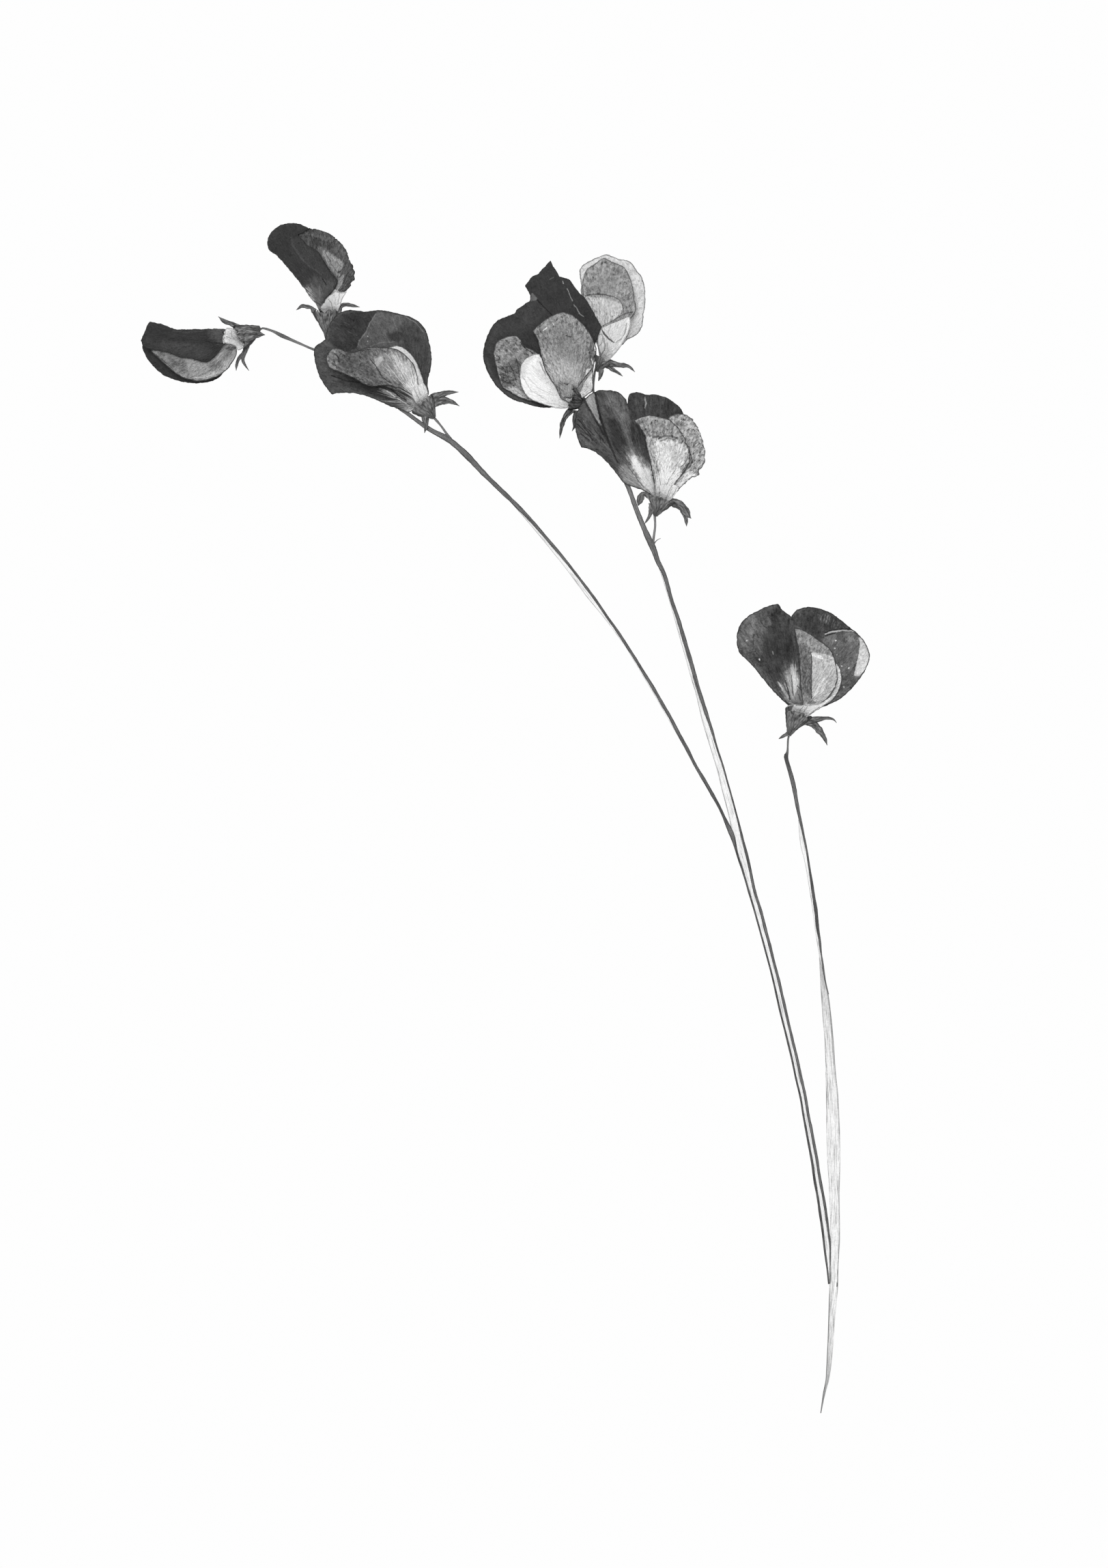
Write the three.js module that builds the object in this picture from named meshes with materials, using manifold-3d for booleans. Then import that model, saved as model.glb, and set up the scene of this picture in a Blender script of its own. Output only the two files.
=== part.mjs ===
// A pressed and dried spray of sweet pea, in millimetres: seven blooms on three thin stalks that are
// grown together at the bottom. It lies flat on its underside, with +Z up, +Y along the stalks towards
// the blooms, and the origin under the middle of its outline.
//
// Every petal is a thin sheet between two edges that run from its claw, at the calyx, to its tip. The
// petals of a bloom lie in layers: each layer follows the one beneath it, a small gap higher.
import * as THREE from "three";
import { mergeVertices } from "three/addons/utils/BufferGeometryUtils.js";
import Module from "manifold-3d";

const wasm = await Module();
wasm.setup();

// Driving sizes
const SHEET = 0.6; // thickness of a petal
const GAP = 0.4; // clear space between a petal and the next layer
const PITCH = SHEET + GAP;
const KEEL_CROWN = 0.5; // how far the keel's middle stands above a flat sheet
const RIB_HEIGHT = 0.95; // height of a stalk's rib
const WEB_HEIGHT = 0.55; // height of the thin web between two ribs
const TOOTH_HEIGHT = 0.7; // thickness of a calyx tooth
const STANDARD_ROWS = 13;
const WING_ROWS = 9;
const STANDARD_COLUMNS = 4; // in each half
const WING_COLUMNS = 2;

const DARK_PETAL = { color: 0x4a4a4a, roughness: 0.75, metalness: 0 };
const GREY_PETAL = { color: 0x8f8f8f, roughness: 0.75, metalness: 0 };
const PALE_PETAL = { color: 0xd6d6d6, roughness: 0.7, metalness: 0 };
const GREEN_PART = { color: 0x5e5e5e, roughness: 0.8, metalness: 0 };

// Small sums on points
const mix = (a, b, t) => a.map((value, k) => value + (b[k] - value) * t);
const distance = (a, b) => Math.hypot(...a.map((value, k) => value - b[k]));
const clamp = (value) => Math.min(1, Math.max(0, value));

// A smooth line through hand-picked points, cut into equal steps. A point written twice is a corner,
// and the line always has a step on it.
function divide(points, steps) {
  const spans = [[points[0]]];
  for (const point of points.slice(1)) {
    const span = spans.at(-1);
    if (distance(point, span.at(-1)) < 1e-6) spans.push([point]);
    else span.push(point);
  }
  const curves = spans.map((span) => new THREE.CatmullRomCurve3(
    span.map(([x, y]) => new THREE.Vector3(x, y, 0)), false, "catmullrom", 0.5));
  const lengths = curves.map((curve) => curve.getLength());
  const total = lengths.reduce((sum, length) => sum + length, 0);
  const line = [points[0]];
  let done = 0;
  let used = 0;
  curves.forEach((curve, k) => {
    done += lengths[k];
    const last = k === curves.length - 1;
    const until = last ? steps : Math.max(used + 1, Math.min(steps - curves.length + k + 1,
      Math.round((steps * done) / total)));
    const count = until - used;
    for (let i = 1; i <= count; i++) {
      const at = curve.getPointAt(i / count);
      line.push([at.x, at.y]);
    }
    used = until;
  });
  return line;
}

// How high the ground under a bloom is at a place: smooth swells where it lies over a stalk or over
// its neighbour. A swell runs along a line, is level to one distance from it and gone at another.
function swell(x, y, { from, to = from, level, reach, height }) {
  const along = [to[0] - from[0], to[1] - from[1]];
  const square = along[0] ** 2 + along[1] ** 2;
  const t = square ? clamp(((x - from[0]) * along[0] + (y - from[1]) * along[1]) / square) : 0;
  const away = distance([x, y], mix(from, to, t));
  const fall = clamp((reach - away) / (reach - level));
  return height * fall * fall * (3 - 2 * fall);
}

function groundHeight(bloom, x, y) {
  const cubes = bloom.swells.map((item) => swell(x, y, item) ** 3);
  const lifted = Math.cbrt(cubes.reduce((sum, value) => sum + value, 0));
  const { height, count, phase, span } = bloom.ripple;
  const out = clamp(Math.hypot(x, y) / span);
  const wave = 0.5 + 0.5 * Math.sin(count * Math.atan2(y, x) + phase);
  return lifted + height * out * out * out * wave;
}

// The keel's crown, an oval swelling that the petals above it follow.
function crownHeight(bloom, x, y) {
  const { at, radii, turn } = bloom.crown;
  const dx = x - at[0];
  const dy = y - at[1];
  const c = Math.cos(THREE.MathUtils.degToRad(turn));
  const s = Math.sin(THREE.MathUtils.degToRad(turn));
  const square = ((dx * c + dy * s) / radii[0]) ** 2 + ((dy * c - dx * s) / radii[1]) ** 2;
  return KEEL_CROWN * clamp(1 - square) ** 2;
}

// The lower face of each layer: 0 standard, 1 back wing, 2 keel, 3 front wing, 4 a folded-over half.
function layerHeight(bloom, layer, x, y) {
  return groundHeight(bloom, x, y) + layer * PITCH + (layer > 2 ? crownHeight(bloom, x, y) : 0);
}

// A closed body between two nets of points that match row by row and column by column. Both faces are
// split into triangles alike.
function body(under, over) {
  const rows = under.length;
  const columns = under[0].length;
  const position = [];
  for (const net of [under, over]) for (const row of net) for (const point of row) position.push(...point);
  const low = (i, j) => i * columns + j;
  const high = (i, j) => rows * columns + low(i, j);
  const index = [];
  const quad = (a, b, c, d) => index.push(a, b, c, a, c, d);
  for (let i = 0; i < rows - 1; i++) {
    for (let j = 0; j < columns - 1; j++) {
      index.push(high(i, j), high(i, j + 1), high(i + 1, j + 1), high(i, j), high(i + 1, j + 1), high(i + 1, j));
      index.push(low(i, j), low(i + 1, j + 1), low(i, j + 1), low(i, j), low(i + 1, j), low(i + 1, j + 1));
    }
    quad(low(i, 0), high(i, 0), high(i + 1, 0), low(i + 1, 0));
    quad(low(i, columns - 1), low(i + 1, columns - 1), high(i + 1, columns - 1), high(i, columns - 1));
  }
  for (let j = 0; j < columns - 1; j++) {
    quad(low(0, j), low(0, j + 1), high(0, j + 1), high(0, j));
    quad(low(rows - 1, j), high(rows - 1, j), high(rows - 1, j + 1), low(rows - 1, j + 1));
  }
  const geometry = new THREE.BufferGeometry();
  geometry.setAttribute("position", new THREE.Float32BufferAttribute(position, 3));
  geometry.setIndex(index);
  return tidy(geometry);
}

// Shared points merged, triangles with no area dropped, and the faces turned outwards.
function tidy(geometry) {
  const merged = mergeVertices(geometry, 1e-4);
  const at = merged.getAttribute("position");
  const old = merged.index.array;
  const kept = [];
  let volume = 0;
  const [a, b, c] = [new THREE.Vector3(), new THREE.Vector3(), new THREE.Vector3()];
  for (let i = 0; i < old.length; i += 3) {
    const [p, q, r] = [old[i], old[i + 1], old[i + 2]];
    if (p === q || q === r || r === p) continue;
    kept.push(p, q, r);
    a.fromBufferAttribute(at, p);
    b.fromBufferAttribute(at, q);
    c.fromBufferAttribute(at, r);
    volume += a.dot(b.cross(c));
  }
  if (volume < 0) {
    for (let i = 0; i < kept.length; i += 3) [kept[i], kept[i + 1]] = [kept[i + 1], kept[i]];
  }
  merged.setIndex(kept);
  return merged;
}

// Joining bodies
function solid(geometry) {
  return new wasm.Manifold(new wasm.Mesh({
    numProp: 3,
    vertProperties: new Float32Array(geometry.getAttribute("position").array),
    triVerts: new Uint32Array(geometry.index.array),
  }));
}

function joined(geometries) {
  const whole = geometries.map(solid).reduce((sum, item) => sum.add(item));
  const mesh = whole.getMesh();
  const geometry = new THREE.BufferGeometry();
  geometry.setAttribute("position", new THREE.Float32BufferAttribute(mesh.vertProperties, 3));
  geometry.setIndex(Array.from(mesh.triVerts));
  return geometry;
}

// The net of places of an open petal: rungs across it from its left edge over its middle line to its
// right edge.
function rungs({ left, middle, right }, rows, columns) {
  const edges = [divide(left, rows), divide(right, rows)];
  const centre = middle ? divide(middle, rows) : edges[0].map((point, i) => mix(point, edges[1][i], 0.5));
  return centre.map((mid, i) => {
    const row = [];
    for (let j = 0; j < columns; j++) row.push(mix(edges[0][i], mid, j / columns));
    for (let j = 0; j <= columns; j++) row.push(mix(mid, edges[1][i], j / columns));
    return row;
  });
}

function openPetal(bloom, layer, outline, rows, columns) {
  const net = rungs(outline, rows, columns);
  const face = (top) => net.map((row) => row.map(([x, y]) => {
    const thick = SHEET + (layer === 2 ? crownHeight(bloom, x, y) : 0);
    return [x, y, layerHeight(bloom, layer, x, y) + (top ? thick : 0)];
  }));
  return body(face(false), face(true));
}

// A standard that is folded lengthwise round the petals inside it: its far half lies under them and
// its near half over them. The bend is a half circle in section.
function foldedPetal(bloom, { far, fold, near }) {
  const rows = STANDARD_ROWS;
  const line = divide(fold, rows);
  const halves = [divide(far, rows), divide(near, rows)];
  const bend = [90, 50, 15, -15, -50, -90].map(THREE.MathUtils.degToRad);
  const flats = [1, 0.66, 0.33];
  const middle = line.map((crest, i) => {
    const reach = Math.min(distance(crest, halves[0][i]), distance(crest, halves[1][i]));
    const heightAt = (half, [x, y]) => layerHeight(bloom, half ? 4 : 0, x, y) + SHEET / 2;
    const open = heightAt(1, crest) - heightAt(0, crest);
    const apart = Math.min(open, 1.7 * reach);
    const radius = apart / 2;
    const bendEnd = radius + SHEET / 2;
    const full = [0, 1].map((half) => distance(crest, halves[half][i]));
    const out = (half, away) => mix(crest, halves[half][i], away / full[half]);
    const flat = (half, share) => {
      const place = out(half, bendEnd + (full[half] - bendEnd) * share);
      return [...place, heightAt(half, place) - (half ? open - apart : 0)];
    };
    const round = (angle) => {
      const place = out(angle > 0 ? 0 : 1, bendEnd - radius * Math.cos(angle));
      return [...place, heightAt(0, place) + radius * (1 - Math.sin(angle))];
    };
    return [
      ...flats.map((share) => flat(0, share)),
      ...bend.map(round),
      ...flats.toReversed().map((share) => flat(1, share)),
    ];
  });
  return thickened(middle, SHEET);
}

// A sheet of even thickness round a net of points.
function thickened(net, thickness) {
  const point = (i, j) => new THREE.Vector3(...net[i][j]);
  const last = [net.length - 1, net[0].length - 1];
  const side = (sign) => net.map((row, i) => row.map((_, j) => {
    const along = point(Math.min(i + 1, last[0]), j).sub(point(Math.max(i - 1, 0), j));
    const across = point(i, Math.min(j + 1, last[1])).sub(point(i, Math.max(j - 1, 0)));
    const normal = along.cross(across).normalize();
    return point(i, j).addScaledVector(normal, (sign * thickness) / 2).toArray();
  }));
  return body(side(-1), side(1));
}

// A strip that lies along a line of [x, y, width, height, base] points: level underneath, with
// sloping sides and a narrower top.
const STRIP_SECTION = [[-0.36, 0], [0.36, 0], [0.5, 0.45], [0.26, 1], [-0.26, 1], [-0.5, 0.45]];

function strip(points) {
  const place = points.map(([x, y]) => [x, y]);
  const loops = points.map(([x, y, width, height, base], i) => {
    const before = place[Math.max(i - 1, 0)];
    const after = place[Math.min(i + 1, place.length - 1)];
    const length = distance(before, after);
    const across = [(after[1] - before[1]) / length, (before[0] - after[0]) / length];
    return STRIP_SECTION.map(([u, v]) => [x + across[0] * u * width, y + across[1] * u * width, base + v * height]);
  });
  return closedTube(loops);
}

// A body from loops of points in a row, with flat ends.
function closedTube(loops) {
  const sides = loops[0].length;
  const position = loops.flat(2);
  const index = [];
  for (let i = 0; i < loops.length - 1; i++) {
    for (let j = 0; j < sides; j++) {
      const [a, b] = [i * sides + j, i * sides + ((j + 1) % sides)];
      index.push(a, b, b + sides, a, b + sides, a + sides);
    }
  }
  const end = (loops.length - 1) * sides;
  for (let j = 1; j < sides - 1; j++) {
    index.push(0, j + 1, j);
    index.push(end, end + j, end + j + 1);
  }
  const geometry = new THREE.BufferGeometry();
  geometry.setAttribute("position", new THREE.Float32BufferAttribute(position, 3));
  geometry.setIndex(index);
  return tidy(geometry);
}

// The calyx: a flattened cup from its foot to its rim, with tapering teeth grown out of it.
const CUP_SIDES = 10;

function calyx({ foot, rim, width, depth, teeth }) {
  const stations = [[0, 1.0, 0.9], [0.3, 0.34 * width, 0.5 * depth], [0.65, 0.68 * width, 0.82 * depth],
    [1, width, depth]];
  const axis = new THREE.Vector3(...rim).sub(new THREE.Vector3(...foot));
  const across = new THREE.Vector3(axis.y, -axis.x, 0).normalize();
  const loops = stations.map(([share, wide, deep]) => {
    const centre = new THREE.Vector3(...foot).addScaledVector(axis, share);
    return Array.from({ length: CUP_SIDES }, (_, k) => {
      const angle = ((k + 0.5) / CUP_SIDES) * 2 * Math.PI;
      return centre.clone().addScaledVector(across, (wide / 2) * Math.cos(angle))
        .add(new THREE.Vector3(0, 0, (deep / 2) * Math.sin(angle))).toArray();
    });
  });
  return joined([closedTube(loops), ...teeth.map((tooth) => strip(tooth.map(
    ([x, y, wide, base]) => [x, y, wide, TOOTH_HEIGHT, base])))]);
}

// The blooms. Points are measured from each bloom's claws, where its petals meet the calyx. An edge
// runs from the claw to the petal's tip. A tooth's points are x, y, width and the height of its
// underside.
const blooms = {
  // The tip of the left stalk: points left, with its standard folded over along the upper side.
  a: {
    at: [-62.6, 112.4],
    swells: [],
    ripple: { height: 0.9, count: 3, phase: 0.6, span: 24 },
    crown: { at: [-8.6, -4.2], radii: [6, 3], turn: 10 },
    standard: {
      far: [[-1.0, 0.2], [-2.2, -3.7], [-3.5, -7.2], [-5.1, -9.0], [-7.2, -9.8], [-10.4, -10.1], [-14.1, -9.6],
        [-17.6, -8.3], [-20.5, -5.8], [-22.4, -2.9], [-22.9, -0.5]],
      fold: [[-1.6, 2.4], [-4.8, 2.7], [-9.6, 2.6], [-14.7, 2.6], [-17.9, 3.7], [-20.6, 4.3]],
      near: [[-1.1, 0.3], [-3.2, -1.3], [-4.8, -3.5], [-6.1, -4.8], [-7.5, -5.6], [-9.6, -5.1], [-12.0, -4.6],
        [-14.1, -4.3], [-16.0, -3.4], [-18.4, -2.9], [-20.5, -2.6], [-21.9, -1.9], [-22.7, -0.5]],
    },
    wingBack: {
      left: [[-0.4, -1.0], [-0.9, -3.6], [-2.9, -6.7], [-6.2, -8.6], [-10.4, -8.9], [-14.2, -7.5], [-17.4, -4.6]],
      right: [[-0.7, 0.0], [-4.4, 0.8], [-9.0, 0.8], [-13.4, 0.4], [-16.2, -1.4], [-17.4, -4.6]],
    },
    keel: {
      left: [[-0.4, -1.0], [-1.1, -3.5], [-3.2, -6.1], [-6.1, -7.7], [-9.6, -8.0], [-12.8, -7.0], [-15.0, -5.0]],
      right: [[-0.6, 0.0], [-4.0, -0.5], [-8.0, -1.0], [-12.0, -2.2], [-15.0, -5.0]],
    },
    wingFront: {
      left: [[-0.4, -1.3], [-0.3, -3.2], [-1.1, -5.1], [-2.4, -6.9], [-4.0, -8.3], [-5.6, -9.1], [-8.0, -9.8],
        [-10.7, -9.8], [-14.1, -8.5], [-17.6, -5.6], [-20.5, -2.8]],
      right: [[-0.8, -0.2], [-4.0, 0.6], [-8.8, 0.8], [-14.1, 0.5], [-17.9, -0.6], [-20.5, -2.8]],
    },
    calyx: {
      foot: [5.2, 2.5, 0.9],
      rim: [0.9, 0.8, 2.4],
      width: 6,
      depth: 4.4,
      teeth: [
        [[0.8, 2.2, 1.6, 1.6], [-1.6, 3.8, 1.3, 1.2], [-3.4, 4.4, 1.1, 0.8], [-4.9, 5.6, 0.3, 0.6]],
        [[2.2, 0.6, 1.6, 1.2], [4.8, 1.0, 0.9, 0.8], [6.1, 1.2, 0.3, 0.5]],
        [[1.8, -0.6, 1.6, 1.2], [1.4, -3.0, 1.0, 0.8], [0.5, -4.8, 0.8, 0.6], [-0.2, -7.2, 0.3, 0.5]],
        [[2.2, -0.4, 1.6, 1.2], [2.6, -3.4, 0.9, 0.9], [1.9, -5.3, 0.7, 0.7], [2.8, -7.2, 0.3, 0.5]],
      ],
    },
  },
  // Above the left stalk: stands up the page, with its standard folded over along the left side.
  b: {
    at: [-41.6, 119.6],
    swells: [],
    ripple: { height: 0.9, count: 3, phase: 1.6, span: 20 },
    crown: { at: [1.2, 7.4], radii: [5, 2.4], turn: 90 },
    standard: {
      far: [[-0.6, 1.2], [0.9, 2.6], [2.1, 4.5], [3.0, 7.0], [2.7, 9.6], [1.4, 12.3], [-0.5, 15.0], [-3.0, 17.1],
        [-5.3, 18.2], [-7.7, 18.9], [-10.2, 18.8]],
      fold: [[-3.0, 0.8], [-4.2, 2.2], [-6.4, 5.3], [-9.6, 9.3], [-12.3, 12.3], [-13.9, 13.4], [-14.4, 15.0],
        [-14.1, 16.6], [-13.1, 17.8]],
      near: [[-0.8, 1.4], [-0.2, 2.4], [1.1, 3.8], [2.1, 5.4], [2.4, 6.6], [1.4, 7.4], [0.3, 8.6], [-1.0, 10.7],
        [-2.1, 12.8], [-3.4, 13.9], [-5.0, 14.7], [-6.1, 16.0], [-6.9, 17.6], [-6.9, 17.6], [-7.7, 19.4],
        [-9.0, 19.5], [-11.0, 19.0]],
    },
    wingBack: {
      left: [[-0.3, 0.6], [-0.9, 4.0], [-2.4, 8.0], [-4.0, 11.5], [-4.6, 14.6], [-3.6, 16.4]],
      right: [[0.8, 0.6], [2.4, 2.8], [4.2, 5.2], [4.8, 8.4], [4.0, 11.4], [2.4, 14.2], [-0.2, 16.2], [-3.6, 16.4]],
    },
    keel: {
      left: [[0.0, 0.5], [-0.2, 3.5], [-0.8, 7.5], [-1.8, 10.7], [-1.8, 13.0]],
      right: [[1.0, 0.6], [2.6, 2.7], [3.8, 5.1], [3.8, 8.0], [2.7, 10.6], [0.8, 12.5], [-1.8, 13.0]],
    },
    wingFront: {
      left: [[-0.2, 0.4], [-0.5, 4.3], [-2.1, 8.3], [-4.6, 12.3], [-6.4, 15.5], [-6.3, 17.2], [-5.4, 18.1]],
      right: [[1.0, 0.4], [2.1, 1.8], [3.0, 3.2], [4.3, 4.2], [5.4, 5.6], [6.1, 7.0], [6.1, 8.6], [5.4, 10.4],
        [4.2, 13.4], [3.2, 14.9], [1.0, 17.0], [-1.8, 18.2], [-4.2, 18.4], [-5.4, 18.1]],
    },
    calyx: {
      foot: [-0.3, -7.0, 0.9],
      rim: [-0.3, -0.3, 2.4],
      width: 6,
      depth: 4.4,
      teeth: [
        [[-1.8, -0.9, 1.8, 1.6], [-5.1, 0.1, 0.9, 1.0], [-6.6, 0.4, 0.6, 0.8], [-7.7, -0.2, 0.3, 0.6]],
        [[1.4, -0.9, 1.8, 1.6], [3.8, 0.5, 1.0, 1.0], [5.4, 0.9, 0.7, 0.8], [7.4, 0.5, 0.3, 0.6]],
      ],
    },
  },
  // On the left stalk's bend: lies open over the stalk, pointing left.
  c: {
    at: [-20.2, 97.2],
    swells: [
      { from: [-24.6, 13.6], to: [-3.0, -2.2], level: 1.4, reach: 9, height: 1.4 },
      { from: [-21.4, 19.6], to: [-21.4, 16.0], level: 2.2, reach: 9, height: 3.3 },
    ],
    ripple: { height: 0.8, count: 4, phase: 2.2, span: 24 },
    crown: { at: [-5.6, 8.2], radii: [5.5, 3], turn: -50 },
    standard: {
      left: [[-0.9, -1.1], [-2.4, -1.8], [-4.3, -1.3], [-7.2, -0.3], [-10.7, 1.3], [-15.2, 2.6], [-19.2, 2.7],
        [-20.5, 2.4], [-20.5, 2.4], [-21.1, 2.9], [-22.9, 5.4], [-24.0, 8.0], [-24.6, 10.7], [-24.6, 13.0],
        [-23.2, 14.1], [-22.1, 14.9]],
      middle: [[0.3, 0.8], [-4.0, 3.8], [-8.8, 7.0], [-13.6, 10.2], [-17.9, 13.0], [-22.1, 14.9]],
      right: [[1.3, 1.4], [2.1, 2.6], [1.8, 5.1], [2.6, 9.1], [2.7, 11.8], [2.1, 15.0], [1.0, 18.1], [-1.3, 20.2],
        [-4.8, 21.3], [-9.1, 22.2], [-12.8, 21.9], [-16.0, 22.1], [-18.4, 21.4], [-20.3, 19.7], [-21.4, 17.6],
        [-22.1, 14.9]],
    },
    wingBack: {
      left: [[-0.4, 0.2], [-3.4, 2.2], [-7.4, 3.8], [-11.0, 4.8], [-14.0, 6.6], [-16.6, 8.6], [-17.8, 10.6]],
      right: [[0.6, 0.9], [0.3, 5.0], [-0.4, 8.2], [-2.2, 10.8], [-5.4, 12.4], [-9.6, 12.6], [-13.6, 12.0],
        [-17.8, 10.6]],
    },
    keel: {
      left: [[-0.2, 0.4], [-3.2, 2.4], [-6.4, 4.2], [-8.8, 5.8], [-10.7, 8.3], [-11.4, 10.2], [-10.1, 11.8],
        [-7.2, 13.3], [-5.3, 13.8]],
      right: [[1.1, 1.2], [1.1, 4.8], [0.3, 7.5], [-0.8, 10.2], [-2.4, 12.2], [-4.0, 13.3], [-5.3, 13.8]],
    },
    wingFront: {
      left: [[-0.5, 0.1], [-1.8, 1.9], [-4.8, 3.5], [-7.8, 4.2], [-11.8, 4.0], [-15.2, 5.8], [-19.2, 7.5],
        [-21.0, 8.2], [-21.6, 9.4], [-21.9, 10.7]],
      right: [[0.5, 0.8], [-0.2, 4.3], [-0.8, 7.5], [-1.8, 9.9], [-4.8, 12.5], [-7.2, 13.1], [-10.4, 13.3],
        [-12.8, 13.0], [-15.2, 12.0], [-16.8, 12.0], [-18.9, 12.8], [-20.5, 12.5], [-21.9, 10.7]],
    },
    calyx: {
      foot: [3.4, -3.1, 0.9],
      rim: [0.8, 0.0, 2.4],
      width: 5.4,
      depth: 4.2,
      teeth: [
        [[1.9, 0.4, 2.0, 1.6], [4.8, 2.0, 1.4, 1.2], [7.2, 2.6, 0.8, 0.8], [9.1, 2.7, 0.3, 0.5]],
        [[2.0, -0.8, 2.0, 1.5], [5.6, 0.4, 1.3, 1.1], [7.5, 0.4, 0.8, 0.8], [9.1, -0.2, 0.3, 0.5]],
        [[1.3, -1.2, 1.8, 1.6], [1.3, -3.7, 1.4, 1.4], [1.3, -5.4, 0.8, 1.35], [1.0, -6.7, 0.3, 1.3]],
      ],
    },
  },
  // The middle stalk's left bloom: lies open and half over its neighbour's edge.
  d: {
    at: [15.5, 97.2],
    swells: [{ from: [6.0, 20.0], level: 5, reach: 19, height: 4.2 }],
    ripple: { height: 0.6, count: 4, phase: 0.4, span: 26 },
    crown: { at: [-7.4, 5.4], radii: [5.5, 2.6], turn: -60 },
    standard: {
      left: [[-1.0, -0.3], [-4.2, -0.6], [-7.4, -0.6], [-10.9, 0.3], [-14.1, 1.4], [-17.1, 3.7], [-19.4, 6.9],
        [-20.6, 9.9], [-20.8, 12.8], [-19.5, 17.0], [-17.8, 19.5], [-15.7, 20.6], [-13.6, 21.4], [-12.8, 22.4],
        [-11.2, 23.5], [-9.8, 24.4]],
      middle: [[-0.3, 0.6], [-2.6, 6.0], [-4.6, 11.5], [-6.0, 17.0], [-7.2, 21.5], [-9.8, 24.4]],
      right: [[0.6, 0.9], [2.9, 5.1], [4.8, 9.9], [5.6, 14.4], [6.9, 17.9], [6.9, 17.9], [6.2, 19.2], [5.1, 21.1],
        [3.0, 24.6], [1.6, 25.9], [-0.6, 29.1], [-0.6, 29.1], [-2.9, 29.9], [-2.9, 29.9], [-4.3, 32.3],
        [-5.1, 33.8], [-5.1, 33.8], [-6.9, 31.8], [-8.0, 30.6], [-9.3, 30.1], [-11.0, 28.0], [-11.0, 28.0],
        [-9.9, 26.6], [-9.8, 24.4]],
    },
    wingBack: {
      left: [[-1.1, -0.4], [-6.1, 0.2], [-11.7, 1.4], [-14.9, 3.2], [-16.5, 4.2], [-17.4, 7.0], [-18.1, 9.9],
        [-18.4, 12.3], [-17.8, 14.4], [-16.0, 15.7], [-14.1, 16.2], [-12.8, 16.0], [-12.0, 15.2]],
      right: [[-0.6, 0.2], [-3.7, 4.3], [-6.4, 9.1], [-7.7, 11.7], [-9.6, 13.0], [-11.2, 13.8], [-12.0, 15.2]],
    },
    keel: {
      left: [[-1.1, -0.9], [-3.2, -1.0], [-6.9, 0.0], [-10.1, 1.4], [-11.8, 3.8], [-12.3, 7.0], [-11.7, 9.8],
        [-9.6, 11.4], [-7.7, 11.7]],
      right: [[-0.4, 0.0], [-1.6, 1.3], [-3.5, 4.2], [-5.1, 7.0], [-6.1, 9.6], [-7.7, 11.7]],
    },
    wingFront: {
      left: [[-0.8, 0.4], [-2.6, 1.3], [-3.8, 3.8], [-6.1, 7.5], [-7.2, 11.0], [-8.0, 14.7], [-9.3, 17.0]],
      right: [[0.4, 0.9], [1.6, 2.7], [3.2, 5.1], [4.5, 7.0], [5.4, 9.9], [5.6, 12.8], [4.8, 14.9], [3.7, 16.8],
        [2.4, 18.4], [0.8, 19.8], [-1.0, 20.8], [-2.9, 21.0], [-5.9, 19.7], [-9.3, 17.0]],
    },
    calyx: {
      foot: [3.9, -1.9, 0.9],
      rim: [0.4, -0.2, 2.4],
      width: 4.8,
      depth: 4.2,
      teeth: [
        [[0.7, -1.2, 1.6, 1.4], [-1.7, -3.7, 1.3, 0.9], [-2.6, -5.3, 1.0, 0.6], [-2.9, -7.9, 0.3, 0.5]],
        [[1.2, -1.2, 1.4, 0.9], [0.6, -3.6, 0.8, 0.6], [0.7, -4.8, 0.6, 0.4], [0.0, -6.2, 0.3, 0.4]],
      ],
    },
  },
  // The tip of the middle stalk: pale, lies flat with its left edge under its neighbour.
  e: {
    at: [22.9, 108.1],
    swells: [],
    ripple: { height: 0.5, count: 3, phase: 0.2, span: 24 },
    crown: { at: [1.6, 8.6], radii: [4.6, 3.2], turn: 90 },
    standard: {
      left: [[-1.0, 0.5], [-1.6, 3.8], [-2.9, 7.8], [-4.5, 11.8], [-5.3, 15.0], [-5.3, 17.4], [-5.6, 20.2],
        [-5.3, 21.4], [-4.5, 22.2], [-3.0, 23.0], [-1.4, 23.7], [0.2, 24.3], [1.1, 24.3]],
      right: [[1.2, 0.4], [2.1, 1.6], [4.5, 3.2], [5.8, 4.5], [7.4, 5.3], [8.5, 6.4], [9.1, 7.8], [9.4, 10.2],
        [9.8, 12.6], [9.8, 15.0], [9.6, 17.0], [9.0, 19.0], [7.8, 20.6], [7.0, 21.9], [5.8, 22.9], [4.2, 23.2],
        [2.6, 23.7], [1.1, 24.3]],
    },
    wingBack: {
      left: [[-0.5, 0.6], [-1.6, 4.6], [-3.4, 9.4], [-4.2, 14.0], [-3.6, 18.0], [-1.4, 20.6], [0.6, 21.2]],
      right: [[0.6, 0.6], [2.0, 4.4], [4.6, 8.6], [6.0, 12.4], [5.6, 16.6], [3.8, 19.8], [0.6, 21.2]],
    },
    keel: {
      left: [[-0.5, 0.6], [-1.9, 3.8], [-3.3, 8.6], [-3.9, 12.2], [-3.0, 14.1], [-0.6, 14.6]],
      right: [[0.9, 0.4], [2.2, 1.3], [4.2, 3.4], [5.8, 5.4], [6.1, 7.4], [5.3, 10.2], [4.5, 12.3], [3.0, 13.9],
        [1.4, 14.4], [-0.6, 14.6]],
    },
    wingFront: {
      left: [[-0.5, 0.6], [-1.3, 3.0], [-1.9, 5.4], [-3.2, 8.3], [-4.4, 11.8], [-5.0, 15.8], [-4.7, 18.6],
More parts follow.
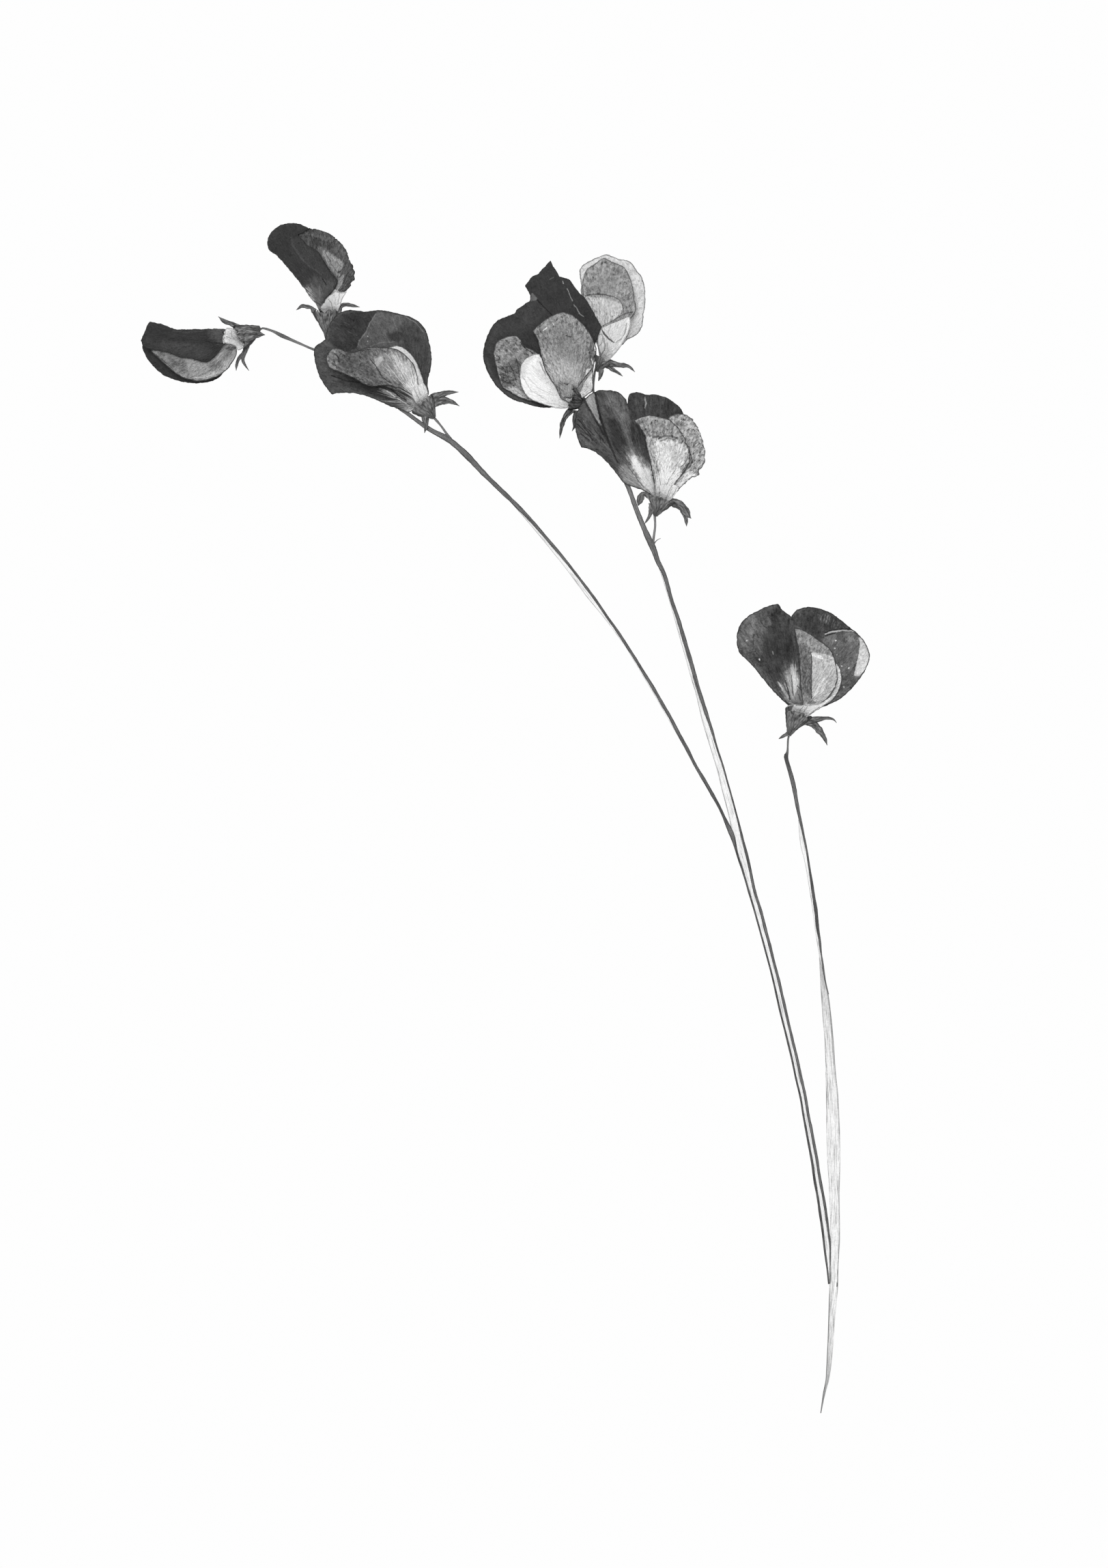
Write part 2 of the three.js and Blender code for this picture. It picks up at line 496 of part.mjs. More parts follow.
        [-4.2, 20.2], [-3.4, 21.0], [-2.2, 21.8], [-0.6, 23.0], [0.3, 23.2]],
      right: [[0.4, 0.6], [0.6, 3.0], [0.8, 5.4], [1.6, 7.3], [1.6, 7.3], [4.5, 8.5], [6.1, 9.1], [7.4, 10.6],
        [7.5, 12.2], [7.2, 13.8], [6.9, 15.8], [6.4, 17.9], [5.6, 19.8], [4.5, 21.3], [3.0, 21.9], [1.4, 22.6],
        [0.3, 23.2]],
    },
    calyx: {
      foot: [-1.8, -3.0, 0.9],
      rim: [-0.2, -0.7, 2.2],
      width: 3.8,
      depth: 4.0,
      teeth: [
        [[0.2, -0.9, 1.8, 1.4], [3.4, -1.6, 1.2, 0.9], [5.8, -1.9, 0.8, 0.6], [7.4, -3.2, 0.3, 0.4]],
        [[0.0, -1.2, 1.6, 1.0], [2.2, -2.7, 1.0, 0.6], [3.4, -3.4, 0.7, 0.4], [4.5, -4.2, 0.3, 0.3]],
        [[-0.5, -1.6, 1.4, 1.4], [-0.7, -4.0, 1.0, 1.3], [-1.2, -5.4, 0.5, 1.3]],
      ],
    },
  },
  // The middle stalk's right bloom: lies over the stalk with its left lobe up on its neighbour's calyx.
  f: {
    at: [35.7, 75.1],
    swells: [
      { from: [-15.2, 25.4], to: [-7.0, 3.0], level: 1.6, reach: 9, height: 1.45 },
      { from: [-18.2, 21.4], level: 2.6, reach: 12, height: 3.9 },
    ],
    ripple: { height: 0.8, count: 4, phase: 1.2, span: 26 },
    crown: { at: [2.0, 8.2], radii: [5, 3], turn: 80 },
    standard: {
      left: [[-2.1, 1.0], [-4.2, 2.2], [-6.7, 3.0], [-8.5, 4.2], [-10.4, 6.7], [-12.8, 9.4], [-15.7, 11.5],
        [-18.1, 12.2], [-18.1, 12.2], [-18.9, 14.2], [-19.5, 17.3], [-18.9, 20.5], [-17.1, 23.2], [-14.6, 25.0],
        [-11.8, 25.3], [-9.8, 25.1], [-8.5, 24.3], [-7.7, 23.4], [-7.2, 22.1]],
      middle: [[-0.6, 0.8], [-2.2, 4.8], [-3.8, 9.3], [-5.1, 13.6], [-6.4, 18.9], [-7.2, 22.1]],
      right: [[1.6, 0.7], [4.8, 3.2], [6.4, 7.2], [7.0, 12.0], [6.7, 16.8], [6.2, 19.2], [5.4, 21.1], [4.2, 22.3],
        [2.1, 23.7], [-0.6, 24.5], [-2.7, 24.4], [-4.6, 25.0], [-6.1, 24.9], [-6.9, 24.2], [-7.2, 22.1]],
    },
    wingBack: {
      left: [[1.6, 0.4], [1.3, 4.8], [0.3, 9.6], [0.2, 14.4], [1.4, 18.1], [4.2, 19.8]],
      right: [[2.8, 0.3], [4.2, 1.5], [5.8, 3.0], [7.7, 4.8], [9.6, 5.4], [9.6, 5.4], [9.6, 6.7], [10.7, 8.0],
        [11.0, 10.6], [10.4, 14.1], [9.3, 16.6], [8.0, 18.7], [6.2, 19.8], [4.2, 19.8]],
    },
    keel: {
      left: [[0.3, 0.5], [-0.8, 4.0], [-1.4, 8.0], [-1.6, 10.9], [-1.0, 13.1], [1.3, 14.2]],
      right: [[1.6, 0.4], [3.2, 3.2], [5.1, 5.6], [6.4, 8.3], [6.1, 11.2], [4.3, 13.4], [1.3, 14.2]],
    },
    wingFront: {
      left: [[-0.6, 0.5], [-1.1, 4.0], [-1.9, 8.0], [-2.7, 12.0], [-3.5, 15.2], [-4.6, 16.8], [-5.6, 18.2]],
      right: [[1.9, 0.4], [2.9, 1.9], [4.5, 4.2], [6.2, 6.4], [7.4, 8.8], [7.0, 11.8], [5.9, 14.4], [4.2, 17.0],
        [2.1, 18.6], [-0.2, 19.2], [-2.2, 19.4], [-4.2, 19.0], [-5.6, 18.2]],
    },
    calyx: {
      foot: [-0.7, -4.0, 0.9],
      rim: [0.6, -0.4, 2.4],
      width: 6.2,
      depth: 4.2,
      teeth: [
        [[2.0, -0.9, 1.8, 1.6], [5.0, -1.9, 1.4, 1.2], [6.4, -3.2, 0.9, 0.8], [7.8, -4.6, 0.3, 0.5]],
        [[1.8, -1.2, 1.6, 1.0], [4.8, -2.9, 1.2, 0.6], [6.0, -4.3, 0.8, 0.4], [6.7, -6.4, 0.3, 0.3]],
        [[-1.0, -0.9, 1.4, 1.9], [-3.3, 0.4, 1.0, 1.7], [-4.2, -0.4, 1.0, 1.5], [-4.8, -1.5, 0.7, 1.4]],
        [[-0.9, -1.6, 1.4, 1.5], [-1.9, -3.5, 1.0, 1.4], [-2.6, -4.8, 0.6, 1.35], [-3.4, -5.9, 0.3, 1.35]],
      ],
    },
  },
  // The right stalk's one bloom: open and upright on the page, with a torn tip on its left lobe.
  g: {
    at: [68.6, 24.7],
    swells: [],
    ripple: { height: 1.1, count: 4, phase: 2.6, span: 26 },
    crown: { at: [5.6, 8.4], radii: [5.4, 2.4], turn: 80 },
    standard: {
      left: [[-1.7, 1.3], [-3.5, 3.0], [-5.8, 5.3], [-8.2, 8.2], [-11.2, 11.8], [-13.8, 14.4], [-14.4, 17.3],
        [-14.1, 19.8], [-12.6, 22.2], [-9.9, 24.0], [-6.7, 25.4], [-4.8, 25.8], [-4.8, 25.8], [-4.6, 25.0],
        [-3.0, 23.8], [-1.6, 22.7]],
      middle: [[0.3, 0.7], [0.3, 6.0], [0.1, 12.0], [-0.6, 18.0], [-1.6, 22.7]],
      right: [[2.6, 0.0], [4.5, 1.1], [7.0, 2.1], [9.8, 3.5], [12.0, 5.4], [14.1, 7.8], [16.0, 10.7], [16.8, 13.4],
        [16.2, 15.8], [14.6, 18.2], [12.0, 20.3], [9.1, 22.7], [6.1, 24.3], [3.2, 25.0], [0.8, 24.8],
        [-0.8, 24.0], [-1.6, 22.7]],
    },
    wingBack: {
      left: [[2.0, 0.2], [3.2, 5.6], [4.8, 10.4], [7.2, 12.6]],
      right: [[3.0, -0.1], [5.1, 1.3], [7.7, 2.9], [9.6, 5.6], [10.2, 8.2], [9.8, 10.6], [8.5, 12.3], [7.2, 12.6]],
    },
    keel: {
      left: [[1.6, 0.8], [2.6, 3.2], [2.9, 7.2], [2.9, 11.2], [3.0, 14.7]],
      right: [[2.7, 0.0], [5.6, 2.2], [7.8, 4.6], [8.6, 7.7], [8.3, 11.0], [6.9, 13.6], [4.8, 14.7], [3.0, 14.7]],
    },
    wingFront: {
      left: [[1.0, 0.9], [0.5, 5.6], [0.2, 10.4], [0.0, 13.6], [-0.5, 16.8], [-1.1, 20.0]],
      right: [[2.6, 0.4], [4.0, 1.9], [5.9, 2.9], [7.8, 5.0], [9.0, 7.7], [8.8, 10.9], [8.2, 13.4], [7.0, 15.4],
        [4.8, 17.1], [2.6, 18.7], [0.5, 19.8], [-1.1, 20.0]],
    },
    calyx: {
      foot: [-2.3, -5.7, 0.9],
      rim: [-0.3, -0.7, 2.4],
      width: 6.4,
      depth: 4.4,
      teeth: [
        [[0.8, -1.8, 1.8, 1.6], [4.5, -1.3, 1.3, 1.1], [6.7, -1.0, 0.8, 0.8], [8.2, -1.3, 0.5, 0.6],
          [9.0, -2.1, 0.3, 0.5]],
        [[0.6, -1.8, 1.6, 1.1], [3.4, -2.4, 1.5, 0.9], [5.0, -4.0, 1.5, 0.7], [6.2, -5.8, 0.9, 0.4],
          [6.8, -7.4, 0.3, 0.4]],
        [[-1.8, -4.4, 1.1, 0.9], [-3.3, -5.1, 0.8, 0.6], [-4.6, -5.9, 0.3, 0.5]],
      ],
    },
  },
};

// The stalks. A rib's points are x, y and its width there.
const LEFT_STALK = [[-56.9, 115.2, 0.7], [-54.6, 114.5, 0.7], [-52.6, 113.5, 1.1], [-49.8, 112.2, 0.8],
  [-46.6, 110.8, 0.9], [-43.4, 109.4, 1.0], [-38.6, 106.6, 1.1], [-32.2, 102.2, 1.1], [-24.5, 96.2, 1.2],
  [-17.8, 91.4, 1.3], [-11.8, 87.8, 1.4], [-4.0, 79.9, 1.2], [2.6, 73.5, 1.2], [8.5, 67.1, 1.2],
  [16.5, 57.5, 1.2], [23.5, 47.9, 1.2], [29.9, 38.3, 1.2], [37.6, 25.5, 1.1], [44.5, 12.7, 1.1], [51.0, -0.1, 1.2],
  [52.9, -4.1, 1.9], [53.7, -6.7, 1.7], [55.5, -11.3, 0.9], [59.4, -25.7, 0.9], [64.3, -44.9, 0.9],
  [68.8, -64.1, 0.9], [72.3, -83.3, 0.9], [74.9, -102.5, 0.9], [75.8, -109.5, 0.9]];
const MIDDLE_STALK = [[21.0, 104.6, 0.9], [20.8, 99.9, 0.9], [22.2, 94.3, 1.0], [24.3, 87.9, 1.1],
  [26.2, 82.8, 1.2], [28.5, 78.3, 1.2], [31.5, 70.3, 1.2], [34.4, 63.9, 1.5], [37.1, 57.5, 1.3],
  [41.1, 44.7, 1.3], [44.8, 31.9, 1.4], [48.8, 19.1, 1.5], [52.6, 6.3, 1.4], [55.8, -6.5, 1.2],
  [58.2, -16.1, 1.0], [63.4, -35.3, 0.9], [67.8, -54.5, 0.9], [71.8, -73.7, 0.9], [75.2, -92.9, 0.9],
  [77.0, -104.1, 0.9], [77.8, -110.2, 0.9]];
const RIGHT_STALK = [[66.2, 18.6, 0.7], [66.1, 15.9, 0.7], [65.8, 15.0, 1.1], [65.9, 14.3, 1.0], [67.1, 7.9, 1.1],
  [68.4, 1.5, 1.1], [69.8, -4.9, 1.1], [71.0, -11.3, 1.1], [71.9, -17.7, 1.1], [72.8, -24.1, 1.3],
  [73.4, -30.5, 1.3], [74.1, -36.9, 1.6], [75.1, -44.9, 2.4], [75.8, -54.5, 2.6], [76.3, -64.1, 2.9],
  [76.8, -73.7, 2.9], [76.8, -83.3, 2.9], [77.0, -92.9, 2.6], [77.3, -102.5, 2.0], [77.0, -107.3, 2.0],
  [76.6, -112.1, 2.2], [76.2, -117.8, 2.1], [75.8, -123.6, 1.6], [75.4, -129.4, 1.3], [74.8, -133.2, 0.8],
  [74.1, -137.0, 0.5], [73.8, -139.3, 0.4]];
const SIDE_STEMS = [
  [[-41.9, 112.1, 0.8], [-40.8, 109.5, 0.8], [-39.5, 107.0, 1.0]], // to bloom b
  [[-16.6, 93.8, 0.8], [-15.2, 92.2, 0.8], [-13.6, 90.0, 0.8], [-12.0, 87.9, 1.1]], // to bloom c
  [[19.7, 95.0, 0.8], [20.8, 93.6, 0.8], [22.6, 91.1, 0.8], [24.3, 88.1, 1.1]], // to bloom d
  [[35.0, 70.6, 0.8], [35.0, 68.7, 0.7], [34.6, 65.5, 0.9], [34.6, 63.4, 1.2]], // to bloom f
];
const WEB_START = 13; // the places along the two ribs between which the web begins

function stalkStrip(points, height = RIB_HEIGHT) {
  return strip(points.map(([x, y, width]) => [x, y, width, height, 0]));
}

// The thin web that fills the narrow space between the left and the middle rib.
function web() {
  const left = divide(LEFT_STALK.slice(19).map(([x, y]) => [x, y]), WEB_START);
  const right = divide(MIDDLE_STALK.slice(12).map(([x, y]) => [x, y]), WEB_START);
  return strip(left.slice(1).map((point, i) => {
    const centre = mix(point, right[i + 1], 0.5);
    return [...centre, distance(point, right[i + 1]), WEB_HEIGHT, 0];
  }));
}

// The whole spray
const spray = new THREE.Group();

function addPiece(group, name, geometry, finish) {
  const piece = new THREE.Mesh(geometry, new THREE.MeshStandardMaterial(finish));
  piece.name = name;
  group.add(piece);
}

addPiece(spray, "stalks", joined([
  stalkStrip(LEFT_STALK), stalkStrip(MIDDLE_STALK), stalkStrip(RIGHT_STALK),
  ...SIDE_STEMS.map((stem) => stalkStrip(stem, RIB_HEIGHT - 0.1)), web(),
]), GREEN_PART);

for (const [letter, bloom] of Object.entries(blooms)) {
  const group = new THREE.Group();
  group.position.set(bloom.at[0], bloom.at[1], 0);
  const standard = bloom.standard.fold
    ? foldedPetal(bloom, bloom.standard)
    : openPetal(bloom, 0, bloom.standard, STANDARD_ROWS, STANDARD_COLUMNS);
  addPiece(group, `standard_${letter}`, standard, letter === "e" ? PALE_PETAL : DARK_PETAL);
  addPiece(group, `wing_back_${letter}`, openPetal(bloom, 1, bloom.wingBack, WING_ROWS, WING_COLUMNS), GREY_PETAL);
  addPiece(group, `keel_${letter}`, openPetal(bloom, 2, bloom.keel, WING_ROWS, WING_COLUMNS), PALE_PETAL);
  addPiece(group, `wing_front_${letter}`, openPetal(bloom, 3, bloom.wingFront, WING_ROWS, WING_COLUMNS), GREY_PETAL);
  addPiece(group, `calyx_${letter}`, calyx(bloom.calyx), GREEN_PART);
  spray.add(group);
}

export default spray;
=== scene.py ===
"""A pressed and dried spray of sweet pea: seven blooms on three thin stalks, lying flat on a page and
seen from above. Places are in mm until a mesh is made. Tones are the greys of a scanned page, from
0 for black to 255 for white."""

import math

import bmesh
import bpy
import numpy as np
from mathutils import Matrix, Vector


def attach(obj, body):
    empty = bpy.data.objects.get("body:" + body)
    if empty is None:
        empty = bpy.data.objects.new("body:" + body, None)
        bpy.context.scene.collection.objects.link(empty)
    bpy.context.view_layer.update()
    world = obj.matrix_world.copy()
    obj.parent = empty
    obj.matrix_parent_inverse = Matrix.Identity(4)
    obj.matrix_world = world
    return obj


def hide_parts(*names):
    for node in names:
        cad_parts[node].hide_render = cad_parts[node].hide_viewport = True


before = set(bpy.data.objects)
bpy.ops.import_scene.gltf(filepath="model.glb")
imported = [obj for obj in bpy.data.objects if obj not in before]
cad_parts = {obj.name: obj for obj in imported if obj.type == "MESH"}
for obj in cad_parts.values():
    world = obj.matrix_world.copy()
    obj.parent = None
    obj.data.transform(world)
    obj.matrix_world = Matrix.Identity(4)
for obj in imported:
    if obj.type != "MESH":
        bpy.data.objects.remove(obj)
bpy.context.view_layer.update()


# Stalks: three thin green stems, each with a short side stem to every bloom, dried and pressed flat.
# A hollow stem collapses into a dark rib or two, with pale skin beside or between them. They are
# grown together where they cross.
MM = 0.001
RIB_HEIGHT, SIDE_RIB_HEIGHT = 0.95, 0.85
RIB_STEP, SIDE_RIB_STEP = 0.5, 0.3  # from one ring of corners to the next
RIB_CORNERS = 20
SKIN_THICKNESS = 0.14

# A stalk's points run from the top down: x, y, width, and the tones of its left side, its middle and
# its right side.
LEFT_STALK = [
    (-57.6, 115.0, 0.4, 90, 120, 85), (-56.9, 115.2, 0.5, 90, 120, 85), (-54.6, 114.5, 0.6, 90, 120, 85),
    (-52.6, 113.5, 0.9, 75, 105, 75), (-49.8, 112.2, 0.65, 85, 125, 82), (-46.6, 110.8, 0.55, 85, 125, 82),
    (-43.4, 109.4, 0.65, 80, 110, 80), (-38.6, 106.6, 0.65, 80, 120, 78), (-32.2, 102.2, 0.75, 76, 115, 74),
    (-24.5, 96.2, 0.95, 70, 115, 68), (-17.8, 91.4, 1.05, 68, 118, 66), (-11.8, 87.8, 1.5, 66, 112, 64),
    (-4.0, 79.9, 1.15, 68, 112, 60), (2.6, 73.5, 1.0, 70, 108, 58), (8.5, 67.1, 0.8, 74, 104, 60),
    (16.5, 57.5, 0.62, 76, 104, 60), (23.5, 47.9, 0.64, 74, 100, 60), (29.9, 38.3, 0.72, 72, 104, 64),
    (37.6, 25.5, 0.8, 74, 106, 68), (44.5, 12.7, 0.82, 74, 102, 68), (49.3, 4.3, 0.8, 70, 94, 66),
    (51.3, 0.2, 0.75, 68, 90, 66), (52.6, -2.8, 1.15, 70, 116, 70), (53.2, -4.4, 1.05, 68, 110, 68),
    (53.8, -6.5, 0.65, 64, 86, 64), (54.4, -8.5, 0.55, 64, 82, 64), (55.3, -11.3, 0.5, 66, 86, 66),
    (56.5, -15.3, 0.46, 68, 90, 68), (58.2, -20.9, 0.45, 68, 90, 68), (60.0, -27.5, 0.42, 68, 90, 68),
    (62.5, -36.9, 0.44, 68, 88, 68), (64.3, -44.8, 0.46, 66, 88, 66), (66.0, -51.5, 0.48, 66, 88, 66),
    (68.8, -64.1, 0.46, 68, 90, 68), (70.0, -70.5, 0.48, 68, 90, 68), (71.8, -80.1, 0.58, 66, 88, 66),
    (72.8, -86.5, 0.58, 66, 88, 66), (73.8, -92.9, 0.58, 68, 90, 68), (74.6, -99.3, 0.52, 72, 94, 72),
    (75.2, -104.1, 0.46, 76, 98, 76), (75.8, -109.1, 0.36, 80, 102, 80)]
MIDDLE_STALK = [
    (21.1, 105.4, 0.5, 80, 120, 80), (20.8, 104.6, 0.5, 80, 130, 80), (20.6, 99.9, 0.5, 76, 130, 76),
    (22.2, 94.3, 0.75, 70, 112, 68), (24.3, 87.9, 0.95, 66, 112, 64), (26.2, 82.8, 1.05, 66, 120, 62),
    (28.5, 78.3, 1.1, 66, 128, 62), (31.5, 70.3, 1.1, 66, 122, 62), (34.4, 63.9, 1.5, 68, 108, 64),
    (35.6, 60.6, 1.15, 72, 110, 66), (37.1, 57.5, 0.98, 76, 108, 68), (39.0, 51.1, 0.84, 80, 108, 68),
    (41.1, 44.7, 0.92, 80, 108, 68), (44.8, 31.9, 0.95, 80, 106, 66), (47.0, 24.8, 0.85, 82, 106, 66),
    (48.9, 19.1, 0.52, 78, 98, 66), (50.3, 14.5, 0.44, 76, 96, 68), (51.9, 9.2, 0.42, 76, 96, 66),
    (53.8, 2.3, 0.44, 72, 92, 64), (55.4, -3.9, 0.54, 68, 90, 62), (56.9, -10.0, 0.66, 66, 98, 60),
    (58.1, -15.7, 0.7, 66, 106, 58), (59.6, -20.9, 0.7, 66, 108, 58), (61.3, -27.3, 0.7, 66, 110, 58),
    (63.8, -36.9, 0.66, 66, 108, 58), (65.6, -44.7, 0.66, 66, 108, 58), (67.9, -54.5, 0.66, 68, 110, 60),
    (70.0, -64.1, 0.66, 68, 110, 60), (71.2, -70.5, 0.7, 68, 110, 60), (73.0, -80.1, 0.66, 68, 108, 60),
    (74.1, -86.5, 0.66, 68, 106, 62), (75.2, -92.9, 0.6, 70, 102, 64), (76.0, -99.3, 0.5, 74, 98, 70),
    (76.1, -104.0, 0.3, 86, 106, 86), (76.0, -109.0, 0.24, 96, 116, 96)]
RIGHT_STALK = [
    (66.4, 19.5, 0.45, 78, 115, 78), (66.2, 18.6, 0.45, 78, 115, 78), (66.1, 15.9, 0.5, 74, 110, 72),
    (65.8, 15.0, 0.9, 62, 80, 62), (65.9, 13.7, 0.9, 62, 90, 60), (67.4, 8.4, 1.0, 66, 106, 56),
    (68.2, 4.3, 0.88, 68, 112, 58), (69.0, 0.2, 0.7, 72, 106, 60), (69.7, -3.0, 0.58, 78, 100, 62),
    (70.3, -5.9, 0.5, 80, 100, 68), (71.0, -10.0, 0.5, 76, 96, 68), (71.8, -15.0, 0.62, 72, 92, 64),
    (72.6, -20.8, 0.82, 68, 88, 62), (73.1, -25.1, 0.8, 70, 90, 66), (73.6, -28.2, 0.62, 76, 100, 70),
    (74.2, -33.1, 0.45, 84, 108, 76), (74.9, -37.4, 0.4, 86, 110, 80), (75.7, -41.1, 0.32, 90, 115, 85)]
SIDE_STEMS = [
    [(-41.9, 113.0, 0.6, 85, 125, 85), (-41.9, 112.1, 0.6, 85, 125, 85), (-40.8, 109.5, 0.6, 85, 125, 85),
     (-39.5, 107.0, 0.9, 80, 110, 80)],
    [(-17.1, 94.4, 0.6, 85, 125, 85), (-16.6, 93.8, 0.6, 85, 125, 85), (-15.2, 92.2, 0.5, 85, 125, 85),
     (-13.6, 90.0, 0.6, 80, 120, 80), (-12.0, 87.9, 1.0, 75, 100, 75)],
    [(19.1, 95.5, 0.6, 85, 125, 85), (19.7, 95.0, 0.6, 85, 125, 85), (20.8, 93.6, 0.6, 85, 125, 85),
     (22.6, 91.1, 0.7, 80, 118, 80), (24.3, 88.1, 1.0, 75, 110, 75)],
    [(35.0, 71.5, 0.7, 90, 140, 90), (35.0, 70.6, 0.6, 90, 140, 90), (35.0, 68.7, 0.5, 90, 140, 90),
     (34.6, 65.5, 0.6, 85, 125, 85), (34.6, 63.4, 1.0, 72, 95, 72)],
    [(34.5, 64.2, 0.4, 85, 110, 85), (35.4, 65.4, 0.2, 100, 120, 100), (36.3, 65.9, 0.12, 120, 140, 120)],
    [(77.8, -103.0, 0.16, 190, 200, 190), (77.8, -106.5, 0.24, 110, 120, 110),
     (77.7, -109.7, 0.3, 80, 95, 80)]]
# Pale skin that stands off a stalk's left side, and lower down joins the middle stalk to the left one.
# It spans from its own outer edge, with the tone this starts in, to the stalk's points, which are
# counted from the top down.
SKINS = [
    (LEFT_STALK[12:20], 105, [(-3.6, 79.0), (1.0, 74.4), (5.4, 69.4), (9.7, 64.2), (14.1, 58.7),
                              (18.5, 52.7), (22.4, 48.0), (24.9, 44.7), (27.9, 40.6), (31.0, 35.5),
                              (36.5, 26.2), (44.2, 12.6)]),
    (MIDDLE_STALK[9:], 185, [(35.0, 61.3), (36.3, 57.7), (37.1, 55.2), (38.3, 51.3), (39.5, 47.2),
                             (40.8, 42.4), (42.1, 38.0), (43.4, 33.2), (44.7, 28.8), (46.1, 22.8),
                             (47.8, 17.2), (49.5, 11.6), (50.9, 5.9), (52.3, 0.6)]
     + [point[:2] for point in LEFT_STALK[23:]]),
    (RIGHT_STALK[7:17], 205, [(68.6, -0.2), (69.1, -5.9), (70.1, -10.0), (71.1, -15.7), (71.9, -20.9),
                              (72.7, -27.0), (73.4, -31.3), (74.2, -37.0)])]
# Below the middle stalk the right one is only a ribbon of pale skin: its left and its right edge.
RIBBON = [
    [(73.5, -32.5), (73.7, -36.2), (74.1, -43.5), (74.8, -52.7), (75.1, -61.9), (75.2, -71.1),
     (75.4, -79.7), (75.8, -85.9), (76.2, -98.1), (76.2, -104.2), (75.9, -110.3), (75.7, -116.5),
     (75.5, -122.6), (75.2, -128.7), (75.0, -131.8), (74.4, -134.8), (73.8, -139.4)],
    [(73.6, -32.4), (74.9, -37.4), (75.8, -41.7), (76.7, -49.6), (77.4, -58.8), (78.0, -65.0),
     (78.3, -71.1), (78.5, -79.7), (78.3, -88.0), (78.4, -98.1), (78.1, -104.2), (77.9, -110.3),
     (77.3, -116.5), (76.9, -122.6), (76.3, -128.7), (75.8, -131.8), (75.0, -134.8), (74.0, -139.4)]]


def along(line):
    """How far along a line each of its points is."""
    return np.r_[0, np.hypot(*np.diff(line[:, :2], axis=0).T).cumsum()]


PLACES_A_POINT = 12


def smooth_line(points, steps):
    """A line in even steps through given points. A point written twice is a corner."""
    spans = [[points[0]]]
    for point in points[1:]:
        if point == spans[-1][-1]:
            spans.append([point])
        else:
            spans[-1].append(point)
    share = np.linspace(0, 1, PLACES_A_POINT, endpoint=False)[:, None]
    curves = []
    for span in spans:
        span = np.array(span, float)
        span = np.vstack([2 * span[0] - span[1], span, 2 * span[-1] - span[-2]])
        curve = []
        for before, here, there, after in zip(span, span[1:], span[2:], span[3:]):
            leave = 0.5 * (there - before)
            arrive = 0.5 * (after - here)
            bend = 3 * (there - here) - 2 * leave - arrive
            twist = 2 * (here - there) + leave + arrive
            curve.append(here + leave * share + bend * share ** 2 + twist * share ** 3)
        curves.append(np.vstack(curve + [span[-2:-1]]))
    runs = [along(curve) for curve in curves]
    whole = sum(run[-1] for run in runs)
    line = [curves[0][:1]]
    done = 0
    used = 0
    for k, (curve, run) in enumerate(zip(curves, runs)):
        done += run[-1]
        until = steps if k == len(curves) - 1 else max(used + 1, round(steps * done / whole))
        stops = np.linspace(0, run[-1], until - used + 1)[1:]
        line.append(np.stack([np.interp(stops, run, column) for column in curve.T], axis=1))
        used = until
    return np.vstack(line)


def sideways(line):
    """The direction across a line at each of its points: to the page's right where it runs down."""
    ahead = np.gradient(line[:, :2], axis=0)
    ahead /= np.hypot(*ahead.T)[:, None] + 1e-9
    return np.stack([-ahead[:, 1], ahead[:, 0]], axis=1)


def waver(spot, pitch, seed):
    """Smooth unevenness, mostly between -1 and 1: seven waves that cross at odd angles."""
    rise = 0
    for k in range(7):
        turn = 2.4 * k + seed
        run = spot[..., 0] * math.cos(turn) + spot[..., 1] * math.sin(turn)
        rise = rise + np.sin(run * 2 * math.pi / pitch * (0.7 + 0.13 * k) + 1.7 * seed * (k + 1))
    return rise / 2.6


def lay_net(bm, net, marks):
    """Adds a grid of faces whose corners are moved to a net of places. Each corner keeps its marks:
    numbers, by name, that say where on the piece it is."""
    rows, columns = net.shape[0] - 1, net.shape[1] - 1
    layers = []
    for name, values in marks.items():
        kinds = bm.verts.layers.float_vector if values.ndim == 3 else bm.verts.layers.float
        layers.append((kinds.get(name) or kinds.new(name), values))
    for vert in bmesh.ops.create_grid(bm, x_segments=columns, y_segments=rows, size=1)["verts"]:
        i = round((vert.co.y + 1) / 2 * rows)
        j = round((vert.co.x + 1) / 2 * columns)
        vert.co = Vector(net[i, j]) * MM
        for layer, values in layers:
            vert[layer] = Vector(values[i, j]) if values.ndim == 3 else float(values[i, j])


def object_of(name, bm, material):
    """An object at the origin with the mesh made so far, in one material."""
    mesh = bpy.data.meshes.new(name)
    bm.to_mesh(mesh)
    bm.free()
    mesh.materials.append(material)
    made = bpy.data.objects.new(name, mesh)
    bpy.context.scene.collection.objects.link(made)
    return made


def piece_of(name, bm, material, node, closed=False, thickness=0.0):
    """A finished piece from laid nets, in the place of its plain solid. A closed piece has its open
    ends filled. A thin one gets a thickness in mm, half of it to each side."""
    bmesh.ops.remove_doubles(bm, verts=bm.verts, dist=1e-6)
    bmesh.ops.dissolve_degenerate(bm, edges=bm.edges, dist=1e-7)
    if closed:
        bmesh.ops.holes_fill(bm, edges=[edge for edge in bm.edges if edge.is_boundary], sides=0)
    bmesh.ops.recalc_face_normals(bm, faces=bm.faces)
    for face in bm.faces:
        face.smooth = True
    piece = object_of(name, bm, material)
    if thickness:
        ply = piece.modifiers.new("ply", "SOLIDIFY")
        ply.thickness = thickness * MM
        ply.offset = 0
    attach(piece, "root")
    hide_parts(node)


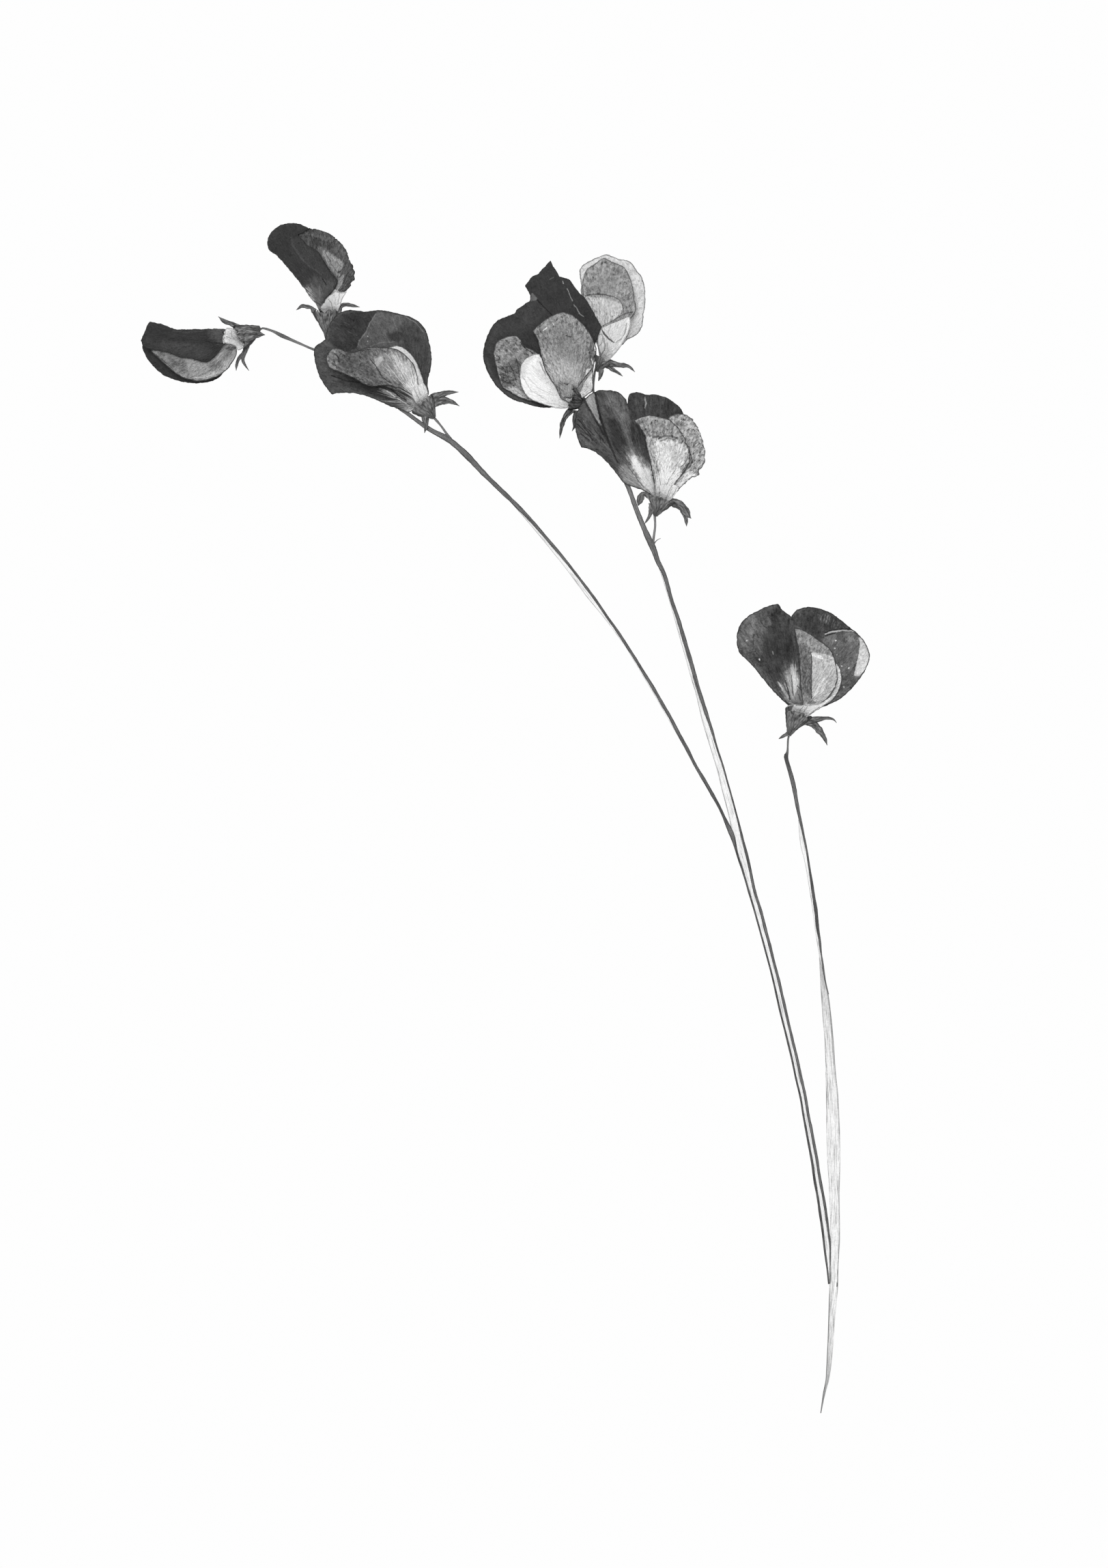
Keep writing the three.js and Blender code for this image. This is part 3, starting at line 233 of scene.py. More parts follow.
def wired(tree, kind, sockets, **settings):
    """A node whose sockets are given values or other nodes' outputs. Returns what it puts out."""
    made = tree.nodes.new(kind)
    for key, value in settings.items():
        setattr(made, key, value)
    for key, value in sockets.items():
        if isinstance(value, bpy.types.NodeSocket):
            tree.links.new(value, made.inputs[key])
        else:
            made.inputs[key].default_value = value
    return made.outputs


def maths(tree, operation, *terms):
    """A sum, product or the like of numbers and outputs."""
    return wired(tree, "ShaderNodeMath", dict(enumerate(terms)), operation=operation)[0]


def vectors(tree, operation, *terms):
    """The same for vectors."""
    made = wired(tree, "ShaderNodeVectorMath", dict(enumerate(terms)), operation=operation)
    return made["Value" if operation in ("DOT_PRODUCT", "LENGTH") else "Vector"]


def parts(tree, vector):
    """The three numbers of a vector."""
    return wired(tree, "ShaderNodeSeparateXYZ", {0: vector})


def joined(tree, x, y, z=0.0):
    """A vector of three numbers."""
    return wired(tree, "ShaderNodeCombineXYZ", {0: x, 1: y, 2: z})[0]


def ramp(tree, value, low, high, to_low=0.0, to_high=1.0):
    """A value carried smoothly from one range to another, and level outside it."""
    return wired(tree, "ShaderNodeMapRange", {0: value, 1: low, 2: high, 3: to_low, 4: to_high},
                 interpolation_type="SMOOTHSTEP")[0]


def between(tree, share, first, second):
    """A value that goes from the first to the second as the share goes from 0 to 1."""
    return wired(tree, "ShaderNodeMix", {0: share, 2: first, 3: second})[0]


def laid_over(tree, value, *textures):
    """A value with textures added to it, each times its strength."""
    for texture, strength in textures:
        value = maths(tree, "ADD", value, maths(tree, "MULTIPLY", texture, strength))
    return value


def mark(tree, name):
    """What the corners of the piece keep under a name."""
    return wired(tree, "ShaderNodeAttribute", {}, attribute_name=name)


def flecks(tree, place, across, lengthwise, detail, shift=0.0):
    """Noise round nought over a place in mm, with so many flecks a mm each way, and detail in them."""
    scaled = vectors(tree, "MULTIPLY", place, (across, lengthwise, 0.0))
    moved = vectors(tree, "ADD", scaled, (shift, 2.3 * shift, 1.7 * shift))
    cloud = wired(tree, "ShaderNodeTexNoise", {"Vector": moved, "Scale": 1.0, "Detail": detail,
                                               "Roughness": 0.6})[0]
    return maths(tree, "SUBTRACT", cloud, 0.5)


def effect(name, inputs, outputs):
    """An empty node group with named sockets. Returns its tree and what comes in at each."""
    tree = bpy.data.node_groups.new(name, "ShaderNodeTree")
    for socket, value in inputs.items():
        kind = "NodeSocketVector" if isinstance(value, tuple) else "NodeSocketFloat"
        tree.interface.new_socket(socket, in_out="INPUT", socket_type=kind).default_value = value
    for socket in outputs:
        tree.interface.new_socket(socket, in_out="OUTPUT", socket_type="NodeSocketFloat")
    entry = tree.nodes.new("NodeGroupInput")
    return tree, [entry.outputs[socket] for socket in inputs]


def put_out(tree, *results):
    """Joins the results to what a node group puts out."""
    leave = tree.nodes.new("NodeGroupOutput")
    for k, value in enumerate(results):
        tree.links.new(value, leave.inputs[k])


def placed(tree, group, sockets):
    """An effect placed in a material or in another effect."""
    return wired(tree, "ShaderNodeGroup", sockets, node_tree=group)


# A tone of the page as the share of light that a skin of that tone sends back.
DARKEST_TONE, WHITE_TONE = 6.0, 255.0
DARKEST, PALEST = 0.003, 0.97
GAMMA, GLARE = 2.25, 0.004
page_grey, (tone,) = effect("page_grey", {"Tone": 128.0}, ["Grey"])
share = maths(page_grey, "DIVIDE", maths(page_grey, "MAXIMUM", tone, DARKEST_TONE), WHITE_TONE)
grey = maths(page_grey, "SUBTRACT", maths(page_grey, "POWER", share, GAMMA), GLARE)
put_out(page_grey, maths(page_grey, "MINIMUM", maths(page_grey, "MAXIMUM", grey, DARKEST), PALEST))


def plant_skin(name, roughness=0.8):
    """A material for dried plant skin: matt and dull."""
    material = bpy.data.materials.new(name)
    material.use_nodes = True
    tree = material.node_tree
    shader = tree.nodes["Principled BSDF"]
    shader.inputs["Roughness"].default_value = roughness
    shader.inputs["Specular IOR Level"].default_value = 0.2
    return material, tree, shader


def finish_skin(tree, shader, tone, relief, depth):
    """Gives a skin its painted tone and its relief, in mm of depth."""
    tree.links.new(placed(tree, page_grey, {"Tone": tone})["Grey"], shader.inputs["Base Color"])
    bump = wired(tree, "ShaderNodeBump", {"Strength": 1.0, "Distance": depth * MM, "Height": relief})
    tree.links.new(bump["Normal"], shader.inputs["Normal"])


# Across a stalk, from -1 to 1, the side tones end at one place and the middle tone begins at the other.
SIDE_AT, MIDDLE_AT = 0.92, 0.55
stalk_skin, tree, shader = plant_skin("dried_stalk", 0.7)
lie = mark(tree, "lie")["Vector"]
paint = parts(tree, mark(tree, "paint")["Vector"])
across = parts(tree, lie)
leftwards = ramp(tree, across[0], -SIDE_AT, -MIDDLE_AT)
rightwards = ramp(tree, across[0], MIDDLE_AT, SIDE_AT)
tone = between(tree, rightwards, between(tree, leftwards, paint[0], paint[1]), paint[2])
aside = maths(tree, "MULTIPLY", across[0], across[2])
threads = joined(tree, aside, across[1])
fibres = flecks(tree, threads, 3.0, 0.25, 3.0)
specks = flecks(tree, lie, 2.0, 3.0, 2.0, 5.0)
streaks = ramp(tree, flecks(tree, threads, 2.4, 0.14, 3.0, 7.0), 0.0, 0.2, 0.0, -100.0)
streaks = maths(tree, "MULTIPLY", streaks, ramp(tree, tone, 170.0, 230.0))
tone = laid_over(tree, maths(tree, "ADD", tone, streaks), (fibres, 140.0), (specks, 50.0))
finish_skin(tree, shader, tone, fibres, 0.25)


def lay_stem(bm, points, height, seed, step):
    """A closed rib along points of x, y, width and three tones, a little uneven, flat beneath."""
    length = along(np.array(points))[-1]
    line = smooth_line(points, max(8, round(length / step)))
    run = along(line)
    spot = np.stack([run, np.full(len(run), 3.0 * seed)], axis=1)
    width = line[:, 2] * (1 + 0.05 * waver(spot, 5.0, seed) + 0.04 * waver(spot, 1.7, seed + 2))
    middle = line[:, :2] + sideways(line) * (0.04 * waver(spot, 9.0, seed + 1))[:, None]
    # Round the rib: out to its sides, and up over a top with two shallow grooves.
    turns = np.linspace(0, 2 * math.pi, RIB_CORNERS + 1)
    out = np.cos(turns)
    up = np.sign(np.sin(turns)) * np.abs(np.sin(turns)) ** 0.8
    groove = np.where(up > 0, 0.12 * np.cos(out * 2.6 * math.pi) - 0.06, 0)
    place = middle[:, None] + sideways(line)[:, None] * (out * width[:, None] / 2)[..., None]
    tall = np.minimum(height, 0.25 + 0.9 * width)[:, None]
    level = tall * (0.5 + 0.42 * up + groove * 0.8) + 0.02
    net = np.dstack([place, level])
    lie = np.dstack([np.broadcast_to(out, level.shape), np.broadcast_to(run[:, None], level.shape),
                     np.broadcast_to(width[:, None], level.shape)])
    paint = np.broadcast_to(line[:, None, 3:6], level.shape + (3,))
    lay_net(bm, net, {"lie": lie, "paint": paint})


for name, points, seed in (("left_stem", LEFT_STALK, 1), ("middle_stem", MIDDLE_STALK, 2),
                           ("right_stem", RIGHT_STALK, 3)):
    bm = bmesh.new()
    lay_stem(bm, points, RIB_HEIGHT, seed, RIB_STEP)
    piece_of(name, bm, stalk_skin, "stalks", closed=True)

bm = bmesh.new()
for seed, points in enumerate(SIDE_STEMS):
    lay_stem(bm, points, SIDE_RIB_HEIGHT, seed + 4, SIDE_RIB_STEP)
piece_of("side_stems", bm, stalk_skin, "stalks", closed=True)


def lay_film(bm, left, right, paint, level):
    """A thin film between two lines of places, row by row, at a level, with its tones by row."""
    share = np.linspace(0, 1, FILM_COLUMNS + 1)
    place = left[:, None] + (right - left)[:, None] * share[:, None]
    height = level + 0.06 * waver(place, 4.0, 1.3)
    run = np.broadcast_to(along(left)[:, None], height.shape)
    wide = np.broadcast_to(np.hypot(*(right - left).T)[:, None], height.shape)
    lie = np.dstack([np.broadcast_to(2 * share - 1, height.shape), run, wide])
    paint = np.broadcast_to(paint, height.shape + (3,))
    lay_net(bm, np.dstack([place, height]), {"lie": lie, "paint": paint})


# The films lie low beside the ribs. Tones over 255 keep them white between their dark streaks.
SKIN_LEVEL, RIBBON_LEVEL = 0.3, 0.34
RIBBON_ROWS, FILM_COLUMNS = 220, 8
FILM_EDGE, WHITE_MIDDLE, WHITE_INSIDE = 203, 268, 272
bm = bmesh.new()
for stalk, tone, edge in SKINS:
    rows = round(along(np.array(edge))[-1] / RIB_STEP)
    inner = smooth_line([point[:2] for point in stalk], rows)
    share = np.linspace(0, 1, rows + 1)[:, None, None]
    outer = np.interp(share, [0, 0.25, 1], [tone, FILM_EDGE, FILM_EDGE])
    paint = np.dstack([outer, np.full(share.shape, WHITE_MIDDLE), np.full(share.shape, WHITE_INSIDE)])
    lay_film(bm, smooth_line(edge, rows), inner, paint, SKIN_LEVEL)
share = np.linspace(0, 1, RIBBON_ROWS + 1)[:, None, None]
left_tone = np.interp(share, [0, 0.1, 0.3, 0.7, 0.76, 0.9, 1], [180, 205, 236, 234, 128, 106, 90])
middle_tone = np.interp(share, [0, 0.05, 0.15, 0.3, 0.7, 0.78, 0.87, 0.94, 1],
                        [180, 208, 232, 248, 252, 234, 218, 165, 120])
right_tone = np.interp(share, [0, 0.16, 0.3, 0.46, 0.5, 0.72, 0.75, 1],
                       [140, 150, 205, 240, 195, 195, 236, 215])
paint = np.dstack([left_tone, middle_tone, right_tone])
left, right = (smooth_line(edge, RIBBON_ROWS) for edge in RIBBON)
lay_film(bm, left, right, paint, RIBBON_LEVEL)
piece_of("stem_skins", bm, stalk_skin, "stalks", thickness=SKIN_THICKNESS)


# Open standards: the big two-lobed back petal of a bloom, which the other petals lie on. It is a skin
# thinner than paper, dark where its colour was deep, with veins that fan out from the narrow claw. It
# grows out of the cup and is pressed flat over what lies under it.

# Layers count up from the page: the standard is 0, the back wing 1, the keel 2, the front wing 3, and
# the near half of a folded standard 4. The claws lie in between or on top.
PITCH = 1.0  # from one petal to the next above it
SHEET = 0.6  # the room a petal takes
CROWN = 0.5  # how far the keel lifts the petals over it
PETAL_THICKNESS = 0.2
PETAL_RELIEF = 0.07
PETAL_RIM = 62  # the tone of the line at a petal's edge
MOUTH_LEVEL, MOUTH_SLOPE = 2.1, 0.3  # a petal in the mouth of its cup, and its fall to each side
LOWEST = 0.14  # no skin's middle lies nearer to the page

# The blooms go from a at the far left tip to g on the right stalk. For each: where its claws are, how
# the ground swells where it lies over a stalk or over its neighbour (from, to, the reach of the top, the
# reach of the foot, height), how its rim ripples (height, count, phase, span), where its keel crowns
# (middle, radii, turn), and the rim and foot of its cup. All its other places are from its claws.
BEDS = {
    "a": ((-62.6, 112.4), [],
          (0.9, 3, 0.6, 24), ((-8.6, -4.2), (6, 3), 10),
          ((0.6, 0.5), (5, 2.9))),
    "b": ((-41.6, 119.6), [],
          (0.9, 3, 1.6, 20), ((1.2, 7.4), (5, 2.4), 90),
          ((-0.5, -1.2), (-0.3, -7))),
    "c": ((-20.2, 97.2),
          [((-24.6, 13.6), (-3, -2.2), 1.4, 9, 1.4), ((-21.4, 19.6), (-21.4, 16), 2.2, 9, 3.3)],
          (0.8, 4, 2.2, 24), ((-5.6, 8.2), (5.5, 3), -50),
          ((0.8, 0), (3.4, -3.1))),
    "d": ((15.5, 97.2), [((6, 20), (6, 20), 5, 19, 4.2)],
          (0.6, 4, 0.4, 26), ((-7.4, 5.4), (5.5, 2.6), -60),
          ((0.1, 1.1), (4, 0))),
    "e": ((22.9, 108.1), [],
          (0.5, 3, 0.2, 24), ((1.6, 8.6), (4.6, 3.2), 90),
          ((-0.2, -0.7), (-1.8, -3))),
    "f": ((35.7, 75.1),
          [((-15.2, 25.4), (-7, 3), 1.6, 9, 1.45), ((-18.2, 21.4), (-18.2, 21.4), 2.6, 12, 3.9)],
          (0.8, 4, 1.2, 26), ((2, 8.2), (5, 3), 80),
          ((0.6, -0.2), (-0.7, -4))),
    "g": ((68.6, 24.7), [],
          (1.1, 4, 2.6, 26), ((5.6, 8.4), (5.4, 2.4), 80),
          ((-0.3, -0.1), (-2.3, -5.1))),
}


def rise(letter, layer, spot):
    """How high the middle of a petal's skin lies above the page, at places in its bloom."""
    at, swells, (height, count, phase, span), (middle, radii, turn), _ = BEDS[letter]
    # Swells of the ground over what lies under it, blended by their cubes.
    cubes = 0
    for start, end, level, reach, top in swells:
        start = np.array(start, float)
        run = np.array(end, float) - start
        share = np.clip(((spot - start) @ run) / max(run @ run, 1e-9), 0, 1)
        away = np.linalg.norm(spot - start - share[..., None] * run, axis=-1)
        fall = np.clip((reach - away) / (reach - level), 0, 1)
        cubes = cubes + (top * fall ** 2 * (3 - 2 * fall)) ** 3
    # Ripples that grow towards the rim, and the crown of the keel.
    x, y = spot[..., 0], spot[..., 1]
    out = np.clip(np.hypot(x, y) / span, 0, 1)
    ground = np.cbrt(cubes) + height * out ** 3 * (0.5 + 0.5 * np.sin(count * np.arctan2(y, x) + phase))
    c, s = math.cos(math.radians(turn)), math.sin(math.radians(turn))
    dx, dy = x - middle[0], y - middle[1]
    square = ((dx * c + dy * s) / radii[0]) ** 2 + ((dy * c - dx * s) / radii[1]) ** 2
    crown = CROWN * np.clip(1 - square, 0, 1) ** 2
    lift = {0: 0, 1: 0, 2: crown / 2}.get(layer, crown)
    return ground + layer * PITCH + lift + SHEET / 2


def cup_axis(letter, share):
    """A place on the axis of a bloom's cup, at a share of the way from its rim to its foot."""
    rim, foot = (np.array(end, float) for end in BEDS[letter][4])
    return rim + (foot - rim) * share


def rooted(letter, line):
    """A petal's line carried on from its claw down into the cup."""
    root = cup_axis(letter, 0.3) + (np.array(line[0]) - cup_axis(letter, 0)) * 0.6
    return [tuple(root), *line]


def gap_to(line, spot):
    """How far each place is from a line."""
    start, run = line[:-1], np.diff(line, axis=0)
    off = spot[..., None, :] - start
    share = np.clip((off * run).sum(-1) / np.maximum((run ** 2).sum(-1), 1e-9), 0, 1)
    return np.linalg.norm(off - share[..., None] * run, axis=-1).min(-1)


def depth_in(points, spot):
    """How deep each place lies inside a smooth closed outline. Outside it is less than nought."""
    loop = smooth_line(list(points) + [points[0]], 10 * len(points))
    gap = gap_to(loop, spot)
    (ax, ay), (bx, by) = loop[:-1].T, loop[1:].T
    x, y = spot[..., None, 0], spot[..., None, 1]
    level = np.where(by == ay, 1e-9, by - ay)
    crossed = ((ay > y) != (by > y)) & (x < ax + (y - ay) * (bx - ax) / level)
    return np.where(crossed.sum(-1) % 2 == 1, gap, -gap)


# The look of dried petal tissue, each part in steps of tone: streaks that fan out, dark ridges of a
# crumpled skin, small bulges with dark gaps that are strongest along the rim, grit, and slow mottling.
tissue, (lie, spot, streak, ridge, cell, grit, mottle) = effect(
    "dried_tissue", {"Lie": (0.0, 0.0, 0.0), "Spot": (0.0, 0.0, 0.0), "Streaks": 5.0, "Ridges": 5.0,
                     "Cells": 5.0, "Grit": 5.0, "Mottle": 5.0}, ["Grain", "Relief"])
broad = flecks(tissue, lie, 1.0, 0.11, 3.0)
fine = flecks(tissue, lie, 4.4, 0.5, 2.0, 3.0)
veined = maths(tissue, "MULTIPLY", maths(tissue, "ADD", broad, fine), 7.0)
fold = maths(tissue, "ABSOLUTE", flecks(tissue, lie, 1.5, 0.55, 2.0, 23.0))
pucker = maths(tissue, "ABSOLUTE", flecks(tissue, spot, 1.25, 1.25, 2.0, 29.0))
folds = ramp(tissue, fold, 0.0, 0.09, -2.2, 0.6)
lines = maths(tissue, "ADD", folds, ramp(tissue, pucker, 0.0, 0.08, -1.6, 0.5))
grainy = maths(tissue, "MULTIPLY", flecks(tissue, spot, 4.6, 4.6, 3.0, 1.0), 9.0)
cloud = maths(tissue, "MULTIPLY", flecks(tissue, spot, 0.22, 0.22, 3.0, 7.0), 9.0)
bulge = ramp(tissue, flecks(tissue, lie, 2.1, 0.95, 1.5, 37.0), -0.14, 0.12, -1.3, 1.1)
pit = ramp(tissue, flecks(tissue, lie, 2.9, 1.5, 1.0, 41.0), 0.09, 0.2, 0.25, -2.2)
bulge = maths(tissue, "ADD", bulge, pit)
brink = parts(tissue, lie)[2]
bulge = maths(tissue, "MULTIPLY", bulge, ramp(tissue, brink, 6.0, 0.8, 0.35, 1.1))
grain = laid_over(tissue, maths(tissue, "MULTIPLY", veined, streak),
                  (bulge, cell), (lines, ridge), (grainy, grit), (cloud, mottle))
relief = laid_over(tissue, maths(tissue, "MULTIPLY", veined, 0.25),
                   (lines, 0.35), (bulge, 0.3), (grainy, 0.2))
put_out(tissue, grain, relief)

# A patch of another tone, from how deep a place lies in it: soft, or crisp and ragged at its edge.
# It can be combed into streaks that fan out from the claw.
patch, (depth, lie, spot, soft, comb) = effect(
    "patch", {"Depth": 0.0, "Lie": (0.0, 0.0, 0.0), "Spot": (0.0, 0.0, 0.0), "Soft": 0.5, "Combed": 0.0},
    ["Mask"])
combed = maths(patch, "MULTIPLY", flecks(patch, lie, 2.1, 0.05, 3.0, 19.0), comb)
ragged = maths(patch, "MULTIPLY", flecks(patch, spot, 1.3, 1.3, 3.0, 11.0), maths(patch, "ADD", soft, 0.25))
frayed = maths(patch, "ADD", maths(patch, "ADD", depth, combed), ragged)
outside = maths(patch, "MULTIPLY", soft, -0.5)
inside = maths(patch, "MULTIPLY", soft, 0.5)
put_out(patch, ramp(patch, frayed, outside, inside))

# One stroke of a crease, scratch, speck, painted shadow or painted highlight. Start and end give x, y and
# the half width there, and the gap is how far a place is from the nearest stroke so far.
FAR_OFF = 99.0  # farther than any stroke reaches
stroke, (spot, start, end, gap) = effect(
    "stroke", {"Spot": (0.0, 0.0, 0.0), "Start": (0.0, 0.0, 0.1), "End": (0.0, 0.0, 0.1), "Gap": FAR_OFF},
    ["Gap"])
flat = (1.0, 1.0, 0.0)
off = vectors(stroke, "MULTIPLY", vectors(stroke, "SUBTRACT", spot, start), flat)
run = vectors(stroke, "SUBTRACT", end, start)
level_run = vectors(stroke, "MULTIPLY", run, flat)
square = maths(stroke, "MAXIMUM", vectors(stroke, "DOT_PRODUCT", level_run, level_run), 0.0001)
share = maths(stroke, "DIVIDE", vectors(stroke, "DOT_PRODUCT", off, level_run), square)
share = maths(stroke, "MINIMUM", maths(stroke, "MAXIMUM", share, 0.0), 1.0)
shares = joined(stroke, share, share, share)
away = vectors(stroke, "SUBTRACT", off, vectors(stroke, "MULTIPLY", level_run, shares))
nearest = vectors(stroke, "ADD", start, vectors(stroke, "MULTIPLY", run, shares))
own_gap = maths(stroke, "SUBTRACT", vectors(stroke, "LENGTH", away), parts(stroke, nearest)[2])
put_out(stroke, maths(stroke, "MINIMUM", gap, own_gap))


def petal_skin(name, tone, claw, grain, zones, marks, rim, relief):
    """A petal's material. Claw is its tone at the claw and how far that reaches. Grain is how strong
    its streaks, ridges, bulges, grit and mottling are. A zone is (tone, softness, share, combing,
    outline). A mark is (tone, [(x, y, half width), ...]). Rim is the tone of the thin line at its edge."""
    material, tree, shader = plant_skin(name)
    lie = mark(tree, "lie")["Vector"]
    spot = mark(tree, "spot")["Vector"]
    strengths = dict(zip(("Streaks", "Ridges", "Cells", "Grit", "Mottle"), map(float, grain)))
    fibre = placed(tree, tissue, {"Lie": lie, "Spot": spot, **strengths})
    _, reach, brink = parts(tree, lie)
    claw_tone, claw_reach = claw
    frayed = laid_over(tree, reach, (flecks(tree, lie, 1.2, 0.1, 2.0, 4.0), 4.0))
    level = ramp(tree, frayed, 0.45 * claw_reach, 1.1 * claw_reach, float(claw_tone), float(tone))
    for k, (zone_tone, soft, part, comb, _) in enumerate(zones):
        mask = placed(tree, patch, {"Depth": mark(tree, f"zone{k}")["Fac"], "Lie": lie, "Spot": spot,
                                    "Soft": float(soft), "Combed": float(comb)})[0]
        level = between(tree, maths(tree, "MULTIPLY", mask, float(part)), level, float(zone_tone))
    shaky = joined(tree, flecks(tree, spot, 1.1, 1.1, 2.0, 13.0), flecks(tree, spot, 1.1, 1.1, 2.0, 17.0))
    drawn = vectors(tree, "ADD", spot, vectors(tree, "MULTIPLY", shaky, (0.5, 0.5, 0.0)))
    for mark_tone, points in marks:
        gap = FAR_OFF
        for start, end in zip(points, points[1:] or points):
            gap = placed(tree, stroke, {"Spot": drawn, "Start": start, "End": end, "Gap": gap})[0]
        mask = ramp(tree, gap, 0.12, -0.08)
        level = between(tree, maths(tree, "MULTIPLY", mask, 0.9), level, float(mark_tone))
    level = laid_over(tree, level, (fibre["Grain"], ramp(tree, level, 50.0, 115.0, 0.5, 1.0)))
    thin = laid_over(tree, brink, (flecks(tree, spot, 0.8, 0.8, 3.0, 9.0), 0.25))
    away_from_claw = ramp(tree, reach, 1.0, 1.6 * claw_reach, 0.25, 0.85)
    edge = maths(tree, "MULTIPLY", ramp(tree, thin, 0.3, 0.1), away_from_claw)
    level = between(tree, edge, level, float(rim))
    finish_skin(tree, shader, level, fibre["Relief"], relief)
    return material


def lay_petal(bm, letter, layer, net, rim, crinkle, zones, side=0.0, level=None, frill=1.0, dip=0.35):
    """Lays a petal's net of places in its bloom on the page, with a slightly frilled and crinkled
    skin, and marks its corners. It sinks towards its edge, and dips into the mouth of its cup."""
    seed = layer + ord(letter)
    # A frayed, crinkled skin that is calmer near the claw.
    fray = np.stack([waver(net, 1.7, seed) * 0.045 + waver(net, 0.7, seed + 1) * 0.03,
                     waver(net, 1.7, seed + 2) * 0.045 + waver(net, 0.7, seed + 3) * 0.03], axis=-1)
    spot = net + fray * frill * np.clip(np.linalg.norm(net, axis=-1) / 6, 0, 1)[..., None]
    height = rise(letter, layer, spot) if level is None else level
    fade = np.clip(np.linalg.norm(spot, axis=-1) / 5, 0, 1)
    height = height + crinkle * fade * (0.10 * waver(spot, 4.2, seed) + 0.05 * waver(spot, 1.6, seed + 5))
    height = height - 0.15 * fade * np.exp(-(rim / 0.8) ** 2)
    # The mouth of the cup holds the petal at one level.
    mouth = cup_axis(letter, 0)
    inward = cup_axis(letter, 1) - mouth
    inward = inward / np.linalg.norm(inward)
    deep = (spot - mouth) @ inward
    beside = np.abs((spot - mouth) @ np.array([-inward[1], inward[0]]))
    near = np.clip((deep + 1.4) / 1.8, 0, 1) * np.clip((4.4 - beside) / 1.5, 0, 1)
    held = MOUTH_LEVEL - MOUTH_SLOPE * beside
    height = np.maximum(height + (held - height) * dip * near, LOWEST)
    # Lie is how far round the claw, out from it and in from the edge a place is.
    x, y = spot[..., 0], spot[..., 1]
    lean = np.arctan2(y[-1].mean(), x[-1].mean())
    turn = (np.arctan2(y, x) - lean + math.pi) % (2 * math.pi) - math.pi
    marks = {"lie": np.dstack([turn * 12, np.hypot(x, y), rim]),
             "spot": np.dstack([x, y, np.broadcast_to(side, x.shape)])}
    for k, zone in enumerate(zones):
        marks[f"zone{k}"] = depth_in(zone[4], spot)
    at = BEDS[letter][0]
    lay_net(bm, np.dstack([x + at[0], y + at[1], height]), marks)


def rungs(left, middle, right, rows, columns):
    """A petal's net: rungs across it from its left edge over its middle line to its right edge."""
    edges = [smooth_line(left, rows), smooth_line(right, rows)]
    centre = smooth_line(middle, rows) if middle else (edges[0] + edges[1]) / 2
    share = np.linspace(0, 1, columns + 1)[:, None]
    first = edges[0][:, None] + (centre - edges[0])[:, None] * share
    second = centre[:, None] + (edges[1] - centre)[:, None] * share
    net = np.hstack([first[:, :-1], second])
    rim = np.minimum(gap_to(edges[0], net), gap_to(edges[1], net))
    return net, rim


def open_petal(kind, node, slot, letter, layer, left, right, tone, claw, grain, size, middle=None,
               zones=(), marks=(), rim=PETAL_RIM, crinkle=1.0, frill=1.0, dip=0.35):
    """A petal that lies open between its left and its right edge. Both run from the claw, where it
    leaves the cup, to its tip. Size is how many rows and half columns of faces it has."""
    left, right = rooted(letter, left), rooted(letter, right)
    net, edge = rungs(left, middle and rooted(letter, middle), right, *size)
    bm = bmesh.new()
    lay_petal(bm, letter, layer, net, edge, crinkle, zones, frill=frill, dip=dip)
    skin = petal_skin(f"{kind}_{letter}_skin", tone, claw, grain, zones, marks, rim, PETAL_RELIEF)
    piece_of(f"{kind}_{letter}", bm, skin, f"{node}_{letter}", thickness=PETAL_THICKNESS)


BANNER_ROWS, BANNER_COLUMNS = 150, 22


def banner(letter, left, right, slot="standard", **looks):
    """A bloom's open standard, at the bottom of its petals."""
    open_petal("banner", "standard", slot, letter, 0, left, right, size=(BANNER_ROWS, BANNER_COLUMNS),
               **looks)


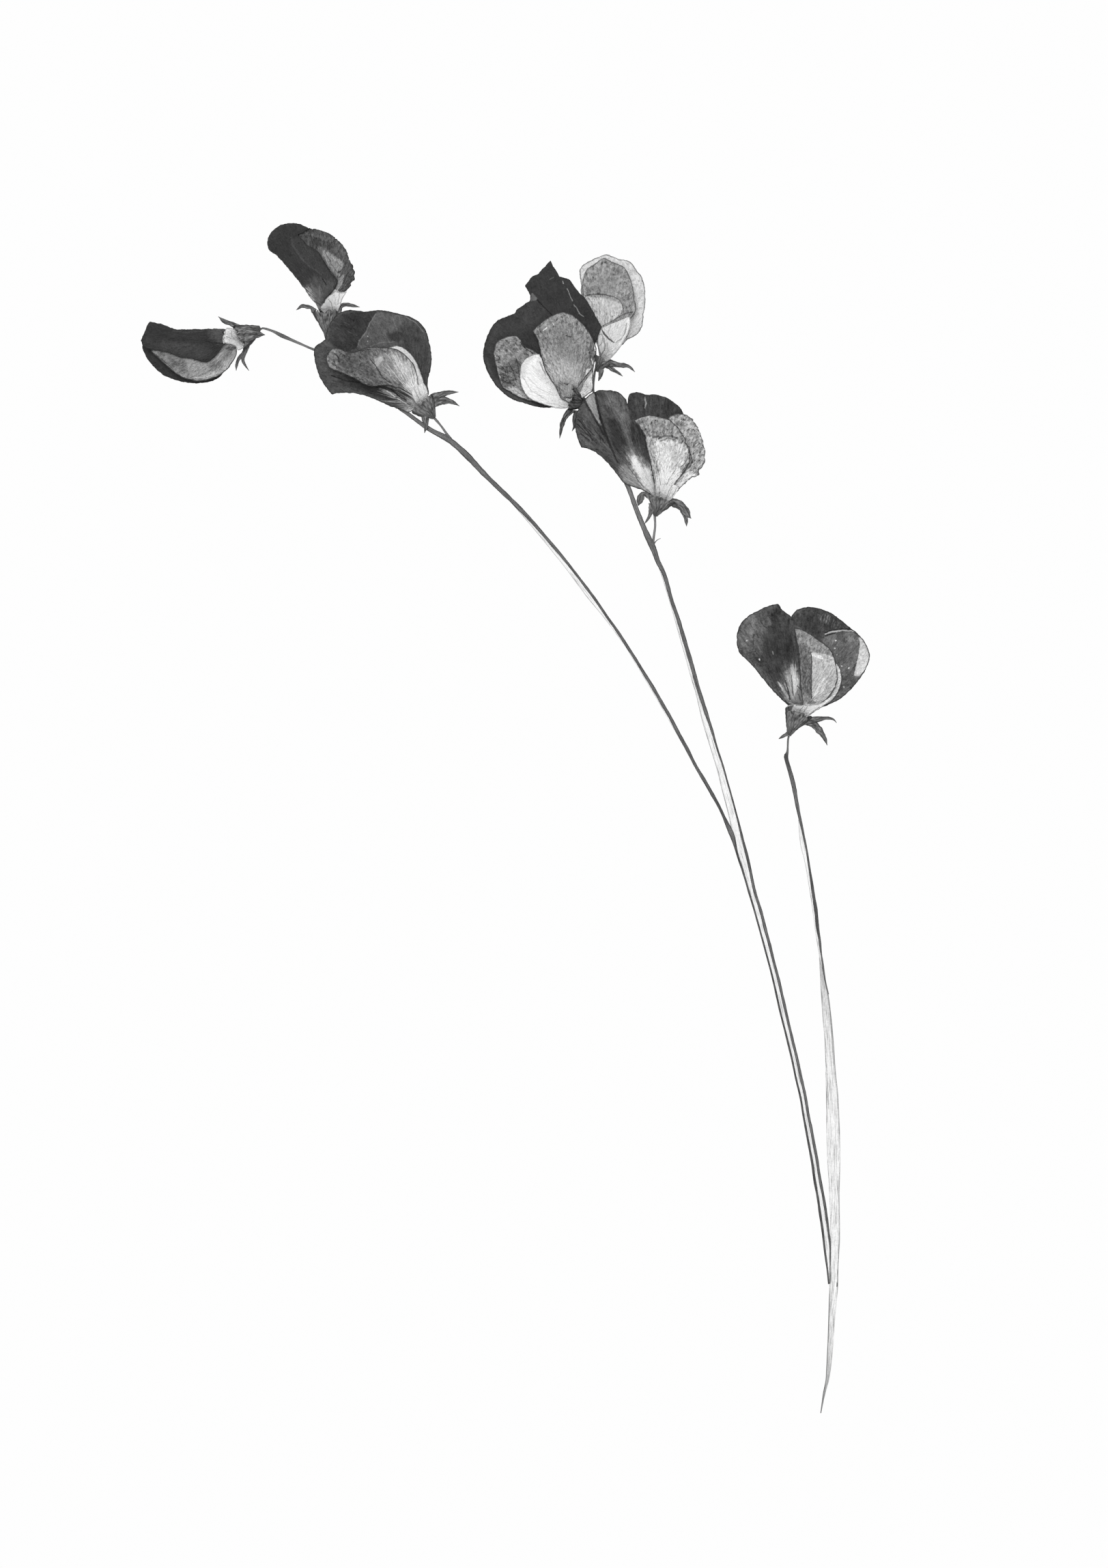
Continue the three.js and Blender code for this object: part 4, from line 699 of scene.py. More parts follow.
banner(
    "c",
    left=[(-0.9, -1.1), (-2.4, -1.8), (-4.3, -1.3), (-7.2, -0.3), (-10.7, 1.3), (-15.2, 2.6),
          (-19.2, 2.7), (-20.5, 2.4), (-20.5, 2.4), (-21.1, 2.9), (-22.9, 5.4), (-24, 8), (-24.6, 10.7),
          (-24.6, 13), (-23.2, 14.1), (-22.1, 14.9)],
    middle=[(0.3, 0.8), (-4, 3.8), (-8.8, 7), (-13.6, 10.2), (-17.9, 13), (-22.1, 14.9)],
    right=[(1.3, 1.4), (2.1, 2.6), (1.8, 5.1), (2.6, 9.1), (2.7, 11.8), (2.1, 15), (1, 18.1),
           (-1.3, 20.2), (-4.8, 21.3), (-9.1, 22.2), (-12.8, 21.9), (-16, 22.1), (-18.4, 21.4),
           (-20.3, 19.7), (-21.4, 17.6), (-22.1, 14.9)],
    tone=86, claw=(235, 4.5), grain=(6, 3, 3, 4, 6),
    zones=(
        (66, 0.6, 0.9, 0, [(-21.0, 17.8), (-19.8, 19.8), (-16.5, 21.4), (-12.9, 22.0), (-10.2, 21.8),
                           (-11.8, 19.1), (-12.6, 17.3), (-14.3, 15.1), (-14.7, 13.5), (-16.9, 12.5),
                           (-19.8, 13.3), (-21.2, 14.9)]),
        (98, 0.3, 0.95, 0, [(-10.2, 21.6), (-6.7, 21.4), (-3.5, 20.2), (-5.1, 17.8), (-3.5, 15.3),
                            (-5.1, 14.1), (-8.8, 13.7), (-12.4, 13.3), (-13.9, 12.8), (-14.7, 13.6),
                            (-14.2, 15.0), (-12.6, 17.2), (-11.8, 19.1)]),
        (75, 1.5, 0.8, 0, [(-5.1, 17.8), (-1.8, 19.0), (0.6, 16.5), (1.8, 13.3), (2.4, 9.6), (1.6, 5.9),
                           (0.6, 7.6), (-1.0, 11.2), (-3.5, 14.1)]),
        (58, 1, 0.7, 0, [(-7.6, 16.5), (-5.1, 17.3), (-3.9, 16.1), (-5.1, 14.9), (-7.1, 15.3)]),
        # painted shade: the dark band on the standard just below the front wing's lower edge, where the
        # wing shades it
        (55, 1, 0.8, 0, [(-19.8, 7.1), (-15.7, 6.3), (-11.6, 4.3), (-8.4, 3.9), (-5.1, 2.2), (-1.8, -0.2),
                         (-5.1, 0.2), (-10.0, 1.8), (-14.9, 3.5), (-18.6, 4.7)]),
        (165, 1.2, 0.8, 9, [(-8.8, 3.3), (-6.7, 2.9), (-4.3, 1.4), (-1.4, -0.2), (-1.0, -1.2),
                            (-3.9, -0.4), (-6.7, 1.0)]),),
    marks=(
        (124, [(-14.6, 13.7, 0.12), (-14.2, 15.0, 0.14), (-12.6, 17.2, 0.12), (-11.8, 19.1, 0.1),
               (-10.3, 21.4, 0.08)]),
        (92, [(-17.9, 19.1, 0.06), (-16.5, 18.6, 0.1)]),
        (88, [(-19.4, 17.8, 0.06), (-18.4, 17.2, 0.1)]),
        (90, [(-16.9, 17.1, 0.08), (-14.9, 16.2, 0.08)]),
        (52, [(-18.4, 18.3, 0.06), (-17.3, 18.0, 0.1), (-15.9, 17.5, 0.06)]),
        (52, [(-16.7, 20.3, 0.06), (-15.5, 19.6, 0.08)]),
        (118, [(-11.6, 13.7, 0.1), (-8.8, 14.7, 0.12), (-5.9, 14.8, 0.08)]),
        # painted highlight: a thin pale line just inside the right rim
        (128, [(-3.5, 20.7, 0.07), (-1.0, 19.3, 0.08), (0.8, 17.1, 0.07)]),
        (215, [(-12.2, 16.1, 0.1)]),
        (215, [(-12.3, 14.9, 0.1)]),
        # a dark crease along the front wing's lower edge, darkened further as painted shade under the wing
        (40, [(-20.6, 6.7, 0.1), (-17.3, 5.5, 0.1), (-14.1, 5.1, 0.1), (-11.6, 4.3, 0.1)]),
        (215, [(-7.6, 3.1, 0.1), (-5.9, 1.8, 0.1)]),
        (210, [(-5.1, 1.4, 0.1), (-2.7, -0.2, 0.1)]),
        (40, [(-6.7, 3.5, 0.1), (-4.7, 1.8, 0.1), (-3.1, 1.0, 0.08)]),))
banner(
    "d",
    left=[(-1, -0.3), (-4.2, -0.6), (-7.4, -0.6), (-10.9, 0.3), (-14.1, 1.4), (-17.1, 3.7), (-19.4, 6.9),
          (-20.6, 9.9), (-20.8, 12.8), (-19.5, 17), (-17.8, 19.5), (-15.7, 20.6), (-13.6, 21.4),
          (-12.8, 22.4), (-11.2, 23.5), (-9.8, 24.4)],
    middle=[(-0.3, 0.6), (-2.6, 6), (-4.6, 11.5), (-6, 17), (-7.2, 21.5), (-9.8, 24.4)],
    right=[(0.6, 0.9), (2.9, 5.1), (4.8, 9.9), (5.6, 14.4), (6.9, 17.9), (6.9, 17.9), (6.2, 19.2),
           (5.1, 21.1), (3, 24.6), (1.6, 25.9), (-0.6, 29.1), (-0.6, 29.1), (-2.9, 29.9), (-2.9, 29.9),
           (-4.3, 32.3), (-5.1, 33.8), (-5.1, 33.8), (-6.9, 31.8), (-8, 30.6), (-9.3, 30.1), (-11, 28),
           (-11, 28), (-9.9, 26.6), (-9.8, 24.4)],
    tone=64, claw=(190, 2.5), grain=(4, 2, 2, 4, 4),
    zones=(
        (110, 0.3, 1, 0, [(-9.6, 25.6), (-9.3, 26.1), (-8.7, 25.6), (-8.1, 24.6), (-8.9, 24.2),
                          (-9.7, 24.3)]),
        (74, 1.5, 0.7, 0, [(-20.1, 14.2), (-18.8, 17.7), (-14.8, 20.4), (-12.2, 22.1), (-8.2, 24.3),
                           (-5.1, 22.6), (-9.1, 18.6), (-12.2, 16.4), (-15.7, 16.4), (-18.4, 15.1),
                           (-18.8, 10.7)]),
        (95, 1.5, 0.6, 0, [(-20.4, 10.7), (-18.8, 6.3), (-16.6, 3.6), (-13.1, 0.5), (-9.1, -0.7),
                           (-10.4, 1.0), (-14.8, 3.6), (-18.4, 6.7), (-19.7, 10.7)]),),
    marks=(
        (165, [(-2.2, 28.6, 0.08), (-2.0, 28.1, 0.1)]),
        (160, [(-1.1, 26.8, 0.07), (-0.4, 25.0, 0.07), (0.1, 23.9, 0.08)]),
        (150, [(0.4, 23.0, 0.07), (1.0, 22.4, 0.08), (1.7, 21.0, 0.09), (2.7, 20.3, 0.08)]),
        (120, [(-5.2, 29.3, 0.06), (-4.3, 29.7, 0.06)]),
        (42, [(-8.1, 24.5, 0.1), (-6.0, 22.1, 0.1), (-4.6, 20.7, 0.08)]),))
banner(
    "e",
    left=[(-1, 0.5), (-1.6, 3.8), (-2.9, 7.8), (-4.5, 11.8), (-5.3, 15), (-5.3, 17.4), (-5.6, 20.2),
          (-5.3, 21.4), (-4.5, 22.2), (-3, 23), (-1.4, 23.7), (0.2, 24.3), (1.1, 24.3)],
    right=[(1.2, 0.4), (2.1, 1.6), (4.5, 3.2), (5.8, 4.5), (7.4, 5.3), (8.5, 6.4), (9.1, 7.8),
           (9.4, 10.2), (9.8, 12.6), (9.8, 15), (9.6, 17), (9, 19), (7.8, 20.6), (7, 21.9), (5.8, 22.9),
           (4.2, 23.2), (2.6, 23.7), (1.1, 24.3)],
    slot="standard_pale", tone=220, claw=(235, 3), grain=(4, 3, 7, 4, 7), rim=115,
    zones=(
        (236, 1.2, 1, 0, [(-0.2, 7.3), (6.8, 8.6), (6.4, 5.1), (4.2, 2.9), (1.8, -0.2), (-0.6, 0.2),
                          (-1.5, 3.3)]),))
banner(
    "f",
    left=[(-2.1, 1), (-4.2, 2.2), (-6.7, 3), (-8.5, 4.2), (-10.4, 6.7), (-12.8, 9.4), (-15.7, 11.5),
          (-18.1, 12.2), (-18.1, 12.2), (-18.9, 14.2), (-19.5, 17.3), (-18.9, 20.5), (-17.1, 23.2),
          (-14.6, 25), (-11.8, 25.3), (-9.8, 25.1), (-8.5, 24.3), (-7.7, 23.4), (-7.2, 22.1)],
    middle=[(-0.6, 0.8), (-2.2, 4.8), (-3.8, 9.3), (-5.1, 13.6), (-6.4, 18.9), (-7.2, 22.1)],
    right=[(1.6, 0.7), (4.8, 3.2), (6.4, 7.2), (7, 12), (6.7, 16.8), (6.2, 19.2), (5.4, 21.1),
           (4.2, 22.3), (2.1, 23.7), (-0.6, 24.5), (-2.7, 24.4), (-4.6, 25), (-6.1, 24.9), (-6.9, 24.2),
           (-7.2, 22.1)],
    tone=88, claw=(240, 3.0), grain=(12, 3, 3, 5, 6),
    zones=(
        (110, 1.2, 0.8, 0, [(-12.5, 24.2), (-9.6, 24.5), (-7.8, 22.4), (-7.1, 18.0), (-6.4, 12.7),
                            (-7.8, 13.7), (-9.6, 18.0), (-11.8, 21.6)]),
        (62, 1, 0.9, 0, [(-12.1, 19.1), (-9.6, 18.0), (-7.8, 14.5), (-6.4, 10.9), (-8.9, 10.1),
                         (-11.0, 13.7)]),
        (172, 1.2, 0.9, 1, [(-7.2, 6.7), (-5.4, 5.5), (-3.1, 2.7), (-2.1, 1.8), (-3.9, 2.4), (-6.2, 3.1),
                            (-7.1, 3.7), (-7.6, 5.3)]),
        (150, 1.8, 0.9, 1, [(-8.8, 7.8), (-7.3, 8.4), (-5.4, 5.6), (-3.1, 2.7), (-2.4, 1.8), (-3.9, 2.4),
                            (-7.3, 3.4), (-9.1, 6.2)]),
        (116, 0.8, 0.7, 2, [(-7.6, 20.6), (-7.0, 20.7), (-6.4, 18.0), (-6.1, 14.5), (-5.9, 13.0),
                            (-6.4, 13.0), (-7.0, 15.9)]),
        (165, 0.2, 1, 0, [(-17.0, 22.9), (-15.0, 24.9), (-14.5, 23.4), (-13.9, 19.8), (-13.4, 17.0),
                          (-15.4, 19.1), (-16.6, 21.6)]),
        (74, 0.8, 1, 0, [(-6.9, 24.5), (-5.7, 25.0), (-2.8, 24.5), (1.5, 23.8), (4.4, 22.0), (6.2, 19.8),
                         (1.5, 18.8), (-5.7, 18.4), (-4.2, 16.2), (-2.8, 10.9), (-2.1, 8.3), (-4.9, 11.6),
                         (-6.7, 17.0)]),
        (145, 3.4, 0.85, 3, [(-7.6, 11.6), (-6.0, 11.9), (-3.9, 10.1), (-2.1, 7.6), (-1.5, 3.7),
                             (-1.3, 1.5), (-2.2, 1.5), (-3.9, 3.7), (-5.7, 5.8), (-6.9, 8.7)]),
        (252, 1.7, 1, 2, [(-6.6, 10.0), (-5.0, 9.9), (-3.9, 8.2), (-2.8, 7.3), (-1.9, 7.8), (-1.4, 6.2),
                          (-0.7, 3.5), (-1.0, 1.4), (-2.1, 1.6), (-2.9, 2.5), (-4.4, 4.0), (-6.0, 7.3),
                          (-6.7, 9.2)]),),
    marks=(
        (92, [(-8.3, 8.9, 0.05), (-7.1, 7.6, 0.07), (-6.1, 6.3, 0.07), (-4.8, 4.4, 0.07),
              (-3.4, 2.7, 0.06)]),
        # painted shade: a dark band where a stalk lies under the standard and shows through it
        (50, [(-14.9, 25.0, 0.22), (-14.3, 21.6, 0.25), (-13.4, 18.0, 0.28), (-12.1, 14.5, 0.3),
              (-11.1, 12.1, 0.24), (-10.0, 9.6, 0.12), (-9.4, 8.3, 0.06)]),
        (60, [(-17.2, 22.7, 0.2), (-15.5, 19.5, 0.22), (-13.7, 16.6, 0.22), (-12.1, 13.7, 0.15)]),
        (45, [(-18.8, 18.4, 0.1), (-17.1, 16.6, 0.1), (-15.0, 14.8, 0.08)]),
        (45, [(-18.9, 17.3, 0.08), (-16.8, 15.2, 0.08), (-14.3, 13.0, 0.06)]),
        (45, [(-18.2, 15.2, 0.08), (-16.1, 13.7, 0.08)]),
        (50, [(-17.9, 17.0, 0.07), (-16.1, 15.2, 0.07), (-15.4, 13.7, 0.07)]),
        (52, [(-15.0, 16.2, 0.06), (-13.7, 14.5, 0.07), (-13.4, 13.0, 0.06)]),
        (52, [(-13.9, 15.2, 0.06), (-12.5, 13.0, 0.06)]),
        (125, [(-17.5, 18.0, 0.12), (-16.8, 17.0, 0.12)]),
        (125, [(-3.1, 23.8, 0.14), (-2.9, 22.5, 0.2), (-3.1, 21.2, 0.14)]),
        (165, [(-3.0, 23.4, 0.08), (-2.8, 22.5, 0.12), (-3.0, 21.6, 0.08)]),
        (48, [(-3.5, 22.0, 0.1), (-3.2, 21.0, 0.1)]),))
banner(
    "g",
    left=[(-1.7, 1.3), (-3.5, 3), (-5.8, 5.3), (-8.2, 8.2), (-11.2, 11.8), (-13.8, 14.4), (-14.4, 17.3),
          (-14.1, 19.8), (-12.6, 22.2), (-9.9, 24), (-6.7, 25.4), (-4.8, 25.8), (-4.8, 25.8), (-4.6, 25),
          (-3, 23.8), (-1.6, 22.7)],
    middle=[(0.3, 0.7), (0.3, 6), (0.1, 12), (-0.6, 18), (-1.6, 22.7)],
    right=[(2.6, 0), (4.5, 1.1), (7, 2.1), (9.8, 3.5), (12, 5.4), (14.1, 7.8), (16, 10.7), (16.8, 13.4),
           (16.2, 15.8), (14.6, 18.2), (12, 20.3), (9.1, 22.7), (6.1, 24.3), (3.2, 25), (0.8, 24.8),
           (-0.8, 24), (-1.6, 22.7)],
    tone=96, claw=(150, 1.5), grain=(8, 3.5, 7, 5, 10), rim=58,
    zones=(
        (68, 1.6, 0.95, 0, [(-5.8, 25.2), (-4.6, 24.9), (-3.0, 23.8), (-1.7, 22.6), (-1.4, 20.2),
                            (-0.8, 17.0), (-0.2, 14.5), (0.1, 11.2), (-0.7, 11.2), (-1.8, 12.4),
                            (-3.0, 11.9), (-3.6, 9.6), (-4.2, 6.9), (-5.2, 6.1), (-7.0, 8.8),
                            (-9.1, 11.6), (-10.1, 13.1), (-8.7, 14.3), (-8.3, 18.2), (-6.4, 21.0),
                            (-6.2, 23.3)]),
        (115, 2.5, 0.5, 0, [(-13.6, 22.4), (-10.4, 23.5), (-8.3, 20.8), (-8.4, 16.8), (-10.4, 14.1),
                            (-13.1, 15.2), (-14.2, 18.4)]),
        (90, 1, 1, 0, [(-1.6, 20.8), (4.8, 18.4), (13.6, 19.2), (14.8, 16.0), (14.1, 7.2), (8.8, 2.4),
                       (4.8, 1.5), (2.3, 4.8), (0.0, 10.4)]),
        (76, 0.8, 1, 0, [(-1.6, 22.7), (0.4, 24.0), (3.2, 25.0), (6.4, 24.5), (9.6, 22.7), (12.5, 20.3),
                         (13.6, 19.2), (9.6, 19.9), (6.3, 19.1), (5.3, 17.6), (2.4, 19.2), (-0.9, 20.8)]),
        (112, 0.15, 1, 0, [(6.7, 18.3), (8.6, 18.8), (10.9, 19.1), (12.9, 19.0), (13.8, 18.3),
                           (14.3, 16.7), (14.2, 14.7), (13.7, 12.7), (12.9, 10.9), (12.2, 9.8),
                           (10.9, 8.8), (9.5, 9.8), (8.8, 12.0), (8.0, 14.4), (6.4, 16.3), (5.3, 17.5)]),
        (140, 1.6, 0.8, 0, [(13.5, 10.1), (14.8, 9.8), (14.4, 8.2), (12.8, 6.7), (11.6, 5.9), (10.6, 6.3),
                            (12.2, 8.2)]),
        (207, 0.2, 1, 0, [(14.0, 18.4), (15.2, 17.8), (16.2, 16.2), (17.0, 14.1), (17.0, 12.8),
                          (16.3, 11.5), (15.4, 10.1), (14.4, 9.0), (13.5, 8.7), (13.1, 9.3), (13.5, 10.9),
                          (13.8, 12.4), (14.3, 14.7), (14.4, 16.7)]),
        (108, 0.6, 1, 0, [(9.3, 10.1), (11.2, 7.4), (14.0, 9.0), (13.2, 6.9), (11.7, 5.3), (9.8, 3.4),
                          (7.9, 1.9), (5.6, 0.8), (4.8, 1.5), (6.8, 3.7), (8.0, 5.9), (9.0, 8.5)]),
        (112, 2, 0.8, 3, [(-3.2, 11.1), (-1.9, 12.3), (-0.6, 12.0), (0.0, 9.6), (0.2, 2.4), (-1.6, 1.8),
                          (-3.2, 5.0), (-4.3, 6.9)]),
        (205, 1.4, 0.9, 4, [(-2.5, 10.1), (-1.6, 11.4), (-0.4, 11.1), (0.0, 8.8), (0.0, 4.3), (-0.6, 3.1),
                            (-1.7, 4.0), (-2.4, 7.2)]),
        (235, 0.9, 0.9, 3, [(-1.2, 9.8), (-0.4, 10.1), (0.0, 7.2), (-0.2, 4.2), (-0.9, 4.7),
                            (-1.2, 7.2)]),
        (212, 1.2, 0.9, 4, [(-4.3, 7.2), (-3.3, 7.1), (-2.2, 5.0), (-1.7, 2.6), (-2.7, 2.9),
                            (-3.6, 5.0)]),
        (152, 0.4, 0.9, 1, [(-0.1, 6.1), (1.0, 5.1), (1.8, 3.4), (0.4, 2.3), (-0.9, 2.6), (-0.6, 4.7)]),
        (118, 1, 0.85, 2, [(-3.6, 3.7), (-2.0, 3.2), (-0.3, 2.7), (2.1, 3.4), (2.6, 2.3), (0.4, 1.3),
                           (-1.9, 0.7), (-3.2, 1.8)]),),
    marks=(
        (66, [(-3.0, 7.9, 0.1), (-2.4, 5.6, 0.12), (-1.9, 3.4, 0.12)]),
        (70, [(-0.2, 6.6, 0.08), (0.4, 5.9, 0.08), (1.3, 5.0, 0.08)]),
        (85, [(-1.6, 9.1, 0.06), (-1.4, 6.7, 0.08), (-1.2, 4.3, 0.08)]),
        (75, [(0.0, 4.7, 0.06), (0.5, 3.1, 0.08)]),
        (190, [(-2.0, 2.6, 0.14), (-1.2, 2.3, 0.1)]),
        (60, [(-3.2, 3.1, 0.1), (-2.2, 2.3, 0.12), (-0.3, 1.8, 0.12), (2.3, 2.3, 0.1)]),
        (108, [(5.7, 23.4, 0.1), (5.2, 22.1, 0.12)]),
        (112, [(6.3, 23.3, 0.06), (5.9, 21.9, 0.1)]),
        (118, [(7.0, 23.0, 0.1), (6.5, 21.3, 0.12)]),
        (115, [(7.5, 22.7, 0.1), (7.0, 21.1, 0.12)]),
        (118, [(8.3, 22.1, 0.1), (7.6, 20.3, 0.12)]),
        (112, [(8.8, 21.8, 0.1), (8.2, 20.4, 0.12)]),
        (105, [(9.5, 21.4, 0.08), (8.8, 20.1, 0.1)]),
        (98, [(10.0, 20.8, 0.06), (9.6, 20.0, 0.08)]),
        (122, [(-10.8, 22.2, 0.3), (-10.4, 21.6, 0.4)]),
        (118, [(-11.6, 20.3, 0.4), (-11.0, 19.2, 0.6)]),
        (112, [(-7.0, 22.3, 0.4), (-6.7, 21.1, 0.4)]),
        (60, [(-8.8, 21.9, 0.06), (-8.4, 21.0, 0.08)]),
        (62, [(-7.0, 20.6, 0.08), (-6.4, 19.8, 0.06)]),
        (62, [(-9.6, 18.6, 0.06), (-9.3, 17.8, 0.08)]),
        (58, [(-4.0, 19.4, 0.1), (-3.5, 18.3, 0.1)]),
        (60, [(-7.8, 16.8, 0.06), (-7.0, 15.5, 0.08)]),
        (62, [(-10.7, 17.8, 0.08), (-10.4, 18.6, 0.08), (-10.5, 16.2, 0.06)]),
        (62, [(-6.7, 20.7, 0.06), (-5.7, 20.0, 0.1)]),
        (60, [(-8.1, 20.7, 0.1), (-6.2, 19.4, 0.06)]),
        (60, [(-11.3, 14.4, 0.06), (-9.9, 14.7, 0.06)]),
        (60, [(-5.2, 17.1, 0.06), (-5.7, 15.9, 0.08)]),
        (200, [(-12.2, 17.1, 0.1), (-11.9, 17.3, 0.1)]),
        (235, [(-9.1, 12.8, 0.22), (-9.0, 12.5, 0.1)]),
        (160, [(-6.0, 14.6, 0.1), (-5.9, 13.9, 0.1)]),
        (190, [(6.3, 18.7, 0.1), (7.8, 19.2, 0.14), (10.1, 19.6, 0.14), (12.4, 19.5, 0.12),
               (13.6, 19.1, 0.08)]),
        (40, [(6.3, 19.0, 0.08), (7.8, 19.6, 0.1), (10.1, 19.9, 0.1), (12.4, 19.9, 0.1)]),
        (45, [(6.3, 18.3, 0.1), (7.6, 18.7, 0.12), (8.8, 19.0, 0.08)]),
        (235, [(8.8, 17.2, 0.15)]),
        (235, [(8.6, 15.3, 0.2)]),
        (235, [(9.1, 13.9, 0.12)]),
        (235, [(10.2, 11.2, 0.14)]),
        (235, [(11.9, 10.7, 0.2)]),
        (235, [(10.7, 6.3, 0.15)]),))


# Folded standards: in the two blooms at the top left the big petal closed over the others like a
# book. Its far half lies under them and its near half over them, round one soft bend.
FAR_LAYER, NEAR_LAYER = 0, 4
HALF_COLUMNS, BEND_COLUMNS = 15, 11


def folded_banner(letter, far, fold, near, tone, claw, grain, zones, marks):
    """A standard folded along its middle line, with its far edge under and its near edge over it."""
    crest = smooth_line(rooted(letter, fold), BANNER_ROWS)
    halves = [smooth_line(rooted(letter, half), BANNER_ROWS) for half in (far, near)]
    full = [np.linalg.norm(half - crest, axis=1) for half in halves]
    way = [(half - crest) / length[:, None] for half, length in zip(halves, full)]
    room = rise(letter, NEAR_LAYER, crest) - rise(letter, FAR_LAYER, crest)
    apart = np.minimum(room, 1.7 * np.minimum(*full))
    radius = apart / 2
    start = radius + SHEET / 2
    # The far half from its edge to the bend, the bend, and the near half out to its edge.
    places, levels = [], []
    for share in np.linspace(1, 0, HALF_COLUMNS)[:-1]:
        place = crest + way[0] * (start + (full[0] - start) * share)[:, None]
        places.append(place)
        levels.append(rise(letter, FAR_LAYER, place))
    for turn in np.radians(np.linspace(90, -90, BEND_COLUMNS)):
        side = 0 if turn > 0 else 1
        place = crest + way[side] * (start - radius * math.cos(turn))[:, None]
        places.append(place)
        levels.append(rise(letter, FAR_LAYER, place) + radius * (1 - math.sin(turn)))
    for share in np.linspace(0, 1, HALF_COLUMNS)[1:]:
        place = crest + way[1] * (start + (full[1] - start) * share)[:, None]
        places.append(place)
        levels.append(rise(letter, NEAR_LAYER, place) - (room - apart))
    net = np.stack(places, axis=1)
    level = np.stack(levels, axis=1)
    side = np.broadcast_to(np.linspace(0, 1, net.shape[1]), level.shape)
    edge = np.where(side < 0.5, gap_to(halves[0], net), gap_to(halves[1], net))
    bm = bmesh.new()
    lay_petal(bm, letter, FAR_LAYER, net, edge, 0.6, zones, side, level)
    skin = petal_skin(f"banner_{letter}_skin", tone, claw, grain, zones, marks, PETAL_RIM, PETAL_RELIEF)
    piece_of(f"banner_{letter}", bm, skin, f"standard_{letter}", thickness=PETAL_THICKNESS)


folded_banner(
    "a",
    far=[(-1, 0.2), (-2.2, -3.7), (-3.5, -7.2), (-5.1, -9), (-7.2, -9.8), (-10.4, -10.1), (-14.1, -9.6),
         (-17.6, -8.3), (-20.5, -5.8), (-22.4, -2.9), (-22.9, -0.5)],
    fold=[(-1.6, 2.4), (-4.8, 2.7), (-9.6, 2.6), (-14.7, 2.6), (-17.9, 3.7), (-20.6, 4.3)],
    near=[(-1.1, 0.3), (-3.2, -1.3), (-4.8, -3.5), (-6.1, -4.8), (-7.5, -5.6), (-9.6, -5.1), (-12, -4.6),
          (-14.1, -4.3), (-16, -3.4), (-18.4, -2.9), (-20.5, -2.6), (-21.9, -1.9), (-22.7, -0.5)],
    tone=62, claw=(235, 3.5), grain=(4, 2, 2, 4, 4),
    zones=(
        (78, 1.5, 0.7, 0, [(-19.7, -1.2), (-17.0, -0.5), (-14.2, -0.8), (-10.1, -1.2), (-7.0, -2.2),
                           (-6.4, -3.9), (-9.1, -4.6), (-13.6, -3.6), (-17.0, -2.7)]),
        (100, 2.6, 0.8, 3, [(-6.0, 2.4), (-3.3, 2.6), (-3.1, -1.2), (-5.0, -0.8), (-6.4, 0.9)]),
        (235, 0.15, 1, 0, [(-3.3, 1.7), (0.0, 1.4), (1.5, -1.2), (0.8, -2.2), (-3.3, -1.4)]),),
    marks=(
        (45, [(-7.4, -0.8, 0.1), (-5.0, -1.1, 0.1), (-3.3, -1.3, 0.1), (-0.7, -1.7, 0.12)]),
        (45, [(-3.6, 1.4, 0.12), (-3.2, 0.9, 0.1)]),
        (80, [(-15.3, 1.7, 0.06), (-11.8, 1.4, 0.06), (-8.4, 1.6, 0.06)]),
        (150, [(-1.6, 1.4, 0.06), (-1.2, 0.5, 0.08), (-0.2, -0.8, 0.06)]),
        (165, [(-2.8, 0.5, 0.06), (-1.6, -0.1, 0.06)]),))
